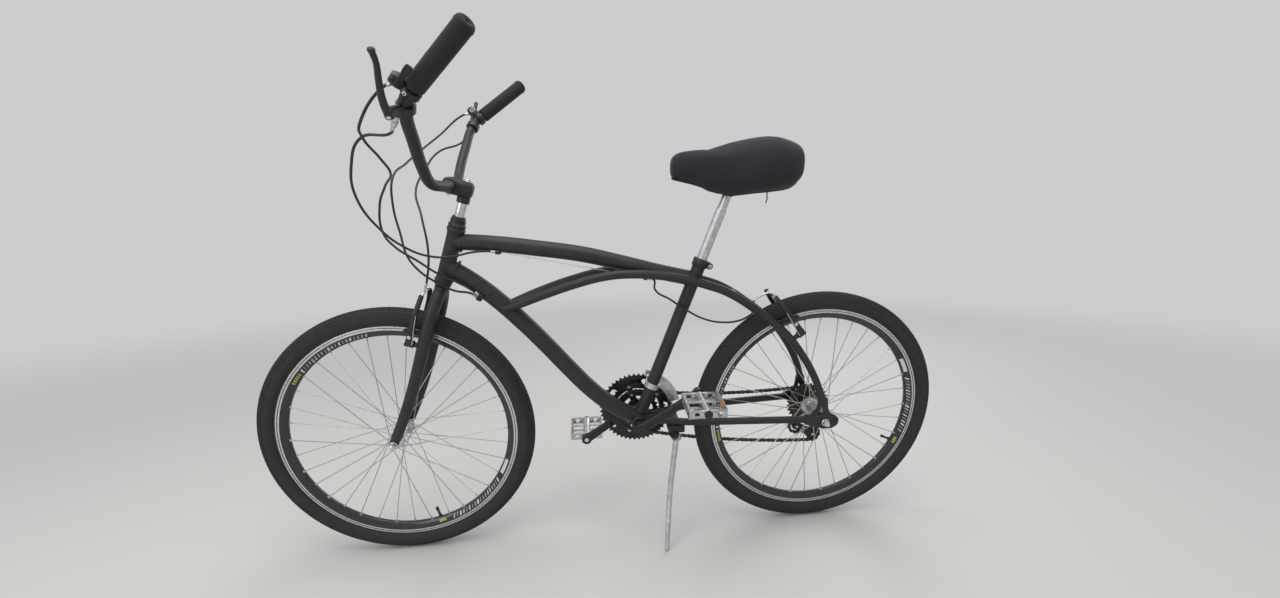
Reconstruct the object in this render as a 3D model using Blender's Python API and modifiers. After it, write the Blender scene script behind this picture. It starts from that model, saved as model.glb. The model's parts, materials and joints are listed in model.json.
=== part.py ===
"""A city bicycle with a curved twin-tube frame, leaning on its side stand.

The bicycle is modelled upright about its rear axle: +X runs forward, +Y to the rider's left and
+Z up, with the origin on the rear axle. Everything hangs on one empty, which leans the finished
bicycle onto its stand and sets it on the floor. Lengths are in metres.
"""

import math

import bmesh
import bpy
from mathutils import Matrix, Vector

MM = 0.001

# Clearances
SEAT_GAP = 0.3 * MM      # between pieces that rest on each other
RUN_GAP = 0.6 * MM       # round a turning pin

# Wheels
RIM_RADIUS = 285.5 * MM
TYRE_HEIGHT = 41.0 * MM      # how far the tread stands over the rim's edge
TYRE_RADIUS = RIM_RADIUS + TYRE_HEIGHT
TYRE_SECTION = 23.5 * MM     # radius of the round section
WHEEL_SEGMENTS = 48
RIM_DEPTH = 27.5 * MM
RIM_HALF_WIDTH = 12.5 * MM
BRAKE_TRACK = 13.0 * MM
SPOKES_PER_SIDE = 18
SPOKE_CROSSINGS = 3
SPOKE_RADIUS = 1.0 * MM
AXLE_RADIUS = 5.0 * MM

# Frame
CHAIN_STAY_ROOM = 145.5 * MM      # from the rear tyre to the bottom bracket
BB_AHEAD = TYRE_RADIUS + CHAIN_STAY_ROOM
BB_RISE = 4.5 * MM
SEAT_ANGLE = math.radians(69.4)
SEAT_TUBE_LENGTH = 439.0 * MM
TOP_TUBE_BELOW = 48.0 * MM        # how far under the seat tube's end the top tube joins it
HEAD_ANGLE = math.radians(71.2)
HEAD_LENGTH = 115.0 * MM
WHEELBASE = 1063.7 * MM
CROWN_ROOM = 88.8 * MM            # from the front tyre to the head tube
FORK_LENGTH = TYRE_RADIUS + CROWN_ROOM    # along the steering axis, to the axle
FORK_RAKE = 11.4 * MM
HEAD_TUBE_RADIUS = 17.5 * MM
HEAD_TUBE_BORE = 15.0 * MM
TOP_TUBE_RADIUS = 18.5 * MM
DOWN_TUBE_RADIUS = 20.5 * MM
SEAT_TUBE_RADIUS = 15.9 * MM
SIDE_TUBE_RADIUS = 10.5 * MM
SIDE_TUBE_END_RADIUS = 9.0 * MM
CHAIN_STAY_RADIUS = 9.0 * MM
BB_SHELL_RADIUS = 20.5 * MM
BB_SHELL_HALF = 34.0 * MM
DROPOUT_THICKNESS = 6.0 * MM
REAR_SPACING = 67.5 * MM     # half the distance between the rear dropouts
FRONT_SPACING = 50.0 * MM

# Drive
CHAIN_PITCH = 12.7 * MM
CHAIN_LINE = 40.0 * MM       # how far right of the middle the chain runs
RING_TEETH = (28, 38, 48)
RING_STEP = 8.0 * MM
COG_TEETH = (28, 24, 21, 18, 16, 14)
COG_STEP = 5.5 * MM
CHAIN_RING = 0               # the ring that carries the chain
CHAIN_COG = 1                # the cog that carries the chain
CRANK_LENGTH = 170.0 * MM
CRANK_TURN = math.radians(144.0)     # left arm, up from straight ahead
SPINDLE_RADIUS = 8.0 * MM
PEDAL_PIN_RADIUS = 6.0 * MM
PEDAL_WIDTH = 90.0 * MM
PEDAL_LENGTH = 88.0 * MM
PEDAL_THICKNESS = 24.0 * MM

# Cockpit and seat
BAR_RADIUS = 11.1 * MM
CLAMP_RADIUS = 12.7 * MM
GRIP_RADIUS = 16.5 * MM
STEM_REACH = 30.0 * MM
STEM_RISE = 210.6 * MM       # up the steering axis from the head tube's lower end
QUILL_RADIUS = 11.1 * MM
STEERER_RADIUS = 12.7 * MM
SEAT_POST_RADIUS = 12.7 * MM
SEAT_POST_TOP = 612.0 * MM   # along the seat tube's line from the bottom bracket

# Stance
LEAN = math.radians(8.0)
STAND_PIVOT = Vector((BB_AHEAD - 92.7 * MM, 37.6 * MM, -35.5 * MM))
STAND_KNEE = Vector((BB_AHEAD - 74.8 * MM, 56.1 * MM, -179.4 * MM))
STAND_FOOT_AHEAD = BB_AHEAD - 57.1 * MM
STAND_FOOT_OUT = 122.1 * MM
STAND_AXIS = Vector((0.5483, 0.4633, 0.6962)).normalized()

SIDES = (("left", 1.0), ("right", -1.0))

# Finishes: name: (red, green, blue, roughness, metallic)
FINISHES = {
    "black_paint": (0.022, 0.022, 0.025, 0.55, 0.0),
    "black_plastic": (0.018, 0.018, 0.020, 0.45, 0.0),
    "black_steel": (0.030, 0.030, 0.032, 0.40, 0.8),
    "tyre_rubber": (0.030, 0.029, 0.028, 0.85, 0.0),
    "foam": (0.016, 0.016, 0.017, 0.90, 0.0),
    "fabric": (0.012, 0.012, 0.015, 0.90, 0.0),
    "alloy": (0.70, 0.70, 0.72, 0.30, 1.0),
    "steel": (0.62, 0.62, 0.64, 0.25, 1.0),
    "rim_alloy": (0.45, 0.45, 0.47, 0.30, 1.0),
}


# Building tools

def add_object(mesh):
    """Put a mesh in the scene as a new object."""
    obj = bpy.data.objects.new("shape", mesh)
    bpy.context.scene.collection.objects.link(obj)
    return obj


def close_mesh(mesh):
    """Weld loose caps and turn every face outwards."""
    bm = bmesh.new()
    bm.from_mesh(mesh)
    bmesh.ops.remove_doubles(bm, verts=bm.verts, dist=0.0001 * MM)
    bmesh.ops.recalc_face_normals(bm, faces=bm.faces)
    if bm.calc_volume(signed=True) < 0:
        bmesh.ops.reverse_faces(bm, faces=bm.faces)
    bm.to_mesh(mesh)
    bm.free()


def bake(obj):
    """Replace an object by a plain closed mesh of what it shows."""
    bpy.context.view_layer.update()
    graph = bpy.context.evaluated_depsgraph_get()
    mesh = bpy.data.meshes.new_from_object(obj.evaluated_get(graph))
    mesh.transform(obj.matrix_world)
    close_mesh(mesh)
    bpy.data.objects.remove(obj, do_unlink=True)
    return add_object(mesh)


def combine(base, tools, operation):
    """Join tools to a base, or cut them out of it, and bake the result."""
    for tool in tools:
        modifier = base.modifiers.new(operation, "BOOLEAN")
        modifier.operation = operation
        modifier.solver = "EXACT"
        modifier.object = tool
    result = bake(base)
    for tool in tools:
        bpy.data.objects.remove(tool, do_unlink=True)
    return result


def union(base, *tools):
    return combine(base, tools, "UNION")


def cut(base, *tools):
    return combine(base, tools, "DIFFERENCE")


def from_bmesh(bm):
    mesh = bpy.data.meshes.new("shape")
    bm.to_mesh(mesh)
    bm.free()
    return add_object(mesh)


def rod(start, end, radius, end_radius=None, sides=10):
    """A straight round bar, or a cone, between two points."""
    start, end = Vector(start), Vector(end)
    along = end - start
    turn = along.to_track_quat("Z", "Y").to_matrix().to_4x4()
    bm = bmesh.new()
    bmesh.ops.create_cone(
        bm, cap_ends=True, segments=sides, depth=along.length,
        radius1=radius, radius2=radius if end_radius is None else end_radius,
        matrix=Matrix.Translation((start + end) / 2) @ turn)
    return from_bmesh(bm)


def block(low, high, bevel=0.0, turn=0.0):
    """A box between two corners, turned about its own Y axis, with its edges eased."""
    low, high = Vector(low), Vector(high)
    size = high - low
    bm = bmesh.new()
    bmesh.ops.create_cube(bm, size=1.0, matrix=Matrix.Diagonal((*size, 1.0)))
    if bevel:
        bmesh.ops.bevel(bm, geom=bm.edges[:], offset=bevel, segments=1, affect="EDGES")
    place = Matrix.Translation((low + high) / 2) @ Matrix.Rotation(turn, 4, "Y")
    bmesh.ops.transform(bm, matrix=place, verts=bm.verts)
    return from_bmesh(bm)


def tube(points, radius, sides=8, steps=2, sizes=None):
    """A round tube on a smooth curve; sizes scales the radius at each point."""
    curve = bpy.data.curves.new("tube", "CURVE")
    curve.dimensions = "3D"
    curve.bevel_depth = radius
    curve.bevel_resolution = (sides - 4) // 2
    curve.use_fill_caps = True
    curve.resolution_u = steps
    spline = curve.splines.new("BEZIER")
    spline.bezier_points.add(len(points) - 1)
    for index, (knot, point) in enumerate(zip(spline.bezier_points, points)):
        knot.co = point
        knot.handle_left_type = "AUTO"
        knot.handle_right_type = "AUTO"
        knot.radius = sizes[index] if sizes else 1.0
    return bake(add_object_data(curve))


def add_object_data(data):
    """Put curve data in the scene as a new object."""
    obj = bpy.data.objects.new("curve", data)
    bpy.context.scene.collection.objects.link(obj)
    return obj


def plate(outlines, thickness, centre, side=0.0):
    """A flat plate across Y, from closed outlines of (ahead, up) points; inner ones are holes."""
    curve = bpy.data.curves.new("plate", "CURVE")
    curve.dimensions = "2D"
    curve.fill_mode = "BOTH"
    curve.extrude = thickness / 2
    for outline in outlines:
        spline = curve.splines.new("POLY")
        spline.points.add(len(outline) - 1)
        for point, (ahead, up) in zip(spline.points, outline):
            point.co = (ahead, up, 0.0, 1.0)
        spline.use_cyclic_u = True
    obj = add_object_data(curve)
    obj.matrix_world = (Matrix.Translation((centre[0], side, centre[1]))
                        @ Matrix.Rotation(math.pi / 2, 4, "X"))
    return bake(obj)


def circle(radius, count, centre=(0.0, 0.0)):
    return [(centre[0] + radius * math.cos(2 * math.pi * i / count),
             centre[1] + radius * math.sin(2 * math.pi * i / count)) for i in range(count)]


def turned(profile, origin, axis, segments=16):
    """A closed (radius, along) profile turned about an axis through origin."""
    mesh = bpy.data.meshes.new("profile")
    vertices = [(radius, 0.0, along) for radius, along in profile]
    edges = [(i, (i + 1) % len(profile)) for i in range(len(profile))]
    mesh.from_pydata(vertices, edges, [])
    obj = add_object(mesh)
    screw = obj.modifiers.new("turn", "SCREW")
    screw.axis = "Z"
    screw.steps = segments
    screw.render_steps = segments
    screw.use_merge_vertices = True
    screw.merge_threshold = 0.01 * MM
    turn = Vector(axis).to_track_quat("Z", "X").to_matrix().to_4x4()
    obj.matrix_world = Matrix.Translation(origin) @ turn
    return bake(obj)


def loft(rings):
    """A closed skin through rings of points, each ring with as many points."""
    bm = bmesh.new()
    rows = [[bm.verts.new(point) for point in ring] for ring in rings]
    count = len(rings[0])
    for row, following in zip(rows, rows[1:]):
        for i in range(count):
            j = (i + 1) % count
            bm.faces.new((row[i], row[j], following[j], following[i]))
    bm.faces.new(rows[0])
    bm.faces.new(rows[-1])
    bmesh.ops.recalc_face_normals(bm, faces=bm.faces)
    return from_bmesh(bm)


def slab_ring(centre, across, up, half_width, half_height, ease=0.3):
    """Eight points of an eased rectangle, with half sizes along two directions."""
    corners = [(1 - ease, 1), (1, 1 - ease), (1, ease - 1), (1 - ease, -1),
               (ease - 1, -1), (-1, ease - 1), (-1, 1 - ease), (ease - 1, 1)]
    return [Vector(centre) + Vector(across) * (half_width * a) + Vector(up) * (half_height * b)
            for a, b in corners]


# Reference points of the frame

BB = Vector((BB_AHEAD, 0.0, BB_RISE))
SEAT_UP = Vector((-math.cos(SEAT_ANGLE), 0.0, math.sin(SEAT_ANGLE)))
HEAD_UP = Vector((-math.cos(HEAD_ANGLE), 0.0, math.sin(HEAD_ANGLE)))
HEAD_AHEAD = Vector((math.sin(HEAD_ANGLE), 0.0, math.cos(HEAD_ANGLE)))
LEFT = Vector((0.0, 1.0, 0.0))
UP = Vector((0.0, 0.0, 1.0))
REAR_AXLE = Vector((0.0, 0.0, 0.0))
FRONT_AXLE = Vector((WHEELBASE, 0.0, 0.0))
HEAD_LOWER = FRONT_AXLE + HEAD_UP * FORK_LENGTH - HEAD_AHEAD * FORK_RAKE


def on_head(along, ahead=0.0, out=0.0):
    """A point in the steering's own directions, from the head tube's lower end."""
    return HEAD_LOWER + HEAD_UP * along + HEAD_AHEAD * ahead + LEFT * out


def on_seat(along):
    return BB + SEAT_UP * along


def bowed(start, end, table):
    """Points from start to end; table rows are (share of the way, out, rise above the line)."""
    points = []
    for share, out, rise in table:
        point = start.lerp(end, share)
        points.append(Vector((point.x, out, point.z + rise)))
    return points


TOP_TUBE_START = on_head(90.0 * MM)
TOP_TUBE_END = on_seat(SEAT_TUBE_LENGTH - TOP_TUBE_BELOW)
# share of the way from head tube to seat tube, out, rise
TOP_TUBE_BOW = [(0.0, 0, 0.0), (0.16, 0, 9.5 * MM), (0.34, 0, 15.0 * MM), (0.52, 0, 17.5 * MM),
                (0.70, 0, 11.0 * MM), (0.85, 0, 4.0 * MM), (1.0, 0, 0.0)]

DOWN_TUBE_START = on_head(30.5 * MM)
# share of the way from head tube to bottom bracket, out, rise
DOWN_TUBE_BOW = [(0.0, 0, 0.0), (0.14, 0, 14.0 * MM), (0.25, 0, 17.0 * MM), (0.36, 0, 12.0 * MM),
                 (0.48, 0, 1.0 * MM), (0.60, 0, -14.0 * MM), (0.71, 0, -25.0 * MM),
                 (0.82, 0, -25.0 * MM), (0.92, 0, -14.0 * MM), (0.98, 0, -3.0 * MM)]

SIDE_TUBE_OUT = TOP_TUBE_RADIUS + SIDE_TUBE_RADIUS + SEAT_GAP
SIDE_TUBE_ON_DOWN_TUBE = 0.285
# share of the way from the down tube to the seat tube, out, rise
SIDE_TUBE_FRONT = [(0.0, 12.0 * MM, 0.0), (0.08, 22.0 * MM, 9.5 * MM),
                   (0.20, 28.0 * MM, 23.0 * MM), (0.36, SIDE_TUBE_OUT, 37.5 * MM),
                   (0.52, SIDE_TUBE_OUT, 45.5 * MM), (0.64, SIDE_TUBE_OUT, 42.5 * MM),
                   (0.80, SIDE_TUBE_OUT, 28.5 * MM), (0.95, SIDE_TUBE_OUT, 8.0 * MM)]
# share of the way from the seat tube to the rear dropout, out, rise
SIDE_TUBE_REAR = [(0.08, SIDE_TUBE_OUT, 15.0 * MM), (0.20, 32.0 * MM, 38.0 * MM),
                  (0.32, 36.0 * MM, 54.0 * MM), (0.43, 40.0 * MM, 63.5 * MM),
                  (0.54, 43.5 * MM, 71.0 * MM), (0.68, 48.0 * MM, 76.0 * MM),
                  (0.83, 53.0 * MM, 61.0 * MM), (0.94, 60.0 * MM, 32.0 * MM),
                  (1.0, 65.5 * MM, 0.0)]
STAY_TOP = Vector((0.012, 0.0, 0.066))

CHAIN_STAY_START = BB + Vector((-17.0 * MM, 0.0, 2.0 * MM))
CHAIN_STAY_END = Vector((52.0 * MM, 0.0, 7.5 * MM))
# share of the way from bottom bracket to dropout, out, rise
CHAIN_STAY_BOW = [(0.0, 18.0 * MM, 0.0), (0.11, 24.0 * MM, 0.0), (0.175, 32.0 * MM, 0.0),
                  (0.24, 39.5 * MM, 0.0), (0.335, 44.5 * MM, 0.0), (0.51, 50.0 * MM, 0.0),
                  (0.80, 59.5 * MM, 0.0), (1.0, 66.0 * MM, 0.0)]


def top_tube_points():
    return bowed(TOP_TUBE_START, TOP_TUBE_END, TOP_TUBE_BOW)


def down_tube_points():
    return bowed(DOWN_TUBE_START, BB, DOWN_TUBE_BOW)


def side_tube_points(side):
    low = DOWN_TUBE_START.lerp(BB, SIDE_TUBE_ON_DOWN_TUBE) + Vector((0.0, 0.0, 15.5 * MM))
    points = bowed(low, TOP_TUBE_END, SIDE_TUBE_FRONT)
    points += bowed(TOP_TUBE_END, STAY_TOP, SIDE_TUBE_REAR)
    return [Vector((p.x, p.y * side, p.z)) for p in points]


def chain_stay_points(side):
    points = bowed(CHAIN_STAY_START, CHAIN_STAY_END, CHAIN_STAY_BOW)
    return [Vector((p.x, p.y * side, p.z)) for p in points]


def head_space(gap):
    """The head tube's outside, grown by a gap, as a cutter."""
    return rod(on_head(-30 * MM), on_head(HEAD_LENGTH + 30 * MM), HEAD_TUBE_RADIUS + gap, sides=16)


def seat_space(gap):
    return rod(on_seat(0.0), on_seat(SEAT_TUBE_LENGTH), SEAT_TUBE_RADIUS + gap, sides=16)


def shell_space(gap):
    reach = BB_SHELL_HALF + 20 * MM
    return rod(BB - LEFT * reach, BB + LEFT * reach, BB_SHELL_RADIUS + gap, sides=16)


# Frame

def make_head_tube():
    cup = HEAD_TUBE_RADIUS + 3.0 * MM
    cup_height = 9.0 * MM
    profile = [
        (HEAD_TUBE_BORE, -cup_height), (cup - 2 * MM, -cup_height), (cup, -cup_height + 3 * MM),
        (cup, -1 * MM), (HEAD_TUBE_RADIUS, 0.0), (HEAD_TUBE_RADIUS, HEAD_LENGTH),
        (cup, HEAD_LENGTH + 1 * MM), (cup, HEAD_LENGTH + cup_height - 3 * MM),
        (cup - 2 * MM, HEAD_LENGTH + cup_height), (HEAD_TUBE_BORE, HEAD_LENGTH + cup_height)]
    return turned(profile, HEAD_LOWER, HEAD_UP)


STOP_RADIUS = 5.6 * MM
STOP_LENGTH = 13.0 * MM
# from the middle of the top tube
FRONT_STOP_OFFSET = Vector((0.0, 15.8 * MM, -15.4 * MM))
REAR_STOP_OFFSET = Vector((0.0, 9.4 * MM, -21.2 * MM))


def front_stop():
    """The rear brake cable's first stop: the middle of its front face, and the way it faces."""
    points = top_tube_points()
    way = (points[1] - points[2]).normalized()
    return points[1].lerp(points[2], 0.05) + FRONT_STOP_OFFSET, way


def rear_stop():
    """Its second stop, facing back, where the housing begins again."""
    points = top_tube_points()
    way = (points[5] - points[4]).normalized()
    return points[4].lerp(points[5], 0.62) + REAR_STOP_OFFSET, way


# Shift cable stops on the down tube: (out, below the tube's middle)
SHIFT_STOPS = ((21.5 * MM, 10.0 * MM), (7.0 * MM, 22.8 * MM))


def shift_stop(number):
    """A shift cable's stop: the middle of its front face, and the way it faces."""
    points = down_tube_points()
    out, below = SHIFT_STOPS[number]
    along = (points[2] - points[1]).normalized()
    under = along.cross(LEFT)
    return points[1].lerp(points[2], 0.3) + LEFT * out + under * below, -along


def make_top_tube():
    body = tube(top_tube_points(), TOP_TUBE_RADIUS, sides=12)
    stops = []
    for face, way in (front_stop(), rear_stop()):
        stops.append(rod(face, face - way * STOP_LENGTH, STOP_RADIUS, sides=8))
    return cut(union(body, *stops), head_space(SEAT_GAP), seat_space(SEAT_GAP))


def make_down_tube():
    body = tube(down_tube_points(), DOWN_TUBE_RADIUS, sides=12)
    stops = [rod(face, face - way * STOP_LENGTH, STOP_RADIUS, sides=8)
             for face, way in (shift_stop(0), shift_stop(1))]
    return cut(union(body, *stops), head_space(SEAT_GAP), shell_space(SEAT_GAP),
               seat_space(SEAT_GAP))


def make_seat_tube():
    body = rod(on_seat(0.0), on_seat(SEAT_TUBE_LENGTH), SEAT_TUBE_RADIUS, sides=16)
    bore_depth = 110 * MM
    bore = rod(on_seat(SEAT_TUBE_LENGTH - bore_depth), on_seat(SEAT_TUBE_LENGTH + 10 * MM),
               SEAT_POST_RADIUS + SEAT_GAP, sides=16)
    return cut(body, shell_space(SEAT_GAP), bore)


def make_bottom_bracket():
    cup = BB_SHELL_RADIUS - 1.5 * MM
    cup_reach = BB_SHELL_HALF + 3.5 * MM
    bore = SPINDLE_RADIUS + RUN_GAP
    profile = [(bore, cup_reach), (cup, cup_reach), (cup, BB_SHELL_HALF),
               (BB_SHELL_RADIUS, BB_SHELL_HALF), (BB_SHELL_RADIUS, -BB_SHELL_HALF),
               (cup, -BB_SHELL_HALF), (cup, -cup_reach), (bore, -cup_reach)]
    return turned(profile, BB, LEFT)


def make_side_tube(side):
    points = side_tube_points(side)
    taper = SIDE_TUBE_END_RADIUS / SIDE_TUBE_RADIUS
    start = len(SIDE_TUBE_FRONT)
    steps = len(points) - 1 - start
    sizes = [1.0 if i <= start else 1.0 + (taper - 1.0) * (i - start) / steps
             for i in range(len(points))]
    body = tube(points, SIDE_TUBE_RADIUS, sizes=sizes)
    boss = stay_boss(side)
    body = union(body, rod(boss, boss + STAY_BACK * BOSS_LENGTH, BOSS_RADIUS, sides=12))
    down = tube(down_tube_points()[1:5], DOWN_TUBE_RADIUS + SEAT_GAP, sides=12)
    floor = STAY_TOP.z + 4.0 * MM + SEAT_GAP
    below = block((-60 * MM, -0.1, floor - 60 * MM), (80 * MM, 0.1, floor))
    return cut(body, down, below)


BOSS_LENGTH = 20.0 * MM
BOSS_RADIUS = 6.0 * MM
STAY_BACK = Vector((-0.8, 0.0, 0.6))
STAY_UP = Vector((0.6, 0.0, 0.8))
STAY_BOSS_INDEX = len(SIDE_TUBE_FRONT) + 5


def stay_boss(side):
    """Where the brake's post leaves the stay."""
    points = side_tube_points(side)
    return points[STAY_BOSS_INDEX].lerp(points[STAY_BOSS_INDEX + 1], 0.35)


# Rear dropout outline from the axle: (ahead, up)
DROPOUT_OUTLINE = [(0.056, 0.018), (0.060, 0.007), (0.054, -0.003), (0.020, -0.014),
                   (0.000, -0.019), (-0.020, -0.018), (-0.033, -0.010), (-0.037, 0.003),
                   (-0.031, 0.015), (-0.016, 0.022), (-0.006, 0.032), (0.000, 0.070),
                   (0.022, 0.070), (0.025, 0.038), (0.034, 0.024)]
DROPOUT_WINDOW = [(0.014, 0.046), (0.017, 0.030), (0.028, 0.016), (0.012, 0.018), (0.006, 0.030)]
EYELET = (-0.026, 0.004)
EYELET_RADIUS = 2.6 * MM
EYELET_BOSS_RADIUS = 6.5 * MM
EYELET_BOSS_RISE = 1.5 * MM
HANGER_DROP = 26.0 * MM


def make_chain_stay(side):
    body = tube(chain_stay_points(side), CHAIN_STAY_RADIUS, steps=2)
    body = cut(body, shell_space(SEAT_GAP))
    outline = list(DROPOUT_OUTLINE)
    if side < 0:
        tail = [(0.012, -0.016), (0.010, -HANGER_DROP - 6 * MM), (-0.010, -HANGER_DROP - 6 * MM)]
        outline[3:5] = tail
    slot = circle(AXLE_RADIUS + SEAT_GAP, 16)
    middle = side * (REAR_SPACING + DROPOUT_THICKNESS / 2)
    end = plate([outline, slot, DROPOUT_WINDOW], DROPOUT_THICKNESS, (0.0, 0.0), middle)
    inner = Vector((EYELET[0], side * REAR_SPACING, EYELET[1]))
    outer = Vector((EYELET[0], side * (REAR_SPACING + DROPOUT_THICKNESS + EYELET_BOSS_RISE), EYELET[1]))
    boss = rod(inner.lerp(outer, 0.3), outer, EYELET_BOSS_RADIUS, sides=20)
    hole = rod(inner.lerp(outer, -1.0), inner.lerp(outer, 2.0), EYELET_RADIUS, sides=12)
    return cut(union(body, end, boss), hole)


def make_bridge():
    """The seat stays' bridge, in front of the tyre."""
    left = side_tube_points(1.0)[len(SIDE_TUBE_FRONT) + 2]
    right = Vector((left.x, -left.y, left.z))
    bar = rod(left, right, 8.0 * MM, sides=12)
    spaces = [tube(side_tube_points(side)[len(SIDE_TUBE_FRONT):][:6],
                   SIDE_TUBE_RADIUS + SEAT_GAP) for _, side in SIDES]
    return cut(bar, *spaces)


STAND_PLATE_AHEAD = BB_AHEAD - 86.0 * MM
STAND_PLATE_HALF = 16.0 * MM
STAND_PLATE_UNDER = -1.5 * MM


def make_stand_plate():
    """The flat plate between the chain stays that the stand is bolted to."""
    bar = block((STAND_PLATE_AHEAD - STAND_PLATE_HALF, -40 * MM, STAND_PLATE_UNDER),
                (STAND_PLATE_AHEAD + STAND_PLATE_HALF, 40 * MM, STAND_PLATE_UNDER + 6 * MM))
    spaces = [tube(chain_stay_points(side)[:6], CHAIN_STAY_RADIUS + SEAT_GAP, steps=2)
              for _, side in SIDES]
    outer = [block((0.3, side * 37 * MM - 8 * MM, -0.05), (0.45, side * 37 * MM + 8 * MM, 0.05))
             for _, side in SIDES]
    return cut(bar, *spaces, *outer)


def make_seat_clamp():
    collar = SEAT_TUBE_RADIUS + 3.0 * MM
    low, high = SEAT_TUBE_LENGTH - 16 * MM, SEAT_TUBE_LENGTH + 4 * MM
    ring = rod(on_seat(low), on_seat(high), collar, sides=16)
    behind = Vector((-SEAT_UP.z, 0.0, SEAT_UP.x))
    middle = on_seat(SEAT_TUBE_LENGTH - 6 * MM) + behind * (collar + 4 * MM)
    ear = rod(middle - LEFT * 9 * MM, middle + LEFT * 9 * MM, 8 * MM)
    bolt = rod(middle - LEFT * 13 * MM, middle + LEFT * 13 * MM, 5 * MM)
    tube_space = rod(on_seat(0.0), on_seat(SEAT_TUBE_LENGTH + SEAT_GAP),
                     SEAT_TUBE_RADIUS + SEAT_GAP, sides=16)
    post_space = rod(on_seat(0.3), on_seat(0.6), SEAT_POST_RADIUS + 2 * SEAT_GAP, sides=16)
    return cut(union(ring, ear, bolt), tube_space, post_space)


def make_seat_post():
    bottom = SEAT_TUBE_LENGTH - 100 * MM
    neck = SEAT_POST_TOP - 45 * MM
    profile = [(SEAT_POST_RADIUS, bottom), (SEAT_POST_RADIUS, neck),
               (SEAT_POST_RADIUS - 1.7 * MM, neck + 6 * MM),
               (SEAT_POST_RADIUS - 1.7 * MM, SEAT_POST_TOP), (8 * MM, SEAT_POST_TOP),
               (8 * MM, bottom)]
    post = turned(profile, BB, SEAT_UP)
    top = on_seat(SEAT_POST_TOP)
    clamp = rod(top - LEFT * 27 * MM, top + LEFT * 27 * MM, 11 * MM, sides=12)
    grooves = [rod(top + Vector((-60 * MM, side * RAIL_OUT, 0)),
                   top + Vector((60 * MM, side * RAIL_OUT, 0)),
                   RAIL_RADIUS + SEAT_GAP, sides=8) for _, side in SIDES]
    return cut(union(post, clamp), *grooves)


RAIL_OUT = 20.0 * MM
RAIL_RADIUS = 3.5 * MM
SADDLE_HOLLOW = 612.0 * MM    # height of the hollow under the saddle


def make_saddle_rails():
    top = on_seat(SEAT_POST_TOP)
    under = SADDLE_HOLLOW - SEAT_GAP - 5 * MM
    front = Vector((342 * MM, 0.0, under))
    rear = Vector((150 * MM, 0.0, under))
    parts = []
    for _, side in SIDES:
        points = [rear + LEFT * side * 38 * MM, rear + Vector((14 * MM, side * 33 * MM, -14 * MM)),
                  Vector((top.x - 45 * MM, side * RAIL_OUT, top.z)),
                  Vector((top.x, side * RAIL_OUT, top.z)),
                  Vector((top.x + 45 * MM, side * RAIL_OUT, top.z)),
                  front + Vector((-16 * MM, side * 11 * MM, -12 * MM)), front + LEFT * side * 3 * MM]
        parts.append(tube(points, RAIL_RADIUS, sides=6, steps=1))
    nose = rod(front - LEFT * 12 * MM, front + LEFT * 12 * MM, 5 * MM, sides=6)
    tail = rod(rear - LEFT * 44 * MM, rear + LEFT * 44 * MM, 5 * MM, sides=6)
    return union(parts[0], parts[1], nose, tail)


# Saddle cover sections: (ahead, half width, top, rim), heights over the axles
SADDLE_SECTIONS = [
    (0.108, 0.052, 0.664, 0.604), (0.113, 0.078, 0.680, 0.596), (0.135, 0.094, 0.690, 0.590),
    (0.170, 0.098, 0.698, 0.588), (0.210, 0.086, 0.694, 0.588), (0.250, 0.064, 0.686, 0.589),
    (0.290, 0.046, 0.677, 0.592), (0.335, 0.037, 0.671, 0.596), (0.372, 0.031, 0.664, 0.599),
    (0.388, 0.023, 0.654, 0.604), (0.392, 0.012, 0.644, 0.614)]


def make_saddle():
    rings = []
    count = 14
    for ahead, half, top, rim in SADDLE_SECTIONS:
        ring = []
        for i in range(count):
            turn = 2 * math.pi * i / count
            c, s = math.cos(turn), math.sin(turn)
            y = math.copysign(abs(c) ** 0.7, c) * half
            z = (top + rim) / 2 + math.copysign(abs(s) ** 0.75, s) * (top - rim) / 2
            ring.append((ahead, y, z))
        rings.append(ring)
    cover = loft(rings)
    hollow = block((0.140, -0.050, 0.55), (0.355, 0.050, SADDLE_HOLLOW))
    slim = block((0.262, 0.026, 0.50), (0.40, 0.060, 0.63))
    other = block((0.262, -0.060, 0.50), (0.40, -0.026, 0.63))
    return cut(cover, cut(hollow, slim, other))


# Wheels

def make_tyre(centre):
    seat = RIM_RADIUS + SEAT_GAP
    middle = TYRE_RADIUS - TYRE_SECTION
    open_angle = math.acos((middle - seat) / TYRE_SECTION)
    count = 6
    profile = []
    for i in range(count + 1):
        turn = -math.pi + open_angle + (2 * math.pi - 2 * open_angle) * i / count
        profile.append((middle + TYRE_SECTION * math.cos(turn), TYRE_SECTION * math.sin(turn)))
    return turned(profile, centre, LEFT, WHEEL_SEGMENTS)


def make_rim(centre):
    inner = RIM_RADIUS - RIM_DEPTH
    track = RIM_RADIUS - BRAKE_TRACK
    nose = 4.0 * MM
    profile = [(RIM_RADIUS, RIM_HALF_WIDTH), (RIM_RADIUS, -RIM_HALF_WIDTH),
               (track, -RIM_HALF_WIDTH), (inner, -nose), (inner, nose), (track, RIM_HALF_WIDTH)]
    return turned(profile, centre, LEFT, WHEEL_SEGMENTS)


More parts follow.
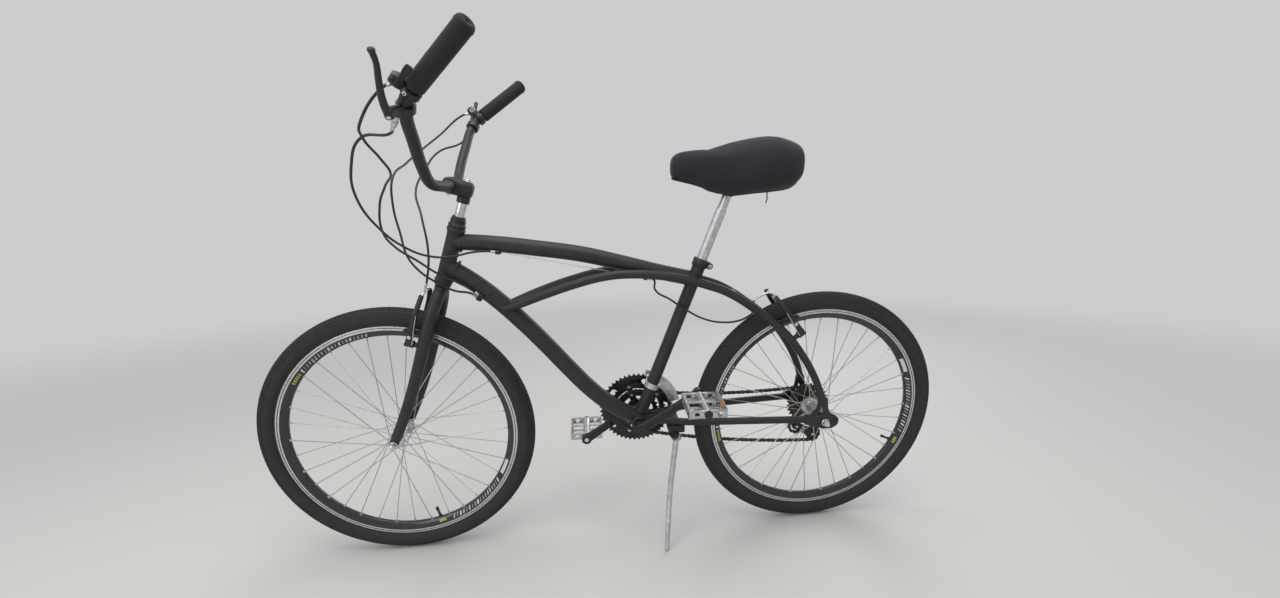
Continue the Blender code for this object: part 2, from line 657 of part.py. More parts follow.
# Hub turning profiles, (radius, left of the middle), and the flanges' (radius, place)
FRONT_HUB = [(AXLE_RADIUS + RUN_GAP, -0.040), (0.0125, -0.040), (0.0125, -0.036), (0.020, -0.035),
             (0.020, -0.031), (0.010, -0.027), (0.010, 0.027), (0.020, 0.031),
             (0.020, 0.035), (0.0125, 0.036), (0.0125, 0.040), (AXLE_RADIUS + RUN_GAP, 0.040)]
REAR_HUB = [(AXLE_RADIUS + RUN_GAP, -0.058), (0.0155, -0.058), (0.0155, -0.0235),
            (0.0235, -0.0225), (0.0235, -0.0175), (0.013, -0.0140), (0.013, 0.0280),
            (0.0235, 0.032), (0.0235, 0.036), (0.0150, 0.037), (0.0150, 0.044),
            (AXLE_RADIUS + RUN_GAP, 0.044)]
FRONT_FLANGES = ((0.0175, 0.033), (0.0175, -0.033))
REAR_FLANGES = ((0.0210, 0.034), (0.0210, -0.020))


def make_spokes(centre, flanges):
    """All the spokes of a wheel, laced across each other, as rods in one mesh."""
    reach = (RIM_RADIUS - RIM_DEPTH) * math.cos(math.pi / WHEEL_SEGMENTS) - SEAT_GAP
    step = 2 * math.pi / SPOKES_PER_SIDE
    bm = bmesh.new()
    for number, (hole_circle, place) in enumerate(flanges):
        for k in range(SPOKES_PER_SIDE):
            way = 1 if k % 2 else -1
            rim_turn = step * (k + 0.5 * number)
            hub_turn = rim_turn + way * step * SPOKE_CROSSINGS
            face = place + way * 2.0 * MM
            start = Vector((hole_circle * math.cos(hub_turn), face, hole_circle * math.sin(hub_turn)))
            end = Vector((reach * math.cos(rim_turn), 2 * MM * (1 if place > 0 else -1),
                          reach * math.sin(rim_turn)))
            start -= (end - start).normalized() * 2 * MM
            along = end - start
            turn = along.to_track_quat("Z", "Y").to_matrix().to_4x4()
            bmesh.ops.create_cone(bm, cap_ends=True, segments=3, depth=along.length,
                                  radius1=SPOKE_RADIUS, radius2=SPOKE_RADIUS,
                                  matrix=Matrix.Translation(centre + (start + end) / 2) @ turn)
    return from_bmesh(bm)


def make_hub(centre, profile, flanges):
    return union(turned(profile, centre, LEFT, 12), make_spokes(centre, flanges))


def make_axle(centre, half_spacing, plate_thickness, cones):
    """An axle with its nuts outside the fork or frame ends and its cones inside."""
    end = half_spacing + plate_thickness + 16 * MM
    parts = []
    for _, side in SIDES:
        nut = half_spacing + plate_thickness + SEAT_GAP
        parts.append(rod(centre + LEFT * side * nut, centre + LEFT * side * (nut + 1.5 * MM),
                         10 * MM, sides=8))
        parts.append(rod(centre + LEFT * side * (nut + 1.0 * MM), centre + LEFT * side * (nut + 9 * MM),
                         8.5 * MM, sides=6))
    for start, stop in cones:
        parts.append(rod(centre + LEFT * start, centre + LEFT * stop, 8.0 * MM, sides=8))
    shaft = rod(centre - LEFT * end, centre + LEFT * end, AXLE_RADIUS)
    return union(shaft, *parts)


# Drive

TOOTH_OVER = 2.6 * MM        # tooth tip outside the pitch line
TOOTH_UNDER = 3.6 * MM       # tooth root inside it


def pitch_radius(teeth):
    return CHAIN_PITCH / (2 * math.sin(math.pi / teeth))


def toothed_outline(teeth):
    """A sprocket's outline: each tooth is one root point and one tip point."""
    pitch = pitch_radius(teeth)
    step = 2 * math.pi / teeth
    outline = []
    for tooth in range(teeth):
        for share, radius in ((0.0, pitch - TOOTH_UNDER), (0.5, pitch + TOOTH_OVER)):
            turn = step * (tooth + share)
            outline.append((radius * math.cos(turn), radius * math.sin(turn)))
    return outline


RING_THICKNESS = 2.0 * MM
RING_INNER = (42.0 * MM, 60.0 * MM, 63.0 * MM)
BOSS_OUTER = 16.5 * MM
SPIDER_ARMS = 5


def ring_side(index):
    return -(CHAIN_LINE + RING_STEP * index)


def make_chainrings():
    """Three toothed rings riveted to one five-armed spider."""
    middle = (BB.x, BB.z)
    rings = []
    for index, (teeth, inner) in enumerate(zip(RING_TEETH, RING_INNER)):
        rings.append(plate([toothed_outline(teeth), circle(inner, 16)], RING_THICKNESS,
                           middle, ring_side(index)))
    spider = (ring_side(1) + ring_side(2)) / 2
    hub = plate([circle(27 * MM, 16), circle(BOSS_OUTER + 2 * SEAT_GAP, 16)], 9 * MM, middle, spider)
    parts = [hub]
    for arm in range(SPIDER_ARMS):
        turn = CRANK_TURN + math.pi * (1 + 2 * arm / SPIDER_ARMS) + math.pi / SPIDER_ARMS
        out = Vector((math.cos(turn), 0.0, math.sin(turn)))
        across = Vector((-out.z, 0.0, out.x))
        root = BB + out * 22 * MM + LEFT * spider
        tip = BB + out * 72 * MM + LEFT * spider
        parts.append(loft([slab_ring(root, across, LEFT, 10 * MM, 3.6 * MM),
                           slab_ring(tip, across, LEFT, 6.5 * MM, 3.6 * MM)]))
        post = BB + out * 46 * MM
        parts.append(rod(post + LEFT * (ring_side(0) + 1.8 * MM), post + LEFT * spider,
                         4.5 * MM, sides=6))
    return union(rings[0], *rings[1:], *parts)


# Crank arm sections: (from the spindle, out, half width, half thickness, further out beside rings)
CRANK_SECTIONS = [(0.0, 0.0575, 0.0140, 0.0075, 0.0075), (0.045, 0.0630, 0.0120, 0.0070, 0.0045),
                  (0.110, 0.0720, 0.0105, 0.0065, 0.0020),
                  (CRANK_LENGTH, 0.0780, 0.0125, 0.0065, 0.0)]
CRANK_BOSS = (0.0460, 0.0650)
PEDAL_PIN_REACH = 0.104


def crank_direction(side):
    turn = CRANK_TURN if side > 0 else CRANK_TURN + math.pi
    return Vector((math.cos(turn), 0.0, math.sin(turn)))


def crank_rows(side):
    """The arm's sections on one side, as (from the spindle, out, half width, half thickness)."""
    return [(far, out + (beside if side < 0 else 0.0), width, thick)
            for far, out, width, thick, beside in CRANK_SECTIONS]


def pedal_centre(side):
    """Where the pedal's pin leaves the crank arm's outer face."""
    far, out, width, thick = crank_rows(side)[-1]
    return BB + crank_direction(side) * far + LEFT * side * (out + thick)


def make_crank(side):
    along = crank_direction(side)
    across = Vector((-along.z, 0.0, along.x))
    rows = crank_rows(side)
    rings = [slab_ring(BB + along * far + LEFT * side * out, across, LEFT, width, thick)
             for far, out, width, thick in rows]
    boss_in, boss_out = CRANK_BOSS[0], rows[0][1] + rows[0][3]
    boss = rod(BB + LEFT * side * boss_in, BB + LEFT * side * (boss_out + 1 * MM), BOSS_OUTER,
               sides=16)
    far, out, width, thick = rows[-1]
    eye_middle = BB + along * far + LEFT * side * out
    eye = rod(eye_middle - LEFT * (thick + 0.5 * MM), eye_middle + LEFT * (thick + 0.5 * MM),
              width + 1 * MM, sides=12)
    pin = rod(eye_middle, eye_middle + LEFT * side * PEDAL_PIN_REACH, PEDAL_PIN_RADIUS)
    arm = union(loft(rings), boss, eye, pin)
    if side > 0:
        bore = rod(BB + LEFT * 20 * MM, BB + LEFT * (CRANK_BOSS[1] - 3 * MM + SEAT_GAP),
                   SPINDLE_RADIUS + SEAT_GAP, sides=12)
        return cut(arm, bore)
    spindle = rod(BB - LEFT * (boss_in + 5 * MM), BB + LEFT * (CRANK_BOSS[1] - 3 * MM),
                  SPINDLE_RADIUS, sides=12)
    return union(arm, spindle)


PEDAL_INSET = 9.0 * MM


def make_pedal(side):
    """A cage pedal: two toothed side plates round a barrel."""
    pin = pedal_centre(side)
    inner = pin + LEFT * side * PEDAL_INSET
    outer = inner + LEFT * side * PEDAL_WIDTH
    barrel = rod(inner - LEFT * side * 1 * MM, outer + LEFT * side * 1 * MM, 11 * MM)
    half, thick = PEDAL_LENGTH / 2, PEDAL_THICKNESS / 2
    low_y, high_y = sorted((inner.y, outer.y))
    parts = []
    for fore in (1, -1):
        middle = pin.x + fore * (half - 3 * MM)
        parts.append(block((middle - 3 * MM, low_y, pin.z - thick),
                           (middle + 3 * MM, high_y, pin.z + thick)))
    for place in (inner, (inner + outer) / 2, outer):
        y = min(max(place.y, low_y + 4.6 * MM), high_y - 4.6 * MM)
        parts.append(block((pin.x - half + 2 * MM, y - 4 * MM, pin.z - thick * 0.7),
                           (pin.x + half - 2 * MM, y + 4 * MM, pin.z + thick * 0.7)))
    body = union(barrel, *parts)
    bore = rod(pin, pin + LEFT * side * PEDAL_PIN_REACH * 1.2, PEDAL_PIN_RADIUS + RUN_GAP, sides=12)
    return cut(body, bore)


def cog_side(index):
    return -(CHAIN_LINE + COG_STEP * (index - CHAIN_COG))


def make_freewheel():
    """Six sprockets on one drum."""
    bore = 16.8 * MM
    drum_in, drum_out = cog_side(0) + 2.5 * MM, cog_side(len(COG_TEETH) - 1) - 1.5 * MM
    drum = turned([(bore, drum_in), (22.5 * MM, drum_in), (22.5 * MM, drum_out),
                   (bore, drum_out)], (0.0, 0.0, 0.0), LEFT, 12)
    cogs = [plate([toothed_outline(teeth), circle(20 * MM, 8)], 1.8 * MM, (0.0, 0.0), cog_side(i))
            for i, teeth in enumerate(COG_TEETH)]
    return union(drum, *cogs)


PULLEY_RADIUS = 20.6 * MM
GUIDE_PULLEY = Vector((0.024, 0.0, -0.072))
TENSION_PULLEY = Vector((-0.024, 0.0, -0.099))
CHAIN_SAG = 14.0 * MM


def tangent_points(a, radius_a, b, radius_b):
    """Where a straight run leaves circle a and meets circle b.

    A radius is positive where the chain goes round its circle anticlockwise, seen with ahead to
    the right and up above, and negative where it goes round clockwise.
    """
    apart = math.hypot(b[0] - a[0], b[1] - a[1])
    base = math.atan2(b[1] - a[1], b[0] - a[0])
    lean = math.acos((radius_a - radius_b) / apart)
    turn = base - lean
    return ((a[0] + radius_a * math.cos(turn), a[1] + radius_a * math.sin(turn)),
            (b[0] + radius_b * math.cos(turn), b[1] + radius_b * math.sin(turn)))


def chain_route():
    """The chain's closed pin line in (ahead, up)."""
    ring = pitch_radius(RING_TEETH[CHAIN_RING])
    cog = pitch_radius(COG_TEETH[CHAIN_COG])
    wheels = [((BB.x, BB.z), ring), ((0.0, 0.0), cog),
              ((GUIDE_PULLEY.x, GUIDE_PULLEY.z), -PULLEY_RADIUS),
              ((TENSION_PULLEY.x, TENSION_PULLEY.z), PULLEY_RADIUS)]
    runs = []
    for i, (a, radius_a) in enumerate(wheels):
        b, radius_b = wheels[(i + 1) % len(wheels)]
        runs.append(tangent_points(a, radius_a, b, radius_b))
    fine = []
    for i, (centre, radius) in enumerate(wheels):
        arrive, leave = runs[i - 1][1], runs[i][0]
        start = math.atan2(arrive[1] - centre[1], arrive[0] - centre[0])
        stop = math.atan2(leave[1] - centre[1], leave[0] - centre[0])
        sweep = (stop - start) % (2 * math.pi)
        if radius < 0:
            sweep -= 2 * math.pi
        count = 24
        for k in range(count):
            turn = start + sweep * k / count
            fine.append((centre[0] + abs(radius) * math.cos(turn),
                         centre[1] + abs(radius) * math.sin(turn)))
        (x0, z0), (x1, z1) = runs[i]
        sag = CHAIN_SAG if i in (0, len(wheels) - 1) else 0.0
        for k in range(count):
            share = k / count
            fine.append((x0 + (x1 - x0) * share,
                         z0 + (z1 - z0) * share - 4 * sag * share * (1 - share)))
    return even_points(fine, CHAIN_STEP)


def even_points(points, spacing):
    """Points at an even spacing, an even number of them, along a closed line."""
    loop = points + points[:1]
    lengths = [math.dist(a, b) for a, b in zip(loop, loop[1:])]
    count = 2 * round(sum(lengths) / spacing / 2)
    step = sum(lengths) / count
    result = []
    travelled, segment = 0.0, 0
    for i in range(count):
        target = i * step
        while travelled + lengths[segment] < target:
            travelled += lengths[segment]
            segment += 1
        share = (target - travelled) / lengths[segment]
        (x0, z0), (x1, z1) = loop[segment], loop[segment + 1]
        result.append((x0 + (x1 - x0) * share, z0 + (z1 - z0) * share))
    return result


# The chain's section, open towards the sprockets: (away from the loop's inside, along Y)
CHAIN_SECTION = [(-4.4 * MM, -3.6 * MM), (-4.4 * MM, -1.8 * MM), (4.6 * MM, -1.8 * MM),
                 (4.6 * MM, 1.8 * MM), (-4.4 * MM, 1.8 * MM), (-4.4 * MM, 3.6 * MM),
                 (5.6 * MM, 3.6 * MM), (5.6 * MM, -3.6 * MM)]
CHAIN_WAIST = 0.80
CHAIN_STEP = CHAIN_PITCH


def make_chain():
    """A closed loop of links, wide at each pin and narrow between, hollow for the teeth."""
    route = chain_route()
    rings = []
    for i, (x, z) in enumerate(route):
        before, after = route[i - 1], route[(i + 1) % len(route)]
        along = Vector((after[0] - before[0], 0.0, after[1] - before[1])).normalized()
        away = along.cross(LEFT)
        size = 1.0 if i % 2 else CHAIN_WAIST
        ring = []
        for out, across in CHAIN_SECTION:
            ring.append(Vector((x, -CHAIN_LINE + across, z)) - away * out * size)
        rings.append(ring)
    bm = bmesh.new()
    rows = [[bm.verts.new(point) for point in ring] for ring in rings]
    for row, following in zip(rows, rows[1:] + rows[:1]):
        for i in range(len(row)):
            j = (i + 1) % len(row)
            bm.faces.new((row[i], row[j], following[j], following[i]))
    return bake(from_bmesh(bm))


CAGE_CLEAR = 1.2 * MM
CAGE_THICKNESS = 1.5 * MM


def make_derailleur_cage():
    """Two cage plates and the two pulleys between them."""
    half = 3.6 * MM + CAGE_CLEAR + CAGE_THICKNESS / 2
    guide, tension = GUIDE_PULLEY, TENSION_PULLEY
    along = (tension - guide).normalized()
    across = Vector((-along.z, 0.0, along.x))
    parts = []
    for _, side in SIDES:
        middle = LEFT * (-CHAIN_LINE + side * half)
        rings = [slab_ring(guide + middle + along * a, across, LEFT, w, CAGE_THICKNESS / 2)
                 for a, w in ((-9 * MM, 5 * MM), (-4 * MM, 9 * MM))]
        span = (tension - guide).length
        rings += [slab_ring(guide + middle + along * a, across, LEFT, w, CAGE_THICKNESS / 2)
                  for a, w in ((span + 4 * MM, 11 * MM), (span + 12 * MM, 6 * MM))]
        parts.append(loft(rings))
    for place, radius in ((guide, 14.3 * MM), (tension, 19.8 * MM)):
        middle = place - LEFT * CHAIN_LINE
        parts.append(rod(middle - LEFT * 1.2 * MM, middle + LEFT * 1.2 * MM, radius))
        parts.append(rod(middle - LEFT * (half + 2 * MM), middle + LEFT * (half + 2 * MM), 4 * MM,
                         sides=12))
    return union(parts[0], *parts[1:])


def make_rear_derailleur():
    """The body from the hanger bolt to the cage's pivot."""
    hanger = Vector((0.0, -(REAR_SPACING + DROPOUT_THICKNESS + SEAT_GAP), -HANGER_DROP))
    bolt = rod(hanger, hanger - LEFT * 9 * MM, 9 * MM, sides=16)
    knee = hanger + Vector((-6 * MM, -9 * MM, -18 * MM))
    cage_out = -CHAIN_LINE - (3.6 * MM + CAGE_CLEAR + CAGE_THICKNESS + 2 * MM) - SEAT_GAP
    pivot = Vector((GUIDE_PULLEY.x, cage_out, GUIDE_PULLEY.z))
    low = rod(pivot, pivot - LEFT * 14 * MM, 10 * MM, sides=16)
    across = Vector((0.0, 1.0, 0.0))
    start = hanger + Vector((0.0, -5 * MM, 0.0))
    end = pivot + Vector((0.0, -7 * MM, 0.0))
    arm = loft([slab_ring(start + Vector((0, 0, 4 * MM)), Vector((1, 0, 0)), across, 8 * MM, 4 * MM),
                slab_ring(knee, Vector((1, 0, 0)), across, 10 * MM, 7 * MM),
                slab_ring(end, Vector((1, 0, 0)), across, 9 * MM, 6 * MM)])
    return union(bolt, low, arm)


FRONT_CAGE_IN = CHAIN_LINE - 3.6 * MM - CAGE_CLEAR - CAGE_THICKNESS / 2
FRONT_CAGE_OUT = CHAIN_LINE + 3.6 * MM + CAGE_CLEAR + CAGE_THICKNESS / 2


def arc_band(inner, outer, start, stop, count):
    """A band between two radii about the bottom bracket, as an (ahead, up) outline."""
    turns = [math.radians(start + (stop - start) * i / count) for i in range(count + 1)]
    return ([(outer * math.cos(t), outer * math.sin(t)) for t in turns]
            + [(inner * math.cos(t), inner * math.sin(t)) for t in reversed(turns)])


FRONT_CLAMP_UP = 98.0 * MM


def make_front_derailleur():
    """A band round the seat tube that carries a two-sided cage over the rings."""
    low, high = FRONT_CLAMP_UP - 7 * MM, FRONT_CLAMP_UP + 7 * MM
    inner = SEAT_TUBE_RADIUS + SEAT_GAP
    band = turned([(inner, low), (inner + 3 * MM, low), (inner + 3 * MM, high), (inner, high)],
                  BB, SEAT_UP, 24)
    middle = (BB.x, BB.z)
    inside = plate([arc_band(88 * MM, 116 * MM, 108, 166, 6)], CAGE_THICKNESS, middle,
                   -FRONT_CAGE_IN)
    outside = plate([arc_band(97 * MM, 116 * MM, 102, 166, 6)], CAGE_THICKNESS, middle,
                    -FRONT_CAGE_OUT)
    top = on_seat(FRONT_CLAMP_UP)
    pivot = top + Vector((0.0, -inner - 6 * MM, 0.0))
    lever = block(pivot + Vector((-10 * MM, -9 * MM, -6 * MM)),
                  pivot + Vector((12 * MM, 5 * MM, 18 * MM)))
    turn = math.radians(112)
    hold = BB + Vector((112 * MM * math.cos(turn), 0.0, 112 * MM * math.sin(turn)))
    bridge = rod(hold - LEFT * (FRONT_CAGE_OUT + 1 * MM), hold - LEFT * (inner + 6 * MM), 4 * MM,
                 sides=8)
    tail = math.radians(164)
    pin_place = BB + Vector((103 * MM * math.cos(tail), 0.0, 103 * MM * math.sin(tail)))
    pin = rod(pin_place - LEFT * (FRONT_CAGE_OUT + 1 * MM), pin_place - LEFT * (FRONT_CAGE_IN - 1 * MM),
              2.5 * MM, sides=8)
    return union(band, lever, inside, outside, bridge, pin)


# Steering

CROWN_TOP = -9.0 * MM - SEAT_GAP
CROWN_LOW = -44.0 * MM
CROWN_RADIUS = 17.0 * MM
FORK_BLADE_TOP = 14.3 * MM
FORK_BLADE_LOW = 11.8 * MM
# Fork blade route: (along the steering axis, out, ahead); its lower rows are set from the axle
BLADE_ROUTE = [(-0.026, 0.010, 0.0), (-0.045, 0.026, 0.0), (-0.072, 0.039, 0.0),
               (-0.115, 0.0465, 0.0), (0.2153 - FORK_LENGTH, 0.0495, -0.001),
               (0.1353 - FORK_LENGTH, 0.0510, 0.0), (0.0703 - FORK_LENGTH, 0.0525, 0.004),
               (0.0173 - FORK_LENGTH, 0.0530, 0.0095)]


def blade_points(side):
    return [on_head(along, ahead, side * out) for along, out, ahead in BLADE_ROUTE]


def crown_space(gap):
    """The crown's outside, grown by a gap, as a cutter."""
    flange = rod(on_head(CROWN_TOP + 10 * MM), on_head(CROWN_TOP - 6 * MM - gap),
                 CROWN_RADIUS + 2 * MM + gap, sides=16)
    cone = rod(on_head(CROWN_TOP - 5 * MM), on_head(CROWN_LOW - gap), CROWN_RADIUS + gap,
               CROWN_RADIUS - 3 * MM + gap, sides=16)
    return union(cone, flange)


def make_steerer():
    """The steerer tube, its crown race and the crown that the blades are welded to."""
    top = HEAD_LENGTH + 30 * MM
    profile = [(STEERER_RADIUS - 1.1 * MM, top), (STEERER_RADIUS, top),
               (STEERER_RADIUS, CROWN_TOP), (CROWN_RADIUS + 2 * MM, CROWN_TOP),
               (CROWN_RADIUS + 2 * MM, CROWN_TOP - 4 * MM), (CROWN_RADIUS, CROWN_TOP - 6 * MM),
               (CROWN_RADIUS - 3 * MM, CROWN_LOW), (STEERER_RADIUS - 1.1 * MM, CROWN_LOW)]
    return turned(profile, HEAD_LOWER, HEAD_UP)


def make_fork_blade(side):
    last = FORK_BLADE_LOW / FORK_BLADE_TOP
    count = len(BLADE_ROUTE)
    sizes = [1.0 if i < 4 else 1.0 + (last - 1.0) * (i - 3) / (count - 4) for i in range(count)]
    body = tube(blade_points(side), FORK_BLADE_TOP, sides=10, sizes=sizes)
    boss = blade_boss(side)
    body = union(body, rod(boss, boss + HEAD_AHEAD * (FORK_BLADE_TOP + BOSS_OUT), BOSS_RADIUS,
                           sides=12))
    inner, outer = sorted((SEAT_GAP * side / 2, -0.2 * side))
    other_half = block((0.5, inner, -0.1), (1.3, outer, 0.6))
    body = cut(body, crown_space(2 * SEAT_GAP), other_half)
    tip = blade_points(side)[-1] - FRONT_AXLE
    up = Vector((tip.x, 0.0, tip.z)).normalized()
    fore = Vector((up.z, 0.0, -up.x))
    outline = []
    for a, b in ((-9, 0), (-8, -8), (0, -11), (8, -8), (10, 0), (10, 12), (8, 30), (-8, 30), (-9, 12)):
        point = fore * a * MM + up * b * MM
        outline.append((point.x, point.z))
    middle = side * (FRONT_SPACING + DROPOUT_THICKNESS / 2)
    end = plate([outline, circle(AXLE_RADIUS + SEAT_GAP, 16)], DROPOUT_THICKNESS,
                (FRONT_AXLE.x, FRONT_AXLE.z), middle)
    return union(body, end)


BOSS_OUT = 6.0 * MM


def blade_boss(side):
    return on_head(-(FORK_LENGTH - RIM_RADIUS + 25 * MM), -0.0005, side * 0.0482)


def make_headset():
    """The threaded cup, washer and lock nut that turn with the steerer."""
    low = HEAD_LENGTH + 9 * MM + SEAT_GAP
    profile = [(STEERER_RADIUS + SEAT_GAP, low), (18.5 * MM, low), (19.5 * MM, low + 3 * MM),
               (19.5 * MM, low + 6 * MM), (17 * MM, low + 8 * MM), (17 * MM, low + 17 * MM),
               (14 * MM, low + 25 * MM), (QUILL_RADIUS + SEAT_GAP, low + 25 * MM),
               (QUILL_RADIUS + SEAT_GAP, low + 21 * MM + SEAT_GAP),
               (STEERER_RADIUS + SEAT_GAP, low + 21 * MM + SEAT_GAP)]
    return turned(profile, HEAD_LOWER, HEAD_UP)


BAR_CENTRE = on_head(STEM_RISE, STEM_REACH)


def make_stem():
    """A quill stem: the quill goes down the steerer, the head holds the bar."""
    quill = rod(on_head(HEAD_LENGTH - 20 * MM), on_head(STEM_RISE - 6 * MM), QUILL_RADIUS)
    collar = rod(on_head(STEM_RISE - 30 * MM), on_head(STEM_RISE - 16 * MM), QUILL_RADIUS + 3 * MM,
                 sides=20)
    up = HEAD_UP
    rings = [slab_ring(on_head(STEM_RISE, -QUILL_RADIUS - 4 * MM), LEFT, up, 13 * MM, 14 * MM),
             slab_ring(on_head(STEM_RISE, -QUILL_RADIUS + 2 * MM), LEFT, up, 17 * MM, 18 * MM),
             slab_ring(on_head(STEM_RISE, QUILL_RADIUS), LEFT, up, 18 * MM, 18 * MM),
             slab_ring(on_head(STEM_RISE, STEM_REACH + 4 * MM), LEFT, up, 23 * MM, 18 * MM),
             slab_ring(on_head(STEM_RISE, STEM_REACH + 17 * MM), LEFT, up, 22 * MM, 12 * MM)]
    head = loft(rings)
    bolt = rod(on_head(STEM_RISE + 12 * MM), on_head(STEM_RISE + 23 * MM), 7 * MM, sides=12)
    return cut(union(quill, collar, head, bolt), make_handlebar(SEAT_GAP))


# Half of the bar's route from the clamp: (ahead of its middle, out, up)
BAR_ROUTE = [(0.0, 0.0, 0.0), (0.0, 0.030, 0.0), (0.004, 0.075, 0.002), (0.012, 0.113, 0.010),
             (0.0125, 0.152, 0.040), (0.0065, 0.205, 0.0885), (0.001, 0.243, 0.124),
             (-0.009, 0.265, 0.1475), (-0.0285, 0.2765, 0.165), (-0.075, 0.300, 0.2045),
             (-0.1235, 0.3265, 0.244)]


def bar_points():
    half = [BAR_CENTRE + Vector(step) for step in BAR_ROUTE]
    mirrored = [Vector((p.x, -p.y, p.z)) for p in half[:0:-1]]
    return mirrored + half


def make_handlebar(gap=0.0):
    """The bar, or with a gap the space that its clamps and grips leave for it."""
    points = bar_points()
    middle = len(points) // 2
    centre_size = CLAMP_RADIUS / BAR_RADIUS
    sizes = [centre_size if abs(i - middle) < 2 else 1.0 for i in range(len(points))]
    for end, inner in ((0, 1), (-1, -2)):
        points[end] = points[end] + (points[end] - points[inner]).normalized() * gap
    return tube(points, BAR_RADIUS + gap, sizes=sizes)


def bar_end(side):
    """The bar's last straight on one side: its start and its end."""
    start, end = BAR_CENTRE + Vector(BAR_ROUTE[-3]), BAR_CENTRE + Vector(BAR_ROUTE[-1])
    return (Vector((start.x, start.y * side, start.z)), Vector((end.x, end.y * side, end.z)))


def make_grip(side):
    start, end = bar_end(side)
    along = (end - start).normalized()
    body = rod(end - along * GRIP_LENGTH, end + along * 4 * MM, GRIP_RADIUS)
    cap = rod(end + along * 3 * MM, end + along * 8 * MM, GRIP_RADIUS - 1 * MM, GRIP_RADIUS - 4 * MM,
              sides=20)
    return cut(union(body, cap), make_handlebar(SEAT_GAP))


GRIP_LENGTH = 133.0 * MM


def control_frame(side, back):
    """A point on the bar, a way in from the grip, with the local directions there."""
    route = [Vector((p.x, p.y * side, p.z)) for p in
             [BAR_CENTRE + Vector(step) for step in reversed(BAR_ROUTE)]]
    distance = GRIP_LENGTH + back
    for start, end in zip(route, route[1:]):
        if distance <= (end - start).length:
            break
        distance -= (end - start).length
    along = (start - end).normalized()
    middle = start - along * distance
    ahead = Vector((1.0, 0.0, 0.0))
    ahead = (ahead - along * ahead.dot(along)).normalized()
    up = ahead.cross(along) * side
    return middle, along, ahead, up


def make_shifter(side):
    """A trigger shifter beside the grip: clamp, pod and thumb lever."""
    middle, along, ahead, up = control_frame(side, SHIFTER_BACK)
    clamp = rod(middle - along * 6 * MM, middle + along * 6 * MM, BAR_RADIUS + 5 * MM)
    pod = loft([slab_ring(middle + ahead * a + up * 6 * MM, along, up, w, h) for a, w, h in
                ((6 * MM, 7 * MM, 9 * MM), (22 * MM, 11 * MM, 12 * MM), (36 * MM, 8 * MM, 9 * MM))])
    thumb = loft([slab_ring(middle + ahead * 22 * MM + along * a - up * u, ahead, up, 5 * MM, 2.5 * MM)
                  for a, u in ((0 * MM, 6 * MM), (22 * MM, 11 * MM), (44 * MM, 15 * MM))])
    return cut(union(clamp, pod, thumb), make_handlebar(SEAT_GAP))


def make_brake_lever(side):
    """A two-finger brake lever: clamp, perch, blade and the barrel its cable leaves by."""
    middle, along, ahead, up = control_frame(side, LEVER_BACK)
    clamp = rod(middle - along * 7 * MM, middle + along * 7 * MM, BAR_RADIUS + 4.5 * MM)
    perch = loft([slab_ring(middle + ahead * a + along * b - up * c, along, ahead, w, h)
                  for a, b, c, w, h in ((2 * MM, 0, 6 * MM, 9 * MM, 8 * MM),
                                        (14 * MM, 3 * MM, 20 * MM, 11 * MM, 8 * MM),
                                        (20 * MM, 8 * MM, 36 * MM, 9 * MM, 7 * MM))])
    blade_route = [middle + ahead * a + along * b - up * c for a, b, c in
                   ((18 * MM, 2 * MM, 34 * MM), (27 * MM, 30 * MM, 35 * MM),
                    (32 * MM, 62 * MM, 31 * MM), (35 * MM, 90 * MM, 27 * MM),
                    (40 * MM, 108 * MM, 27 * MM))]
    blade = tube(blade_route, 5 * MM, sizes=[1.5, 1.2, 1.0, 0.9, 1.1])
    leave, way = lever_exit(side)
    barrel = rod(leave - way * 24 * MM, leave, 4.5 * MM)
    return cut(union(clamp, perch, blade, barrel), make_handlebar(SEAT_GAP))


SHIFTER_BACK = 12.0 * MM
LEVER_BACK = 44.0 * MM


def lever_exit(side):
    """Where the brake cable leaves the lever's barrel, and which way."""
    middle, along, ahead, up = control_frame(side, LEVER_BACK)
    way = (-along + ahead * 0.25).normalized()
    return middle + ahead * 16 * MM - along * 26 * MM - up * 22 * MM, way


def pod_exit(side):
    """Where the shift cable leaves the shifter's pod, and which way."""
    middle, along, ahead, up = control_frame(side, SHIFTER_BACK)
    return middle + ahead * 27 * MM - along * 10.6 * MM + up * 8 * MM, (-along + ahead * 0.5).normalized()


# Brakes

PAD_GAP = 3.0 * MM
PAD_RADIUS = RIM_RADIUS - BRAKE_TRACK / 2      # from the axle to the pad's middle


# Brake arm sections: (up from the post, out, half depth, half thickness), in millimetres
ARM_ROWS = ((0.0, 0.0, 8.0, 7.0), (30.0, 4.0, 7.0, 6.0), (78.0, 1.0, 6.0, 5.0),
            (112.0, -16.0, 5.5, 4.5))
NOODLE_RADIUS = 2.8 * MM


def arm_top(pivot, post, arm_up, side):
    up, out, depth, thick = ARM_ROWS[-1]
    return pivot + post * 12 * MM + arm_up * (up * MM) + LEFT * side * (out * MM)


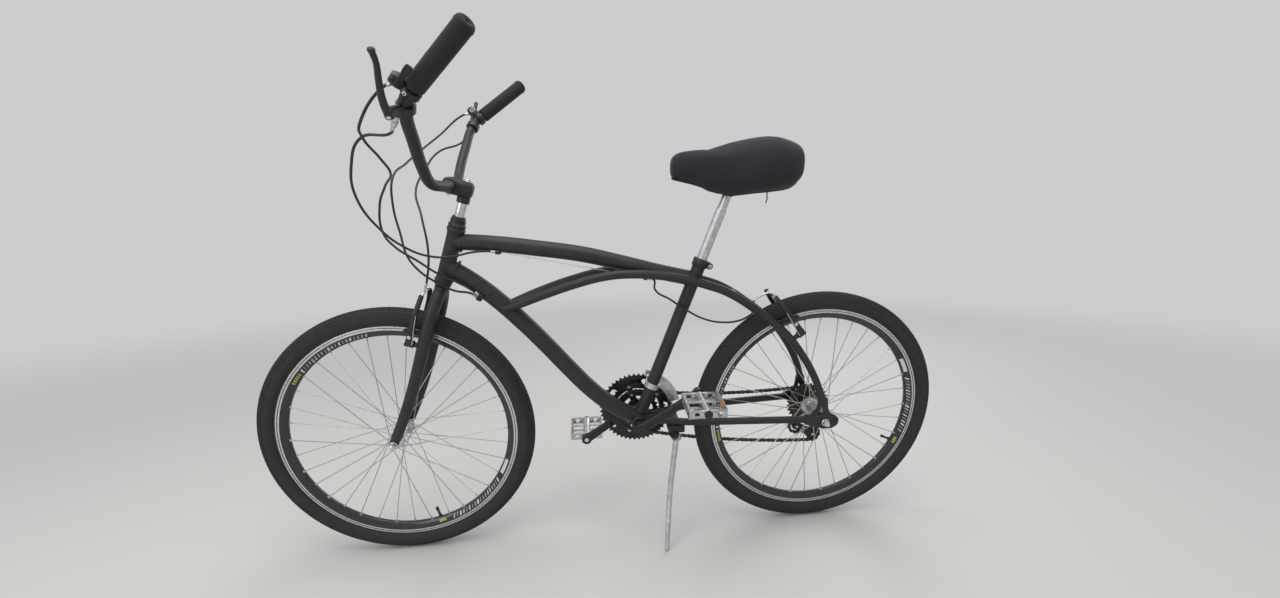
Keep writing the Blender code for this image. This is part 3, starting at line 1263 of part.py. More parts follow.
def make_brake_arm(wheel, pivot, post, arm_up, pad_up, side):
    """A long-arm rim brake: sleeve on its post, arm, and a pad beside the rim's brake track."""
    sleeve = rod(pivot, pivot + post * 20 * MM, 8.5 * MM)
    middle = pivot + post * 12 * MM
    rings = [slab_ring(middle + arm_up * (up * MM) + LEFT * side * (out * MM), post, LEFT,
                       depth * MM, thick * MM) for up, out, depth, thick in ARM_ROWS]
    arm = loft(rings)
    hold = middle + arm_up * pad_up
    outwards = Vector((hold.x - wheel.x, 0.0, hold.z - wheel.z)).normalized()
    along_rim = LEFT.cross(outwards)
    if along_rim.dot(post) < 0:
        along_rim = -along_rim
    spot = wheel + outwards * PAD_RADIUS + LEFT * side * (RIM_HALF_WIDTH + PAD_GAP + 5 * MM)
    pad = loft([slab_ring(spot + along_rim * a, LEFT, outwards, 5 * MM, h) for a, h in
                ((-32 * MM, 3.0 * MM), (-26 * MM, 4.0 * MM), (16 * MM, 4.0 * MM),
                 (24 * MM, 3.0 * MM))])
    stud = rod(spot, spot + LEFT * side * (abs(hold.y) - abs(spot.y) + 12 * MM), 4 * MM)
    return union(arm, sleeve, pad, stud)


def rear_arm_pivot(side):
    return stay_boss(side) + STAY_BACK * (BOSS_LENGTH + SEAT_GAP)


def front_arm_pivot(side):
    return blade_boss(side) + HEAD_AHEAD * (FORK_BLADE_TOP + BOSS_OUT + SEAT_GAP)


def make_rear_brake(side):
    """One rear arm; the left one has the bent pipe that leads its cable in from ahead."""
    arm = make_brake_arm(REAR_AXLE, rear_arm_pivot(side), STAY_BACK, STAY_UP, 35 * MM, side)
    if side > 0:
        top = arm_top(rear_arm_pivot(side), STAY_BACK, STAY_UP, side)
        route = [top - STAY_UP * 5 * MM, top + STAY_UP * 12 * MM + Vector((4 * MM, -3 * MM, 0)),
                 top + Vector((24 * MM, -8 * MM, 6 * MM)), REAR_NOODLE_END + Vector((0, 0, 14 * MM)),
                 REAR_NOODLE_END]
        arm = union(arm, tube(route, NOODLE_RADIUS))
    return arm


REAR_NOODLE_END = Vector((0.190, 0.020, 0.296))


def make_front_brake(side):
    """One front arm; the left one has the short pipe that leads its cable in from above."""
    arm = make_brake_arm(FRONT_AXLE, front_arm_pivot(side), HEAD_AHEAD, HEAD_UP, 17 * MM, side)
    if side > 0:
        top = arm_top(front_arm_pivot(side), HEAD_AHEAD, HEAD_UP, side)
        end, way = front_noodle_end()
        arm = union(arm, tube([top - HEAD_UP * 5 * MM, end - way * 12 * MM, end], NOODLE_RADIUS))
    return arm


def front_noodle_end():
    """Where the front brake's pipe takes its cable in, and the way it faces."""
    top = arm_top(front_arm_pivot(1.0), HEAD_AHEAD, HEAD_UP, 1.0)
    return top + HEAD_UP * 20 * MM - LEFT * 4 * MM - HEAD_AHEAD * 3 * MM, HEAD_UP


# Side stand

STAND_RADIUS = 7.3 * MM
STAND_FOOT_RADIUS = 5.5 * MM
STAND_EYE = 12.5 * MM
FACET_RISE = 0.2 * MM         # how far the tyres' facets fall short of the floor
STAND_EYE_HALF = 6.0 * MM


def stand_foot():
    """The foot's middle, high enough that it rests on the floor at this lean."""
    drop = (TYRE_RADIUS - TYRE_SECTION) * math.cos(LEAN) + TYRE_SECTION - FACET_RISE
    up = (STAND_FOOT_RADIUS - drop + STAND_FOOT_OUT * math.sin(LEAN)) / math.cos(LEAN)
    return Vector((STAND_FOOT_AHEAD, STAND_FOOT_OUT, up))


def make_stand_bracket():
    """The bracket under the chain stays, with the pivot's boss and pin."""
    block_low = (STAND_PLATE_AHEAD - 14 * MM, 2 * MM, STAND_PIVOT.z + 14 * MM)
    block_high = (STAND_PLATE_AHEAD + 14 * MM, 44 * MM, STAND_PLATE_UNDER - SEAT_GAP)
    body = block(block_low, block_high, 1.5 * MM)
    start = STAND_PIVOT + STAND_AXIS * (STAND_EYE_HALF + RUN_GAP)
    boss = rod(start, start + STAND_AXIS * 14 * MM, 9.5 * MM)
    pin = rod(STAND_PIVOT - STAND_AXIS * 9 * MM, start + STAND_AXIS * 10 * MM, 5 * MM, sides=12)
    stays = [tube(chain_stay_points(1.0)[:6], CHAIN_STAY_RADIUS + SEAT_GAP, steps=2)]
    return cut(union(body, boss, pin), *stays)


def make_stand_leg():
    foot = stand_foot()
    knee = STAND_KNEE
    upper = STAND_PIVOT.lerp(knee, 0.5)
    lower = knee.lerp(foot, 0.5)
    near_knee = STAND_PIVOT.lerp(knee, 0.88)
    past_knee = knee.lerp(foot, 0.14)
    last = STAND_FOOT_RADIUS / STAND_RADIUS
    leg = tube([STAND_PIVOT, upper, near_knee, past_knee, lower, foot], STAND_RADIUS,
               sizes=[1.0, 1.0, 1.0, 0.97, 0.9, last])
    eye = rod(STAND_PIVOT - STAND_AXIS * STAND_EYE_HALF, STAND_PIVOT + STAND_AXIS * STAND_EYE_HALF,
              STAND_EYE)
    ball = bmesh.new()
    bmesh.ops.create_uvsphere(ball, u_segments=12, v_segments=8, radius=STAND_FOOT_RADIUS,
                              matrix=Matrix.Translation(foot))
    slot = rod(STAND_PIVOT - STAND_AXIS * 40 * MM, STAND_PIVOT + STAND_AXIS * 40 * MM,
               5 * MM + RUN_GAP, sides=12)
    above = rod(STAND_PIVOT + STAND_AXIS * STAND_EYE_HALF, STAND_PIVOT + STAND_AXIS * 40 * MM,
                30 * MM, sides=16)
    return cut(union(leg, eye, from_bmesh(ball)), slot, above)


# Cables: the free part of each route is hand-placed, in (ahead, out, up)

HOUSING_RADIUS = 2.5 * MM
WIRE_RADIUS = 1.0 * MM

REAR_BRAKE_ROUTE = [
    (0.960, 0.232, 0.690), (1.000, 0.195, 0.643), (1.020, 0.145, 0.580), (1.006, 0.100, 0.520),
    (0.975, 0.064, 0.475), (0.935, 0.040, 0.450), (0.890, 0.031, 0.446), (0.845, 0.022, 0.453)]
FRONT_BRAKE_ROUTE = [
    (0.948, -0.190, 0.674), (0.966, -0.110, 0.630), (0.975, -0.055, 0.585), (0.952, 0.0, 0.530),
    (0.940, 0.024, 0.452)]
FRONT_SHIFT_ROUTE = [
    (0.950, 0.255, 0.712), (0.966, 0.215, 0.690), (0.960, 0.165, 0.655), (0.962, 0.120, 0.628),
    (0.995, 0.070, 0.600), (1.020, 0.045, 0.560), (1.021, 0.044, 0.502), (1.002, 0.045, 0.474),
    (0.958, 0.043, 0.440), (0.920, 0.037, 0.409), (0.885, 0.028, 0.387)]
REAR_SHIFT_ROUTE = [
    (0.955, -0.235, 0.715), (0.982, -0.150, 0.675), (0.994, -0.070, 0.645), (1.004, -0.004, 0.615),
    (1.006, 0.010, 0.560), (0.996, 0.016, 0.494), (0.984, 0.029, 0.450), (0.962, 0.036, 0.419),
    (0.928, 0.035, 0.390), (0.893, 0.026, 0.367)]
REAR_HOUSING_ROUTE = [
    (0.432, 0.017, 0.351), (0.396, 0.024, 0.327), (0.355, 0.0235, 0.298), (0.310, 0.015, 0.272),
    (0.265, 0.008, 0.259), (0.220, 0.010, 0.262), (0.197, 0.017, 0.276)]


def make_cable(leave, route, enter):
    """A housing from one (point, way) to another, through the points of its free route."""
    start, out_way = leave
    end, in_way = enter
    points = [start + out_way * SEAT_GAP, start + out_way * 16 * MM]
    points += [Vector(point) for point in route]
    points += [end + in_way * 12 * MM, end + in_way * SEAT_GAP]
    return tube(points, HOUSING_RADIUS, sides=5)


def make_rear_wire():
    """The rear brake's bare wire along the top tube, from stop to stop."""
    front, front_way = front_stop()
    rear, rear_way = rear_stop()
    return rod(front - front_way * (STOP_LENGTH + SEAT_GAP),
               rear - rear_way * (STOP_LENGTH + SEAT_GAP), WIRE_RADIUS, sides=6)


# Assembly

def main():
    for obj in list(bpy.data.objects):
        bpy.data.objects.remove(obj, do_unlink=True)
    scene = bpy.context.scene
    parts = bpy.data.collections.new("bicycle")
    scene.collection.children.link(parts)

    materials = {}
    for name, (red, green, blue, roughness, metallic) in FINISHES.items():
        material = bpy.data.materials.new(name)
        material.use_nodes = True
        shader = material.node_tree.nodes["Principled BSDF"]
        shader.inputs["Base Color"].default_value = (red, green, blue, 1.0)
        shader.inputs["Roughness"].default_value = roughness
        shader.inputs["Metallic"].default_value = metallic
        material.diffuse_color = (red, green, blue, 1.0)
        materials[name] = material

    stance = bpy.data.objects.new("stance", None)
    parts.objects.link(stance)

    def add(name, obj, finish, pivot=Vector((0.0, 0.0, 0.0))):
        """Name a finished shape, put its origin on its pivot and hang it on the stance."""
        obj.name = name
        obj.data.name = name
        obj.data.materials.clear()
        obj.data.materials.append(materials[finish])
        obj.data.transform(Matrix.Translation(-pivot))
        obj.location = pivot
        obj.data.shade_smooth()
        obj.data.set_sharp_from_angle(angle=math.radians(35))
        scene.collection.objects.unlink(obj)
        parts.objects.link(obj)
        obj.parent = stance

    paint = "black_paint"
    add("head_tube", make_head_tube(), paint)
    add("top_tube", make_top_tube(), paint)
    add("down_tube", make_down_tube(), paint)
    add("seat_tube", make_seat_tube(), paint)
    add("bottom_bracket_shell", make_bottom_bracket(), paint)
    for name, side in SIDES:
        add("side_tube_" + name, make_side_tube(side), paint)
        add("chain_stay_" + name, make_chain_stay(side), paint)
    add("seat_stay_bridge", make_bridge(), paint)
    add("stand_plate", make_stand_plate(), paint)
    add("seat_clamp", make_seat_clamp(), paint)
    add("seat_post", make_seat_post(), "alloy")
    add("saddle_rails", make_saddle_rails(), "black_steel")
    add("saddle_cover", make_saddle(), "fabric")
    add("rear_axle", make_axle(REAR_AXLE, REAR_SPACING, DROPOUT_THICKNESS,
                               ((REAR_SPACING - SEAT_GAP, 0.0455),
                                (-REAR_SPACING + SEAT_GAP, -0.0648))), "steel")
    add("chain", make_chain(), "black_steel")
    add("rear_derailleur", make_rear_derailleur(), "black_plastic")
    add("derailleur_cage", make_derailleur_cage(), "black_steel")
    add("front_derailleur", make_front_derailleur(), "alloy")
    for name, side in SIDES:
        add("rear_brake_" + name, make_rear_brake(side), "black_plastic")
    add("stand_bracket", make_stand_bracket(), "black_steel")
    add("rear_brake_cable", make_cable(lever_exit(1.0), REAR_BRAKE_ROUTE, front_stop()),
        "black_plastic")
    add("rear_brake_wire", make_rear_wire(), "steel")
    add("rear_brake_housing", make_cable(rear_stop(), REAR_HOUSING_ROUTE,
                                         (REAR_NOODLE_END, -UP)), "black_plastic")
    add("front_shift_cable", make_cable(pod_exit(1.0), FRONT_SHIFT_ROUTE, shift_stop(0)),
        "black_plastic")
    add("rear_shift_cable", make_cable(pod_exit(-1.0), REAR_SHIFT_ROUTE, shift_stop(1)),
        "black_plastic")

    add("steerer", make_steerer(), paint, HEAD_LOWER)
    for name, side in SIDES:
        add("fork_blade_" + name, make_fork_blade(side), paint, HEAD_LOWER)
    add("headset_nut", make_headset(), "black_steel", HEAD_LOWER)
    add("stem", make_stem(), paint, HEAD_LOWER)
    add("handlebar", make_handlebar(), paint, HEAD_LOWER)
    for name, side in SIDES:
        add("grip_" + name, make_grip(side), "foam", HEAD_LOWER)
        add("shifter_" + name, make_shifter(side), "black_plastic", HEAD_LOWER)
        add("brake_lever_" + name, make_brake_lever(side), "black_plastic", HEAD_LOWER)
        add("front_brake_" + name, make_front_brake(side), "black_plastic", HEAD_LOWER)
    add("front_axle", make_axle(FRONT_AXLE, FRONT_SPACING, DROPOUT_THICKNESS,
                                ((FRONT_SPACING - SEAT_GAP, 0.0405),
                                 (-FRONT_SPACING + SEAT_GAP, -0.0405))), "steel", HEAD_LOWER)
    add("front_brake_cable", make_cable(lever_exit(-1.0), FRONT_BRAKE_ROUTE,
                                        front_noodle_end()), "black_plastic", HEAD_LOWER)

    for name, centre, hub, flanges in (("front", FRONT_AXLE, FRONT_HUB, FRONT_FLANGES),
                                       ("rear", REAR_AXLE, REAR_HUB, REAR_FLANGES)):
        add(name + "_tyre", make_tyre(centre), "tyre_rubber", centre)
        add(name + "_rim", make_rim(centre), "rim_alloy", centre)
        add(name + "_hub", make_hub(centre, hub, flanges), "alloy", centre)

    add("freewheel", make_freewheel(), "black_steel")
    add("chainrings", make_chainrings(), "black_steel", BB)
    for name, side in SIDES:
        add("crank_" + name, make_crank(side), "black_steel", BB)
        add("pedal_" + name, make_pedal(side), "alloy", pedal_centre(side))
    add("stand_leg", make_stand_leg(), "alloy", STAND_PIVOT)

    stance.rotation_euler = (-LEAN, 0.0, 0.0)
    set_on_floor(stance, parts)


def set_on_floor(stance, parts):
    """Move the leaning bicycle so that the middle of its box's bottom is the origin."""
    bpy.context.view_layer.update()
    corners = [obj.matrix_world @ vertex.co
               for obj in parts.objects if obj.type == "MESH" for vertex in obj.data.vertices]
    low = Vector([min(corner[i] for corner in corners) for i in range(3)])
    high = Vector([max(corner[i] for corner in corners) for i in range(3)])
    stance.location -= Vector(((low.x + high.x) / 2, (low.y + high.y) / 2, low.z))
    bpy.context.view_layer.update()


main()
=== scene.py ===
# %% [markdown]
# # A city bicycle on its side stand
# This lesson dresses a bicycle whose construction is already fixed. The construction file holds
# every piece at its real size, with the joints that let it steer, roll and pedal. Here each piece
# gets its fine shape and its finish: matt black paint on the tubes, worn brake tracks, laced
# spokes, a toothed drive, a padded cover on the saddle and the loose loops of cable ahead of the
# head tube. Nothing is moved, so whatever is made here has to lie on what it belongs to.

# %% Load the fixed frame
import json
import math

import bmesh
import bpy
from mathutils import Matrix, Vector
from mathutils.bvhtree import BVHTree


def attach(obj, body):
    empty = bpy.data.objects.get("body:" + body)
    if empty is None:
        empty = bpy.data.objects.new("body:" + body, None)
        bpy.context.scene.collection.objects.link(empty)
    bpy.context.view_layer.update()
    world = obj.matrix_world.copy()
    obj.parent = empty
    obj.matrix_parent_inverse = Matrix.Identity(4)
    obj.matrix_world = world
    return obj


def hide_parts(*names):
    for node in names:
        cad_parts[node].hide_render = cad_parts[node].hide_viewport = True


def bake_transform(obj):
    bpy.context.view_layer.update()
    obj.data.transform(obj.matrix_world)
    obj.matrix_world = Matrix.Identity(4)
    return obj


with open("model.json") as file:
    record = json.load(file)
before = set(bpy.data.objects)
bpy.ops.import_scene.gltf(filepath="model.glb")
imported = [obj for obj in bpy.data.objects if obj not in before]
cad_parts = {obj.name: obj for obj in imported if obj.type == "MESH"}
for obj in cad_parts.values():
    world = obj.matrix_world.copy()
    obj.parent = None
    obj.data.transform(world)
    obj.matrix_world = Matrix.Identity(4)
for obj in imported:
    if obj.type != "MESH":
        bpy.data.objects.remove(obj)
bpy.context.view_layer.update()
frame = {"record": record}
MM = 0.001

# %% [markdown]
# The bicycle leans on its stand, so its own directions aren't the room's. Everything below is
# modelled upright about the rear axle, with +X ahead, +Y to the rider's left and +Z up. One
# matrix then takes a finished mesh to where the parked bicycle stands. Its turn and its place
# are read from the rear wheel's joint, so they can't drift from the construction.

# %% From the bicycle's own directions to the room
joints = {joint["name"]: joint for joint in frame["record"]["behaviour"]["joints"]}
rear_joint = joints["rear_wheel_spin"]
LEAN = math.atan2(-rear_joint["axis"][2], rear_joint["axis"][1])
STANCE = Matrix.Translation(rear_joint["pos_m"]) @ Matrix.Rotation(-LEAN, 4, "X")
UPRIGHT = STANCE.inverted()


def own(point):
    """A point of the room in the bicycle's own directions."""
    return UPRIGHT @ Vector(point)


print("leans %.1f degrees" % math.degrees(LEAN))

# %% [markdown]
# The camera comes first. The photograph was taken with a wide lens from the bicycle's left, at
# about chest height, looking down a little. The place below was worked out from the two
# wheels, which show as ellipses, and it is kept in the bicycle's own directions, so that the
# bicycle fills the picture as it does in the photograph.

# %% The camera
PHOTO_WIDTH = 1280
FOCAL_PIXELS = 497.8
SENSOR = 36.0
CAMERA_PLACE = Vector((0.5888, 1.1576, 0.6505))
CAMERA_TURNS = (0.27331, -0.00686, -0.10723)       # about X, Y and Z

camera_data = bpy.data.cameras.new("camera")
camera_data.sensor_width = SENSOR
camera_data.lens = SENSOR * FOCAL_PIXELS / PHOTO_WIDTH
camera_data.clip_start = 0.01
camera = bpy.data.objects.new("camera", camera_data)
bpy.context.scene.collection.objects.link(camera)
turn = (Matrix.Rotation(CAMERA_TURNS[2], 3, "Z") @ Matrix.Rotation(CAMERA_TURNS[1], 3, "Y")
        @ Matrix.Rotation(CAMERA_TURNS[0], 3, "X"))
right, above, behind = turn @ Vector((-1, 0, 0)), turn @ Vector((0, 0, 1)), turn @ Vector((0, 1, 0))
facing = Matrix((right, above, behind)).transposed().to_4x4()
camera.matrix_world = STANCE @ Matrix.Translation(CAMERA_PLACE) @ facing
bpy.context.scene.camera = camera
print("lens %.1f mm" % camera_data.lens)

# %% [markdown]
# A plain pale floor and soft light from three large lamps stand in for the tiled room. The floor
# fades into the room's own light, so no far edge shows. Bare metal shows what is round it, so the
# lamps are broad: they lay long soft streaks on the spokes, the seat post and the stand, while the
# matt black tubes keep their form.

# %% Floor, world and lamps
def node_material(name):
    """A new material with its nodes and its shader."""
    material = bpy.data.materials.new(name)
    material.use_nodes = True
    nodes = material.node_tree.nodes
    return material, nodes, material.node_tree.links, nodes["Principled BSDF"]


def set_inputs(node, values):
    """Sets a node's inputs by their labels, and gives the node back."""
    for label, value in values.items():
        node.inputs[label].default_value = value
    return node


floor_material, nodes, links, shader = node_material("pale floor")
set_inputs(shader, {"Base Color": (0.60, 0.585, 0.56, 1.0), "Roughness": 0.55})
ROOM_COLOUR, ROOM_STRENGTH = (0.80, 0.81, 0.83, 1.0), 0.75
FADE_FROM, FADE_TO = 1.4, 6.0      # metres from the bicycle, so that the floor has no far edge
FLOOR_SIZE = 60.0
place = nodes.new("ShaderNodeTexCoord")
reach = nodes.new("ShaderNodeVectorMath")
reach.operation = "LENGTH"
links.new(place.outputs["Object"], reach.inputs[0])
fade = set_inputs(nodes.new("ShaderNodeMapRange"), {"From Min": FADE_FROM, "From Max": FADE_TO})
fade.interpolation_type = "SMOOTHSTEP"
links.new(reach.outputs["Value"], fade.inputs["Value"])
room_light = {"Color": ROOM_COLOUR, "Strength": ROOM_STRENGTH}
haze = set_inputs(nodes.new("ShaderNodeEmission"), room_light)
blend = nodes.new("ShaderNodeMixShader")
links.new(fade.outputs["Result"], blend.inputs["Fac"])
links.new(shader.outputs["BSDF"], blend.inputs[1])
links.new(haze.outputs["Emission"], blend.inputs[2])
links.new(blend.outputs["Shader"], nodes["Material Output"].inputs["Surface"])
bpy.ops.mesh.primitive_plane_add(size=FLOOR_SIZE)
floor = bpy.context.object
floor.name = "floor"
floor.data.materials.append(floor_material)

world = bpy.data.worlds.new("room")
bpy.context.scene.world = world
world.use_nodes = True
set_inputs(world.node_tree.nodes["Background"], room_light)


def lamp(name, place, aim, size, power):
    """A square area lamp that looks at a point."""
    data = bpy.data.lights.new(name, "AREA")
    data.size = size
    data.energy = power
    obj = bpy.data.objects.new(name, data)
    obj.location = place
    obj.rotation_euler = (Vector(aim) - Vector(place)).to_track_quat("-Z", "Y").to_euler()
    bpy.context.scene.collection.objects.link(obj)


lamp("ceiling", (0.2, 0.6, 3.0), (0.0, 0.0, 0.4), 2.4, 46.0)
lamp("left wall", (2.4, 2.2, 1.7), (0.0, 0.0, 0.5), 1.6, 22.0)
lamp("behind", (-1.8, -2.6, 2.0), (0.0, 0.0, 0.5), 1.8, 20.0)
bpy.context.scene.view_settings.view_transform = "Standard"

# %% [markdown]
# ## Finishes
# A finish is more than a colour. Sprayed matt paint has a fine grain and catches dust, rubber is
# mottled, bare metal is a little clouded. All of them are built from noise on the
# object's own coordinates, so a pattern stays put when a wheel turns. One function makes the
# common part: two shades mixed by a noise, a roughness that varies, and a fine bump.

# %% A mottled finish
finishes = {}


def mottled(name, dark, light, rough, metal=0.0, scale=60.0, grain=900.0, bump=0.05, coat=0.0,
            sheen=0.0):
    """A material with two shades, uneven roughness and a fine grain."""
    material, nodes, links, shader = node_material(name)
    place = nodes.new("ShaderNodeTexCoord")
    broad = set_inputs(nodes.new("ShaderNodeTexNoise"), {"Scale": scale, "Detail": 5.0})
    fine = set_inputs(nodes.new("ShaderNodeTexNoise"), {"Scale": grain, "Detail": 2.0})
    for noise in (broad, fine):
        links.new(place.outputs["Object"], noise.inputs["Vector"])
    shades = nodes.new("ShaderNodeValToRGB")
    shades.color_ramp.elements[0].position, shades.color_ramp.elements[1].position = 0.32, 0.68
    shades.color_ramp.elements[0].color = (*dark, 1.0)
    shades.color_ramp.elements[1].color = (*light, 1.0)
    links.new(broad.outputs["Fac"], shades.inputs["Fac"])
    links.new(shades.outputs["Color"], shader.inputs["Base Color"])
    uneven = set_inputs(nodes.new("ShaderNodeMapRange"), {"To Min": rough[0], "To Max": rough[1]})
    links.new(broad.outputs["Fac"], uneven.inputs["Value"])
    links.new(uneven.outputs["Result"], shader.inputs["Roughness"])
    relief = set_inputs(nodes.new("ShaderNodeBump"), {"Strength": bump, "Distance": 0.3 * MM})
    links.new(fine.outputs["Fac"], relief.inputs["Height"])
    links.new(relief.outputs["Normal"], shader.inputs["Normal"])
    set_inputs(shader, {"Metallic": metal, "Coat Weight": coat, "Sheen Weight": sheen})
    finishes[name] = material
    return material

# %% [markdown]
# The colours are those of the photograph under plain light. The frame's black is a sprayed matt
# coat, a little blue, and greyer than the deep black of the plastic levers. The foam of the
# grips is the darkest and the least shiny. The tyres' rubber is a shade warmer than the paint.

# %% The finishes of this bicycle
PAINT = mottled("matt black paint", (0.0105, 0.0105, 0.0122), (0.0175, 0.0175, 0.0198), (0.42, 0.60),
                scale=35.0, grain=1400.0, bump=0.10)
PLASTIC = mottled("black plastic", (0.0085, 0.0085, 0.0095), (0.0155, 0.0155, 0.017), (0.32, 0.48),
                  grain=1800.0, bump=0.06)
CABLE = mottled("cable cover", (0.010, 0.010, 0.011), (0.017, 0.017, 0.018), (0.28, 0.42))
# This steel's own dark also serves as painted shade in the chainring bolts' key sockets.
DARK_STEEL_AND_SOCKET_SHADE = mottled("blackened steel and painted socket shade", (0.018, 0.018, 0.020), (0.042, 0.040, 0.040), (0.30, 0.52),
                     metal=0.55, scale=140.0)
CHAIN_STEEL = mottled("oily chain steel", (0.022, 0.018, 0.015), (0.085, 0.072, 0.060),
                      (0.32, 0.60), metal=0.7, scale=420.0, bump=0.12)
RUBBER = mottled("tyre rubber", (0.0125, 0.0120, 0.0118), (0.0235, 0.0225, 0.0215), (0.62, 0.86),
                 scale=45.0, grain=700.0, bump=0.22)
FOAM = mottled("grip foam", (0.0105, 0.0105, 0.0115), (0.0165, 0.0165, 0.018), (0.78, 0.95),
               scale=260.0, grain=1600.0, bump=0.45, sheen=0.05)
ALLOY = mottled("cast alloy", (0.46, 0.46, 0.47), (0.66, 0.66, 0.68), (0.26, 0.46), metal=1.0,
                scale=90.0, grain=500.0, bump=0.10)
CHROME = mottled("bright steel", (0.55, 0.55, 0.56), (0.72, 0.72, 0.73), (0.14, 0.26), metal=1.0,
                 scale=120.0, grain=700.0, bump=0.04)
SPOKE_STEEL = mottled("spoke steel", (0.36, 0.355, 0.345), (0.58, 0.575, 0.565), (0.26, 0.40),
                      metal=1.0, scale=150.0)
TRACK = mottled("worn brake track", (0.52, 0.52, 0.53), (0.74, 0.74, 0.75), (0.24, 0.42),
                metal=1.0, scale=260.0)
# The rim's own black also serves as painted shade in the bolts' key sockets.
RIM_BLACK_AND_SOCKET_SHADE = mottled("black anodised rim and painted socket shade", (0.010, 0.010, 0.0115), (0.019, 0.019, 0.021),
                    (0.20, 0.32), scale=80.0, coat=0.3)
DARK_RED = mottled("dark red plastic", (0.035, 0.007, 0.007), (0.070, 0.013, 0.011), (0.35, 0.50))
AMBER = mottled("amber reflector", (0.30, 0.11, 0.018), (0.52, 0.22, 0.045), (0.16, 0.30),
                scale=500.0, coat=0.6)
GREY_MARK = mottled("grey rim marks", (0.30, 0.30, 0.31), (0.46, 0.46, 0.47), (0.35, 0.5))
WHITE_MARK = mottled("white label", (0.58, 0.58, 0.58), (0.72, 0.72, 0.72), (0.45, 0.6))
YELLOW_MARK = mottled("yellow rim marks", (0.42, 0.38, 0.045), (0.58, 0.52, 0.09), (0.35, 0.5))
print(len(finishes), "finishes")

# %% [markdown]
# ## Tools for making pieces
# A piece here is one mesh that grows solid by solid. Tubes are bent along curves, turned parts
# are a profile spun round an axis, and plates are cut from outlines with an eased edge. Each
# solid carries its own finish, so a crank can have a bright bolt and still be one piece. The
# last step turns the mesh with the stance, marks the sharp edges and hands it to its body.

# %% A piece that grows solid by solid
LEFT, UP = Vector((0.0, 1.0, 0.0)), Vector((0.0, 0.0, 1.0))
SIDES = (("left", 1.0), ("right", -1.0))


def mm(rows):
    """Rows given in millimetres, in metres."""
    return [tuple(value * MM for value in row) for row in rows]


def row_between(rows, place):
    """The row of a table at a place, eased between the two rows beside it."""
    for first, last in zip(rows, rows[1:]):
        if place <= last[0]:
            break
    t = min(max((place - first[0]) / (last[0] - first[0]), 0.0), 1.0)
    return [a + (b - a) * t for a, b in zip(first, last)]


def baked(obj):
    """An object's mesh with its modifiers, as plain data."""
    bpy.context.view_layer.update()
    return bpy.data.meshes.new_from_object(
        obj.evaluated_get(bpy.context.evaluated_depsgraph_get()))


def into_scene(name, data):
    obj = bpy.data.objects.new(name, data)
    bpy.context.scene.collection.objects.link(obj)
    return obj


def point_matrix(origin, axis, ahead=None):
    """A matrix that takes +Z to an axis, and +X as near as it can to a second direction."""
    up = Vector(axis).normalized()
    fore = Vector(ahead) if ahead is not None else up.orthogonal()
    fore = (fore - up * fore.dot(up)).normalized()
    side = up.cross(fore)
    return Matrix.Translation(Vector(origin)) @ Matrix((fore, side, up)).transposed().to_4x4()


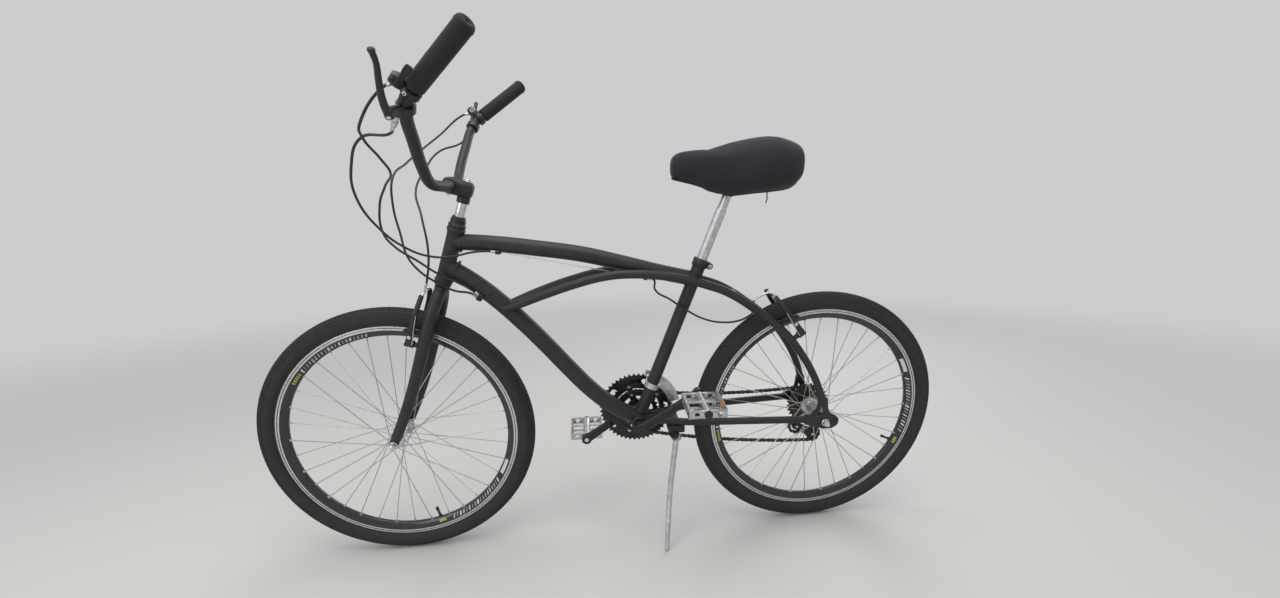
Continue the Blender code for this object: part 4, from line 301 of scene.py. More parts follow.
class Piece:
    """A mesh made of several solids, each with a finish of its own."""

    def __init__(self):
        self.bm = bmesh.new()
        self.finishes = []

    def slot(self, finish):
        if finish not in self.finishes:
            self.finishes.append(finish)
        return self.finishes.index(finish)

    def take_in(self, solid, finish, matrix=None, smooth=True, weld=0.0):
        """Takes in one solid, made as a mesh of its own, and points its faces outwards."""
        if weld:
            bmesh.ops.remove_doubles(solid, verts=solid.verts, dist=weld)
        if matrix is not None:
            bmesh.ops.transform(solid, matrix=matrix, verts=solid.verts)
        bmesh.ops.recalc_face_normals(solid, faces=solid.faces)
        index = self.slot(finish)
        for face in solid.faces:
            face.material_index = index
            face.smooth = smooth
        mesh = bpy.data.meshes.new("solid")
        solid.to_mesh(mesh)
        solid.free()
        self.bm.from_mesh(mesh)
        bpy.data.meshes.remove(mesh)

    def add_mesh(self, mesh, finish, matrix=None, smooth=True, weld=0.0):
        """Takes in a plain mesh made elsewhere, which is used up."""
        solid = bmesh.new()
        solid.from_mesh(mesh)
        bpy.data.meshes.remove(mesh)
        self.take_in(solid, finish, matrix, smooth, weld)

    def skin(self, rings, finish, round_trip=False, smooth=True, weld=0.0):
        """A skin through rings of points, closed at its ends or joined into a loop."""
        solid = bmesh.new()
        rows = [[solid.verts.new(point) for point in ring] for ring in rings]
        pairs = list(zip(rows, rows[1:]))
        if round_trip:
            pairs.append((rows[-1], rows[0]))
        for row, following in pairs:
            for i in range(len(row)):
                j = (i + 1) % len(row)
                solid.faces.new((row[i], row[j], following[j], following[i]))
        if not round_trip:
            solid.faces.new(rows[0][::-1])
            solid.faces.new(rows[-1])
        self.take_in(solid, finish, smooth=smooth, weld=weld)

    def moulded(self, origin, ways, across, up, rows, finish, ease=0.35, steps=3):
        """A skin through rounded rectangles.

        A row is the millimetres along each of the ways, then the half width and half height.
        """
        rings = []
        for *offsets, width, height in rows:
            centre = Vector(origin)
            for way, offset in zip(ways, offsets):
                centre = centre + way * offset * MM
            rings.append(slab(centre, across, up, width * MM, height * MM, ease, steps))
        self.skin(rings, finish)

    def turned(self, profile, origin, axis, finish, segments=48, smooth=True, start=0.0):
        """A closed (radius, along) profile spun round an axis."""
        matrix = point_matrix(origin, axis)
        rings = []
        for i in range(segments):
            turn = start + 2 * math.pi * i / segments
            rings.append([matrix @ Vector((radius * math.cos(turn), radius * math.sin(turn), along))
                          for radius, along in profile])
        self.skin(rings, finish, round_trip=True, smooth=smooth, weld=2e-6)

    def rod(self, start, end, radius, finish, end_radius=None, segments=24, ease=0.0006):
        """A round bar between two points with eased edges."""
        start, end = Vector(start), Vector(end)
        length = (end - start).length
        last = radius if end_radius is None else end_radius
        ease = min(ease, length * 0.3, radius * 0.4, last * 0.4)
        profile = [(0.0, 0.0), (radius - ease, 0.0), (radius - ease * 0.3, ease * 0.3),
                   (radius, ease), (last, length - ease), (last - ease * 0.3, length - ease * 0.3),
                   (last - ease, length), (0.0, length)]
        self.turned(profile, start, end - start, finish, segments)

    def tube(self, points, radius, finish, sides=24, steps=8, sizes=None):
        """A round tube on a smooth curve; sizes scales the radius at each point."""
        curve = bpy.data.curves.new("tube", "CURVE")
        curve.dimensions = "3D"
        curve.bevel_depth = radius
        curve.bevel_resolution = (sides - 4) // 2
        curve.use_fill_caps = True
        curve.resolution_u = steps
        spline = curve.splines.new("BEZIER")
        spline.bezier_points.add(len(points) - 1)
        for index, (knot, point) in enumerate(zip(spline.bezier_points, points)):
            knot.co = point
            knot.handle_left_type = knot.handle_right_type = "AUTO"
            knot.radius = sizes[index] if sizes else 1.0
        self.add_mesh(mesh_of(curve), finish, weld=1e-6)

    def plate(self, outlines, thickness, matrix, finish, edge=0.0004, smooth=True):
        """A flat plate from closed outlines, the inner ones holes, with an eased edge."""
        curve = bpy.data.curves.new("plate", "CURVE")
        curve.dimensions = "2D"
        curve.fill_mode = "BOTH"
        curve.extrude = thickness / 2 - edge
        curve.bevel_depth = edge
        curve.offset = -edge
        curve.bevel_resolution = 1
        for outline in outlines:
            spline = curve.splines.new("POLY")
            spline.points.add(len(outline) - 1)
            for point, (x, y) in zip(spline.points, outline):
                point.co = (x, y, 0.0, 1.0)
            spline.use_cyclic_u = True
        self.add_mesh(mesh_of(curve), finish, matrix, smooth, weld=1e-6)

    def block(self, low, high, finish, edge=0.001, matrix=None, steps=2):
        """A box with rounded edges."""
        low, high = Vector(low), Vector(high)
        size = high - low
        box = bmesh.new()
        bmesh.ops.create_cube(box, size=1.0)
        bmesh.ops.transform(box, matrix=Matrix.Translation((low + high) / 2)
                            @ Matrix.Diagonal((size.x, size.y, size.z, 1.0)), verts=box.verts)
        if edge:
            bmesh.ops.bevel(box, geom=list(box.edges), offset=edge, segments=steps,
                            affect="EDGES", profile=0.5)
        self.take_in(box, finish, matrix)

    def nut(self, origin, axis, across, height, finish, bore=0.0):
        """A hexagon nut or bolt head."""
        corner = across / math.sqrt(3)
        ease = height * 0.12
        profile = [(bore, 0.0), (corner, 0.0), (corner, height - ease), (corner * 0.90, height),
                   (bore, height)]
        return self.turned(profile, origin, axis, finish, segments=6, smooth=False)

    def bolt(self, origin, axis, radius, height, finish, socket_shade=None):
        """A round bolt head with a hollow for the key; its socket's dark is painted shade."""
        ease, key = height * 0.3, radius * 0.48
        deep = height * 0.35
        profile = [(0.0, 0.0), (radius, 0.0), (radius, height - ease),
                   (radius * 0.93, height - ease * 0.3), (radius * 0.82, height), (key, height),
                   (key, deep), (0.0, deep)]
        self.turned(profile, origin, axis, finish, segments=18)
        # Painted shade: a thin dark hexagon on the hollow's floor stands in for the socket's shade.
        if socket_shade is not None:
            middle = Vector(origin) + Vector(axis).normalized() * (deep + 0.0001)
            self.turned([(0.0, -0.0001), (key * 0.96, -0.0001), (key * 0.96, 0.0), (0.0, 0.0)], middle,
                        axis, socket_shade, segments=6)

    def as_mesh(self, name="unit"):
        mesh = bpy.data.meshes.new(name)
        self.bm.to_mesh(mesh)
        self.bm.free()
        return mesh

    def hand_over(self, name, body, slot, *nodes, angle=38.0):
        """Turns the piece with the stance and gives it to its body, in place of CAD nodes.

        A piece that will bend between two bodies takes no body here.
        """
        mesh = self.as_mesh(name)
        mesh.transform(STANCE)
        for finish in self.finishes:
            mesh.materials.append(finish)
        mesh.set_sharp_from_angle(angle=math.radians(angle))
        obj = into_scene(name, mesh)
        if body:
            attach(obj, body)
        if nodes:
            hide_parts(*nodes)
        print("%s: %d faces on %s" % (name, len(mesh.polygons), body or "two bodies"))
        return obj


def mesh_of(data):
    """The plain mesh that a curve makes; the curve is removed."""
    obj = into_scene("temporary", data)
    mesh = baked(obj)
    bpy.data.objects.remove(obj)
    bpy.data.curves.remove(data)
    return mesh


def circle(radius, count, centre=(0.0, 0.0)):
    turns = [2 * math.pi * i / count for i in range(count)]
    return [(centre[0] + radius * math.cos(t), centre[1] + radius * math.sin(t)) for t in turns]


def rounded(outline, ease, steps=3):
    """An outline whose corners are cut back and rounded."""
    result = []
    for i, corner in enumerate(outline):
        corner = Vector(corner)
        before, after = Vector(outline[i - 1]), Vector(outline[(i + 1) % len(outline)])
        reach = min(ease, (before - corner).length * 0.45, (after - corner).length * 0.45)
        start = corner + (before - corner).normalized() * reach
        end = corner + (after - corner).normalized() * reach
        for k in range(steps + 1):
            t = k / steps
            point = start * (1 - t) ** 2 + corner * 2 * t * (1 - t) + end * t * t
            result.append((point.x, point.y))
    return result


def upright_plate(x, y, z):
    """A matrix for a plate across Y, whose outline is given as (ahead, up)."""
    return Matrix.Translation((x, y, z)) @ Matrix.Rotation(math.pi / 2, 4, "X")


def slab(centre, across, up, half_width, half_height, ease=0.35, steps=3):
    """A rounded rectangle of points, with half sizes along two directions."""
    reach = ease * min(half_width, half_height)
    corners = [(half_width, half_height), (-half_width, half_height), (-half_width, -half_height),
               (half_width, -half_height)]
    return [Vector(centre) + Vector(across) * a + Vector(up) * b
            for a, b in rounded(corners, reach * 2, steps)]

# %% [markdown]
# Spokes, teeth, links and tread blocks repeat. Two small node trees set them out: one turns a
# piece round an axle a number of times, the other puts a copy on each marked point, turned as
# the mark says. Both end by making the copies real and giving them a finish, and the result is
# taken as a plain mesh. A loop could copy the meshes as well, but a tree keeps the count and
# the finish as named inputs that can be changed and seen at once.

# %% Two trees that set out copies
def new_tree(name, inputs):
    """An empty tree with named inputs, and its input and output nodes."""
    tree = bpy.data.node_groups.new(name, "GeometryNodeTree")
    for label, kind in inputs:
        tree.interface.new_socket(label, in_out="INPUT", socket_type=kind)
    tree.interface.new_socket("Result", in_out="OUTPUT", socket_type="NodeSocketGeometry")
    return tree, tree.nodes.new("NodeGroupInput"), tree.nodes.new("NodeGroupOutput")


def finish_copies(tree, start, end, copies):
    """Ends a tree: the copies become real and take their finish."""
    real = tree.nodes.new("GeometryNodeRealizeInstances")
    coat = tree.nodes.new("GeometryNodeSetMaterial")
    tree.links.new(copies, real.inputs["Geometry"])
    tree.links.new(real.outputs["Geometry"], coat.inputs["Geometry"])
    tree.links.new(start.outputs["Finish"], coat.inputs["Material"])
    tree.links.new(coat.outputs["Geometry"], end.inputs["Result"])


def tree_round_axle():
    tree, start, end = new_tree("repeat round an axle", (
        ("Piece", "NodeSocketGeometry"), ("Count", "NodeSocketInt"),
        ("Finish", "NodeSocketMaterial")))
    line = tree.nodes.new("GeometryNodeMeshLine")
    line.inputs["Offset"].default_value = (0.0, 0.0, 0.0)
    index = tree.nodes.new("GeometryNodeInputIndex")
    share = tree.nodes.new("ShaderNodeMath")
    share.operation = "DIVIDE"
    turn = tree.nodes.new("ShaderNodeMath")
    turn.operation = "MULTIPLY"
    turn.inputs[1].default_value = 2 * math.pi
    about = tree.nodes.new("ShaderNodeCombineXYZ")
    copies = tree.nodes.new("GeometryNodeInstanceOnPoints")
    for out, into in ((start.outputs["Count"], line.inputs["Count"]),
                      (index.outputs[0], share.inputs[0]),
                      (start.outputs["Count"], share.inputs[1]),
                      (share.outputs[0], turn.inputs[0]), (turn.outputs[0], about.inputs["Y"]),
                      (line.outputs["Mesh"], copies.inputs["Points"]),
                      (start.outputs["Piece"], copies.inputs["Instance"]),
                      (about.outputs["Vector"], copies.inputs["Rotation"])):
        tree.links.new(out, into)
    finish_copies(tree, start, end, copies.outputs["Instances"])
    return tree


def tree_on_marks():
    tree, start, end = new_tree("set out on marks", (
        ("Marks", "NodeSocketGeometry"), ("Piece", "NodeSocketObject"),
        ("Finish", "NodeSocketMaterial")))
    piece = tree.nodes.new("GeometryNodeObjectInfo")
    turns = tree.nodes.new("GeometryNodeInputNamedAttribute")
    turns.data_type = "FLOAT_VECTOR"
    turns.inputs["Name"].default_value = "turn"
    copies = tree.nodes.new("GeometryNodeInstanceOnPoints")
    for out, into in ((start.outputs["Piece"], piece.inputs["Object"]),
                      (start.outputs["Marks"], copies.inputs["Points"]),
                      (piece.outputs["Geometry"], copies.inputs["Instance"]),
                      (turns.outputs["Attribute"], copies.inputs["Rotation"])):
        tree.links.new(out, into)
    finish_copies(tree, start, end, copies.outputs["Instances"])
    return tree


def run_tree(tree, mesh, values):
    """The plain mesh that a tree makes of a mesh, with its named inputs set."""
    obj = into_scene("temporary", mesh)
    modifier = obj.modifiers.new("set out", "NODES")
    modifier.node_group = tree
    for item in tree.interface.items_tree:
        if item.item_type == "SOCKET" and item.in_out == "INPUT" and item.name in values:
            modifier[item.identifier] = values[item.name]
    result = baked(obj)
    bpy.data.objects.remove(obj)
    return result


ROUND_AXLE, ON_MARKS = tree_round_axle(), tree_on_marks()


def round_axle(unit, count, finish):
    """A unit piece repeated round the Y axis."""
    return run_tree(ROUND_AXLE, unit.as_mesh(), {"Count": count, "Finish": finish})


def on_marks(unit, marks, finish):
    """A unit piece at each mark; a mark is a matrix without scale."""
    holder = into_scene("unit", unit.as_mesh())
    points = bpy.data.meshes.new("marks")
    points.from_pydata([mark.to_translation() for mark in marks], [], [])
    turns = points.attributes.new("turn", "FLOAT_VECTOR", "POINT")
    for item, mark in zip(turns.data, marks):
        item.vector = mark.to_euler("XYZ")[:]
    result = run_tree(ON_MARKS, points, {"Piece": holder, "Finish": finish})
    bpy.data.objects.remove(holder)
    return result


print("trees:", ROUND_AXLE.name, "and", ON_MARKS.name)

# %% [markdown]
# ## The frame's reference points
# The axles, the bottom bracket, the steering and the stand's pivot come from the joints. The
# angles of the seat tube and the head tube are the frame builder's two main choices, and most
# other places are measured along those two lines.

# %% Reference points
REAR = Vector((0.0, 0.0, 0.0))
FRONT = own(joints["front_wheel_spin"]["pos_m"])
BB = own(joints["crank_spin"]["pos_m"])
HEAD_LOWER = own(joints["steering_turn"]["pos_m"])
HEAD_UP = (UPRIGHT.to_3x3() @ Vector(joints["steering_turn"]["axis"])).normalized()
HEAD_AHEAD = Vector((HEAD_UP.z, 0.0, -HEAD_UP.x))
SEAT_ANGLE = math.radians(69.4)
SEAT_UP = Vector((-math.cos(SEAT_ANGLE), 0.0, math.sin(SEAT_ANGLE)))
RIM_RADIUS, TYRE_RADIUS, TYRE_SECTION = 285.5 * MM, 326.5 * MM, 23.5 * MM
SEAT_TUBE_LENGTH, SEAT_POST_TOP = 439.0 * MM, 612.0 * MM
STEM_RISE, STEM_REACH = 210.6 * MM, 30.0 * MM
TOP_TUBE_RADIUS, DOWN_TUBE_RADIUS, SEAT_TUBE_RADIUS = 18.5 * MM, 20.5 * MM, 15.9 * MM
SIDE_TUBE_RADIUS, CHAIN_STAY_RADIUS = 10.5 * MM, 9.0 * MM
REAR_SPACING, FRONT_SPACING, END_THICKNESS = 67.5 * MM, 50.0 * MM, 6.0 * MM
GAP = 0.3 * MM


def on_head(along, ahead=0.0, out=0.0):
    """A point in the steering's own directions, from the head tube's lower end."""
    return HEAD_LOWER + HEAD_UP * along + HEAD_AHEAD * ahead + LEFT * out


def on_seat(along):
    return BB + SEAT_UP * along


def bowed(start, end, table):
    """Points from start to end; rows are (share of the way, out, rise above the line in mm)."""
    points = []
    for share, out, rise in table:
        point = start.lerp(end, share)
        points.append(Vector((point.x, out * MM, point.z + rise * MM)))
    return points


def mirrored(points, side):
    return [Vector((p.x, p.y * side, p.z)) for p in points]


print("wheelbase %.1f mm" % (FRONT.x / MM))

# %% [markdown]
# ## The frame
# Two slim tubes run from low on the down tube past the seat tube to the rear wheel, so this
# frame has no straight line in it. The bows are given as shares of the way between two joints,
# with a rise in millimetres, the way a bending jig is set. A tube that meets another is mitred
# and brazed, and a small bead of filler shows round it. The beads are turned rings here.

# %% Tubes of the frame
TOP_TUBE = bowed(on_head(90 * MM), on_seat(SEAT_TUBE_LENGTH - 48 * MM), (
    (0.0, 0, 0.0), (0.16, 0, 9.5), (0.34, 0, 15.0), (0.52, 0, 17.5), (0.70, 0, 11.0),
    (0.85, 0, 4.0), (1.0, 0, 0.0)))
DOWN_TUBE = bowed(on_head(30.5 * MM), BB, (
    (0.0, 0, 0.0), (0.14, 0, 14.0), (0.25, 0, 17.0), (0.36, 0, 12.0), (0.48, 0, 1.0),
    (0.60, 0, -14.0), (0.71, 0, -25.0), (0.82, 0, -25.0), (0.92, 0, -14.0), (0.98, 0, -3.0)))
BESIDE = 29.3
SIDE_TUBE_LOW = DOWN_TUBE[0].lerp(BB, 0.285) + UP * 15.5 * MM
STAY_TOP = Vector((12.0 * MM, 0.0, 66.0 * MM))
SIDE_TUBE = bowed(SIDE_TUBE_LOW, TOP_TUBE[-1], (
    (0.0, 12, 0.0), (0.08, 22, 9.5), (0.20, 28, 23.0), (0.36, BESIDE, 37.5), (0.52, BESIDE, 45.5),
    (0.64, BESIDE, 42.5), (0.80, BESIDE, 28.5), (0.95, BESIDE, 8.0)))
SEAT_STAY = bowed(TOP_TUBE[-1], STAY_TOP, (
    (0.08, BESIDE, 15.0), (0.20, 32, 38.0), (0.32, 36, 54.0), (0.43, 40, 63.5), (0.54, 43.5, 71.0),
    (0.68, 48, 76.0), (0.83, 53, 61.0), (0.94, 60, 32.0), (1.0, 65.5, 0.0)))
CHAIN_STAY = bowed(BB + Vector((-17 * MM, 0, 2 * MM)), Vector((52 * MM, 0, 7.5 * MM)), (
    (0.0, 18, 0.0), (0.11, 24, 0.0), (0.175, 32, 0.0), (0.24, 39.5, 0.0), (0.335, 44.5, 0.0),
    (0.51, 50, 0.0), (0.80, 59.5, 0.0), (1.0, 66, 0.0)))
REAR_END = [(0.056, 0.018), (0.060, 0.007), (0.054, -0.003), (0.020, -0.014), (0.000, -0.019),
            (-0.020, -0.018), (-0.033, -0.010), (-0.037, 0.003), (-0.031, 0.015), (-0.016, 0.022),
            (-0.006, 0.032), (0.000, 0.070), (0.022, 0.070), (0.025, 0.038), (0.034, 0.024)]
REAR_END_WINDOW = [(0.014, 0.046), (0.017, 0.030), (0.028, 0.016), (0.012, 0.018), (0.006, 0.030)]
EYELET = (-0.026, 0.004)
HANGER_DROP = 26.0 * MM
frame_tubes = Piece()


def bead(piece, centre, axis, radius, width=2.2 * MM):
    """The filler's bead where a tube of this radius ends."""
    profile = [(radius - 1.0 * MM, -width), (radius + 0.1 * MM, -width),
               (radius + 0.8 * MM, -width * 0.4), (radius + 0.9 * MM, width * 0.3),
               (radius + 0.2 * MM, width), (radius - 1.0 * MM, width)]
    piece.turned(profile, centre, axis, PAINT, segments=40)


frame_tubes.tube(TOP_TUBE, TOP_TUBE_RADIUS, PAINT, sides=36, steps=8)
frame_tubes.tube(DOWN_TUBE + [BB], DOWN_TUBE_RADIUS, PAINT, sides=36, steps=6)
SEAT_TUBE_WALL = [(14.2 * MM, 330 * MM), (14.2 * MM, SEAT_TUBE_LENGTH), (15.3 * MM, SEAT_TUBE_LENGTH),
                  (SEAT_TUBE_RADIUS, SEAT_TUBE_LENGTH - 0.6 * MM), (SEAT_TUBE_RADIUS, 0.0), (0.0, 0.0),
                  (0.0, 330 * MM)]
frame_tubes.turned(SEAT_TUBE_WALL, BB, SEAT_UP, PAINT, segments=40)
SHELL = [(12.0, 37.5), (18.2, 37.5), (19.0, 36.8), (19.0, 34.2), (20.0, 34.0), (20.5, 33.5),
         (20.5, -33.5), (20.0, -34.0), (19.0, -34.2), (19.0, -36.8), (18.2, -37.5), (12.0, -37.5)]
frame_tubes.turned(mm(SHELL), BB, LEFT, PAINT, segments=48)
HEAD = [(15.0, -9.0), (18.6, -9.0), (20.2, -6.5), (20.5, -5.0), (20.5, -1.2), (18.8, -0.2),
        (18.6, 3.0), (17.6, 6.0), (17.5, 8.0), (17.5, 107.0), (17.6, 109.0), (18.6, 112.0),
        (18.8, 115.2), (20.5, 116.2), (20.5, 120.0), (20.2, 121.5), (18.6, 124.0), (15.0, 124.0)]
frame_tubes.turned(mm(HEAD), HEAD_LOWER, HEAD_UP, PAINT, segments=48)
for along in (9 * MM, 106 * MM):
    bead(frame_tubes, on_head(along), HEAD_UP, 17.4 * MM, 1.0 * MM)
bead(frame_tubes, TOP_TUBE[0] - HEAD_AHEAD * 17 * MM, TOP_TUBE[1] - TOP_TUBE[0], TOP_TUBE_RADIUS)
bead(frame_tubes, DOWN_TUBE[0] - HEAD_AHEAD * 19 * MM, DOWN_TUBE[1] - DOWN_TUBE[0], DOWN_TUBE_RADIUS)
bead(frame_tubes, on_seat(22 * MM), SEAT_UP, SEAT_TUBE_RADIUS)
for _, side in SIDES:
    route = mirrored(SIDE_TUBE + SEAT_STAY, side)
    turn_point = len(SIDE_TUBE)
    taper = [1.0 if i <= turn_point else 1.0 - 0.143 * (i - turn_point) / (len(route) - 1 - turn_point)
             for i in range(len(route))]
    frame_tubes.tube(route, SIDE_TUBE_RADIUS, PAINT, sides=26, steps=6, sizes=taper)
    frame_tubes.tube(mirrored(CHAIN_STAY, side), CHAIN_STAY_RADIUS, PAINT, sides=26, steps=8)
    bead(frame_tubes, mirrored(CHAIN_STAY, side)[0] + Vector((-6 * MM, side * 2 * MM, 0)),
         mirrored(CHAIN_STAY, side)[1] - mirrored(CHAIN_STAY, side)[0], CHAIN_STAY_RADIUS)
    outline = list(REAR_END)
    if side < 0:
        outline[3:5] = [(0.012, -0.016), (0.010, -HANGER_DROP - 6 * MM), (-0.010, -HANGER_DROP - 6 * MM)]
    middle = side * (REAR_SPACING + END_THICKNESS / 2)
    frame_tubes.plate([rounded(outline, 5 * MM), circle(5.4 * MM, 24),
                       rounded(REAR_END_WINDOW, 4 * MM), circle(2.6 * MM, 20, EYELET)],
                      END_THICKNESS, upright_plate(0, middle, 0), PAINT, edge=0.7 * MM)
    eyelet = Vector((EYELET[0], side * (REAR_SPACING + END_THICKNESS - 1 * MM), EYELET[1]))
    frame_tubes.turned(mm([(2.6, 0), (6.5, 0), (6.5, 2), (6, 2.5), (2.9, 2.5), (2.6, 2.2)]), eyelet,
                       LEFT * side, PAINT, 28)
low_bridge = SEAT_STAY[2]
frame_tubes.rod(low_bridge, mirrored([low_bridge], -1)[0], 8.0 * MM, PAINT, segments=28)
frame_tubes.block((0.370, -0.038, -0.0015), (0.402, 0.038, 0.0045), PAINT, edge=0.0012)
print("frame tubes so far: %d faces" % len(frame_tubes.bm.faces))

# %% [markdown]
# Cable stops are short barrels brazed under the top tube and beside the down tube. A housing
# ends in each of them, and from there a bare wire runs on. The stay's brake posts are turned
# barrels too. All of these are small, but the eye follows the cables to them.

# %% Places of the cable stops and brake posts
STOP_RADIUS, STOP_LENGTH = 5.6 * MM, 13.0 * MM
FRONT_STOP_WAY = (TOP_TUBE[1] - TOP_TUBE[2]).normalized()
FRONT_STOP = TOP_TUBE[1].lerp(TOP_TUBE[2], 0.05) + Vector((0.0, 15.8 * MM, -15.4 * MM))
REAR_STOP_WAY = (TOP_TUBE[5] - TOP_TUBE[4]).normalized()
REAR_STOP = TOP_TUBE[4].lerp(TOP_TUBE[5], 0.62) + Vector((0.0, 9.4 * MM, -21.2 * MM))
SHIFT_STOPS = ((21.5 * MM, 10.0 * MM), (7.0 * MM, 22.8 * MM))      # out, below the tube's middle


def shift_stop(number):
    """A shift cable's stop: the middle of its front face, and the way it faces."""
    out, below = SHIFT_STOPS[number]
    along = (DOWN_TUBE[2] - DOWN_TUBE[1]).normalized()
    under = along.cross(LEFT)
    return DOWN_TUBE[1].lerp(DOWN_TUBE[2], 0.3) + LEFT * out + under * below, -along


def cable_stop(place, way):
    """A stepped barrel with a mouth for the housing's end cap."""
    length = STOP_LENGTH
    profile = [(1.6 * MM, 0.0), (STOP_RADIUS - 0.9 * MM, 0.0), (STOP_RADIUS, 0.8 * MM),
               (STOP_RADIUS, length * 0.62), (STOP_RADIUS - 1.4 * MM, length * 0.72),
               (STOP_RADIUS - 1.8 * MM, length - 0.5 * MM), (STOP_RADIUS - 2.4 * MM, length),
               (1.6 * MM, length)]
    frame_tubes.turned(profile, place, -way, PAINT, segments=24)


STAY_ROUTE = SIDE_TUBE + SEAT_STAY
STAY_POST_INDEX = len(SIDE_TUBE) + 5
STAY_BACK, STAY_UP = Vector((-0.8, 0.0, 0.6)), Vector((0.6, 0.0, 0.8))


def stay_boss(side):
    """Where the brake's post leaves the stay."""
    points = mirrored(STAY_ROUTE, side)
    return points[STAY_POST_INDEX].lerp(points[STAY_POST_INDEX + 1], 0.35)

# %% The stops and posts, brazed on
for place, way in ((FRONT_STOP, FRONT_STOP_WAY), (REAR_STOP, REAR_STOP_WAY), shift_stop(0),
                   shift_stop(1)):
    cable_stop(place, way)
for _, side in SIDES:
    boss = stay_boss(side)
    frame_tubes.rod(boss, boss + STAY_BACK * 20 * MM, 6.0 * MM, PAINT, segments=24)
frame_tubes.hand_over("painted_frame", "frame", "black_paint", "head_tube", "top_tube", "down_tube",
                      "seat_tube", "bottom_bracket_shell", "side_tube_left", "side_tube_right",
                      "chain_stay_left", "chain_stay_right", "seat_stay_bridge", "stand_plate")

# %% [markdown]
# ## Wheels
# A wheel is four things: a tyre, a rim, a hub and the spokes between them. The tyre is turned
# from its section, with a bead line and two fine ribs on the sidewall. Its tread is one wedge
# of curved blocks set out round the axle. The rim is deep and glossy, with two worn bright
# bands where the brake rubs. The marks on it are plain slanted bars, seated in the surface.

# %% Tyres with their tread
TREAD_WEDGES = 84
TREAD_SECTION = TYRE_SECTION - 1.2 * MM
SECTION_STEPS = 26
SHOULDER_LINE = 1.30                                        # turn from the crown, in radians
SIDEWALL_RIBS = ((1.62, 0.5 * MM), (2.05, 0.4 * MM))        # turn and height


def tyre_point(turn, section, around=0.0):
    """A point on the tyre: turn across the section from the crown, around the axle."""
    radius = TYRE_RADIUS - TYRE_SECTION + section * math.cos(turn)
    return Vector((radius * math.sin(around), section * math.sin(turn), radius * math.cos(around)))


def tread_wedge():
    """Curved blocks from the crown to the shoulders, for one wedge of the tyre."""
    unit = Piece()
    wedge = 2 * math.pi / TREAD_WEDGES
    foot, crest = TREAD_SECTION - 0.6 * MM, TYRE_SECTION - 0.15 * MM
    for side in (1.0, -1.0):
        for row, (start, stop, bend, share) in enumerate((
                (0.05, 0.44, 0.42, 0.00), (0.05, 0.44, 0.42, 0.50), (0.50, 0.80, -0.30, 0.12),
                (0.50, 0.80, -0.30, 0.62), (0.86, 1.22, 0.45, 0.00), (0.86, 1.22, 0.45, 0.50))):
            rings = []
            for k in range(5):
                t = k / 4
                turn = (start + (stop - start) * t) * side
                middle = wedge * (share + bend * t * (2 - t) + (0.25 if side < 0 else 0.0))
                half = wedge * (0.16 - 0.05 * t)
                rings.append([tyre_point(turn, section, middle + half * way) for way, section in
                              ((-1.0, foot), (-0.86, crest), (0.86, crest), (1.0, foot))])
            unit.skin(rings, RUBBER)
    return unit


def make_tyre(name, body, centre, node):
    piece = Piece()
    profile = []
    bead_turn = math.acos((RIM_RADIUS + 0.2 * MM - (TYRE_RADIUS - TYRE_SECTION)) / TREAD_SECTION)
    for i in range(SECTION_STEPS + 1):
        turn = -bead_turn + 2 * bead_turn * i / SECTION_STEPS
        section = TREAD_SECTION
        for rib_turn, rib in SIDEWALL_RIBS:
            if abs(abs(turn) - rib_turn) < 0.08:
                section += rib
        profile.append((TYRE_RADIUS - TYRE_SECTION + section * math.cos(turn),
                        section * math.sin(turn)))
    piece.turned(profile, centre, LEFT, RUBBER, segments=144)
    for side in (1.0, -1.0):
        middle = TYRE_RADIUS - TYRE_SECTION + TREAD_SECTION * math.cos(SHOULDER_LINE)
        out = side * TREAD_SECTION * math.sin(SHOULDER_LINE)
        ring = [(middle + 0.9 * MM * math.cos(t), out + 0.9 * MM * math.sin(t))
                for t in (0.0, 1.57, 3.14, 4.71)]
        piece.turned(ring, centre, LEFT, RUBBER, segments=144)
    piece.add_mesh(round_axle(tread_wedge(), TREAD_WEDGES, RUBBER), RUBBER,
                   Matrix.Translation(centre))
    piece.hand_over(name, body, "tyre_rubber", node, angle=45)


make_tyre("front_tyre_treaded", "front_wheel", FRONT, "front_tyre")
make_tyre("rear_tyre_treaded", "rear_wheel", REAR, "rear_tyre")

# %% Rims with their bands, marks, nipples and valve
SPOKES = 18
VALVE_TURN = 255.0
RIM_PROFILE = [(286.2, 12.7), (284.9, 12.7), (284.6, 12.5), (272.9, 12.5), (272.5, 12.3),
               (270.0, 11.3), (264.0, 8.2), (259.2, 4.8), (258.0, 3.0), (257.8, 0.0)]


def rim_point(radius, around, side, proud=0.0):
    """A point on the rim's slope between its brake track and its nose."""
    for (high, out_high), (low, out_low) in zip(RIM_PROFILE, RIM_PROFILE[1:]):
        if radius / MM >= low:
            break
    share = (radius / MM - low) / (high - low)
    out = (out_low + (out_high - out_low) * share) * MM + proud
    return Vector((radius * math.cos(around), side * out, radius * math.sin(around)))


def slanted_mark(piece, place, around, width, low, high, lean, side, finish):
    """A thin slanted bar, seated in the rim's slope."""
    rings = []
    for k in range(5):
        t = k / 4
        radius = (low + (high - low) * t) * MM
        middle = math.radians(around) + lean * (t - 0.5)
        rings.append([place @ rim_point(radius, middle + width * way / 2, side, proud * MM)
                      for way, proud in ((1, 0.25), (-1, 0.25), (-1, -0.6), (1, -0.6))])
    piece.skin(rings, finish, smooth=False)


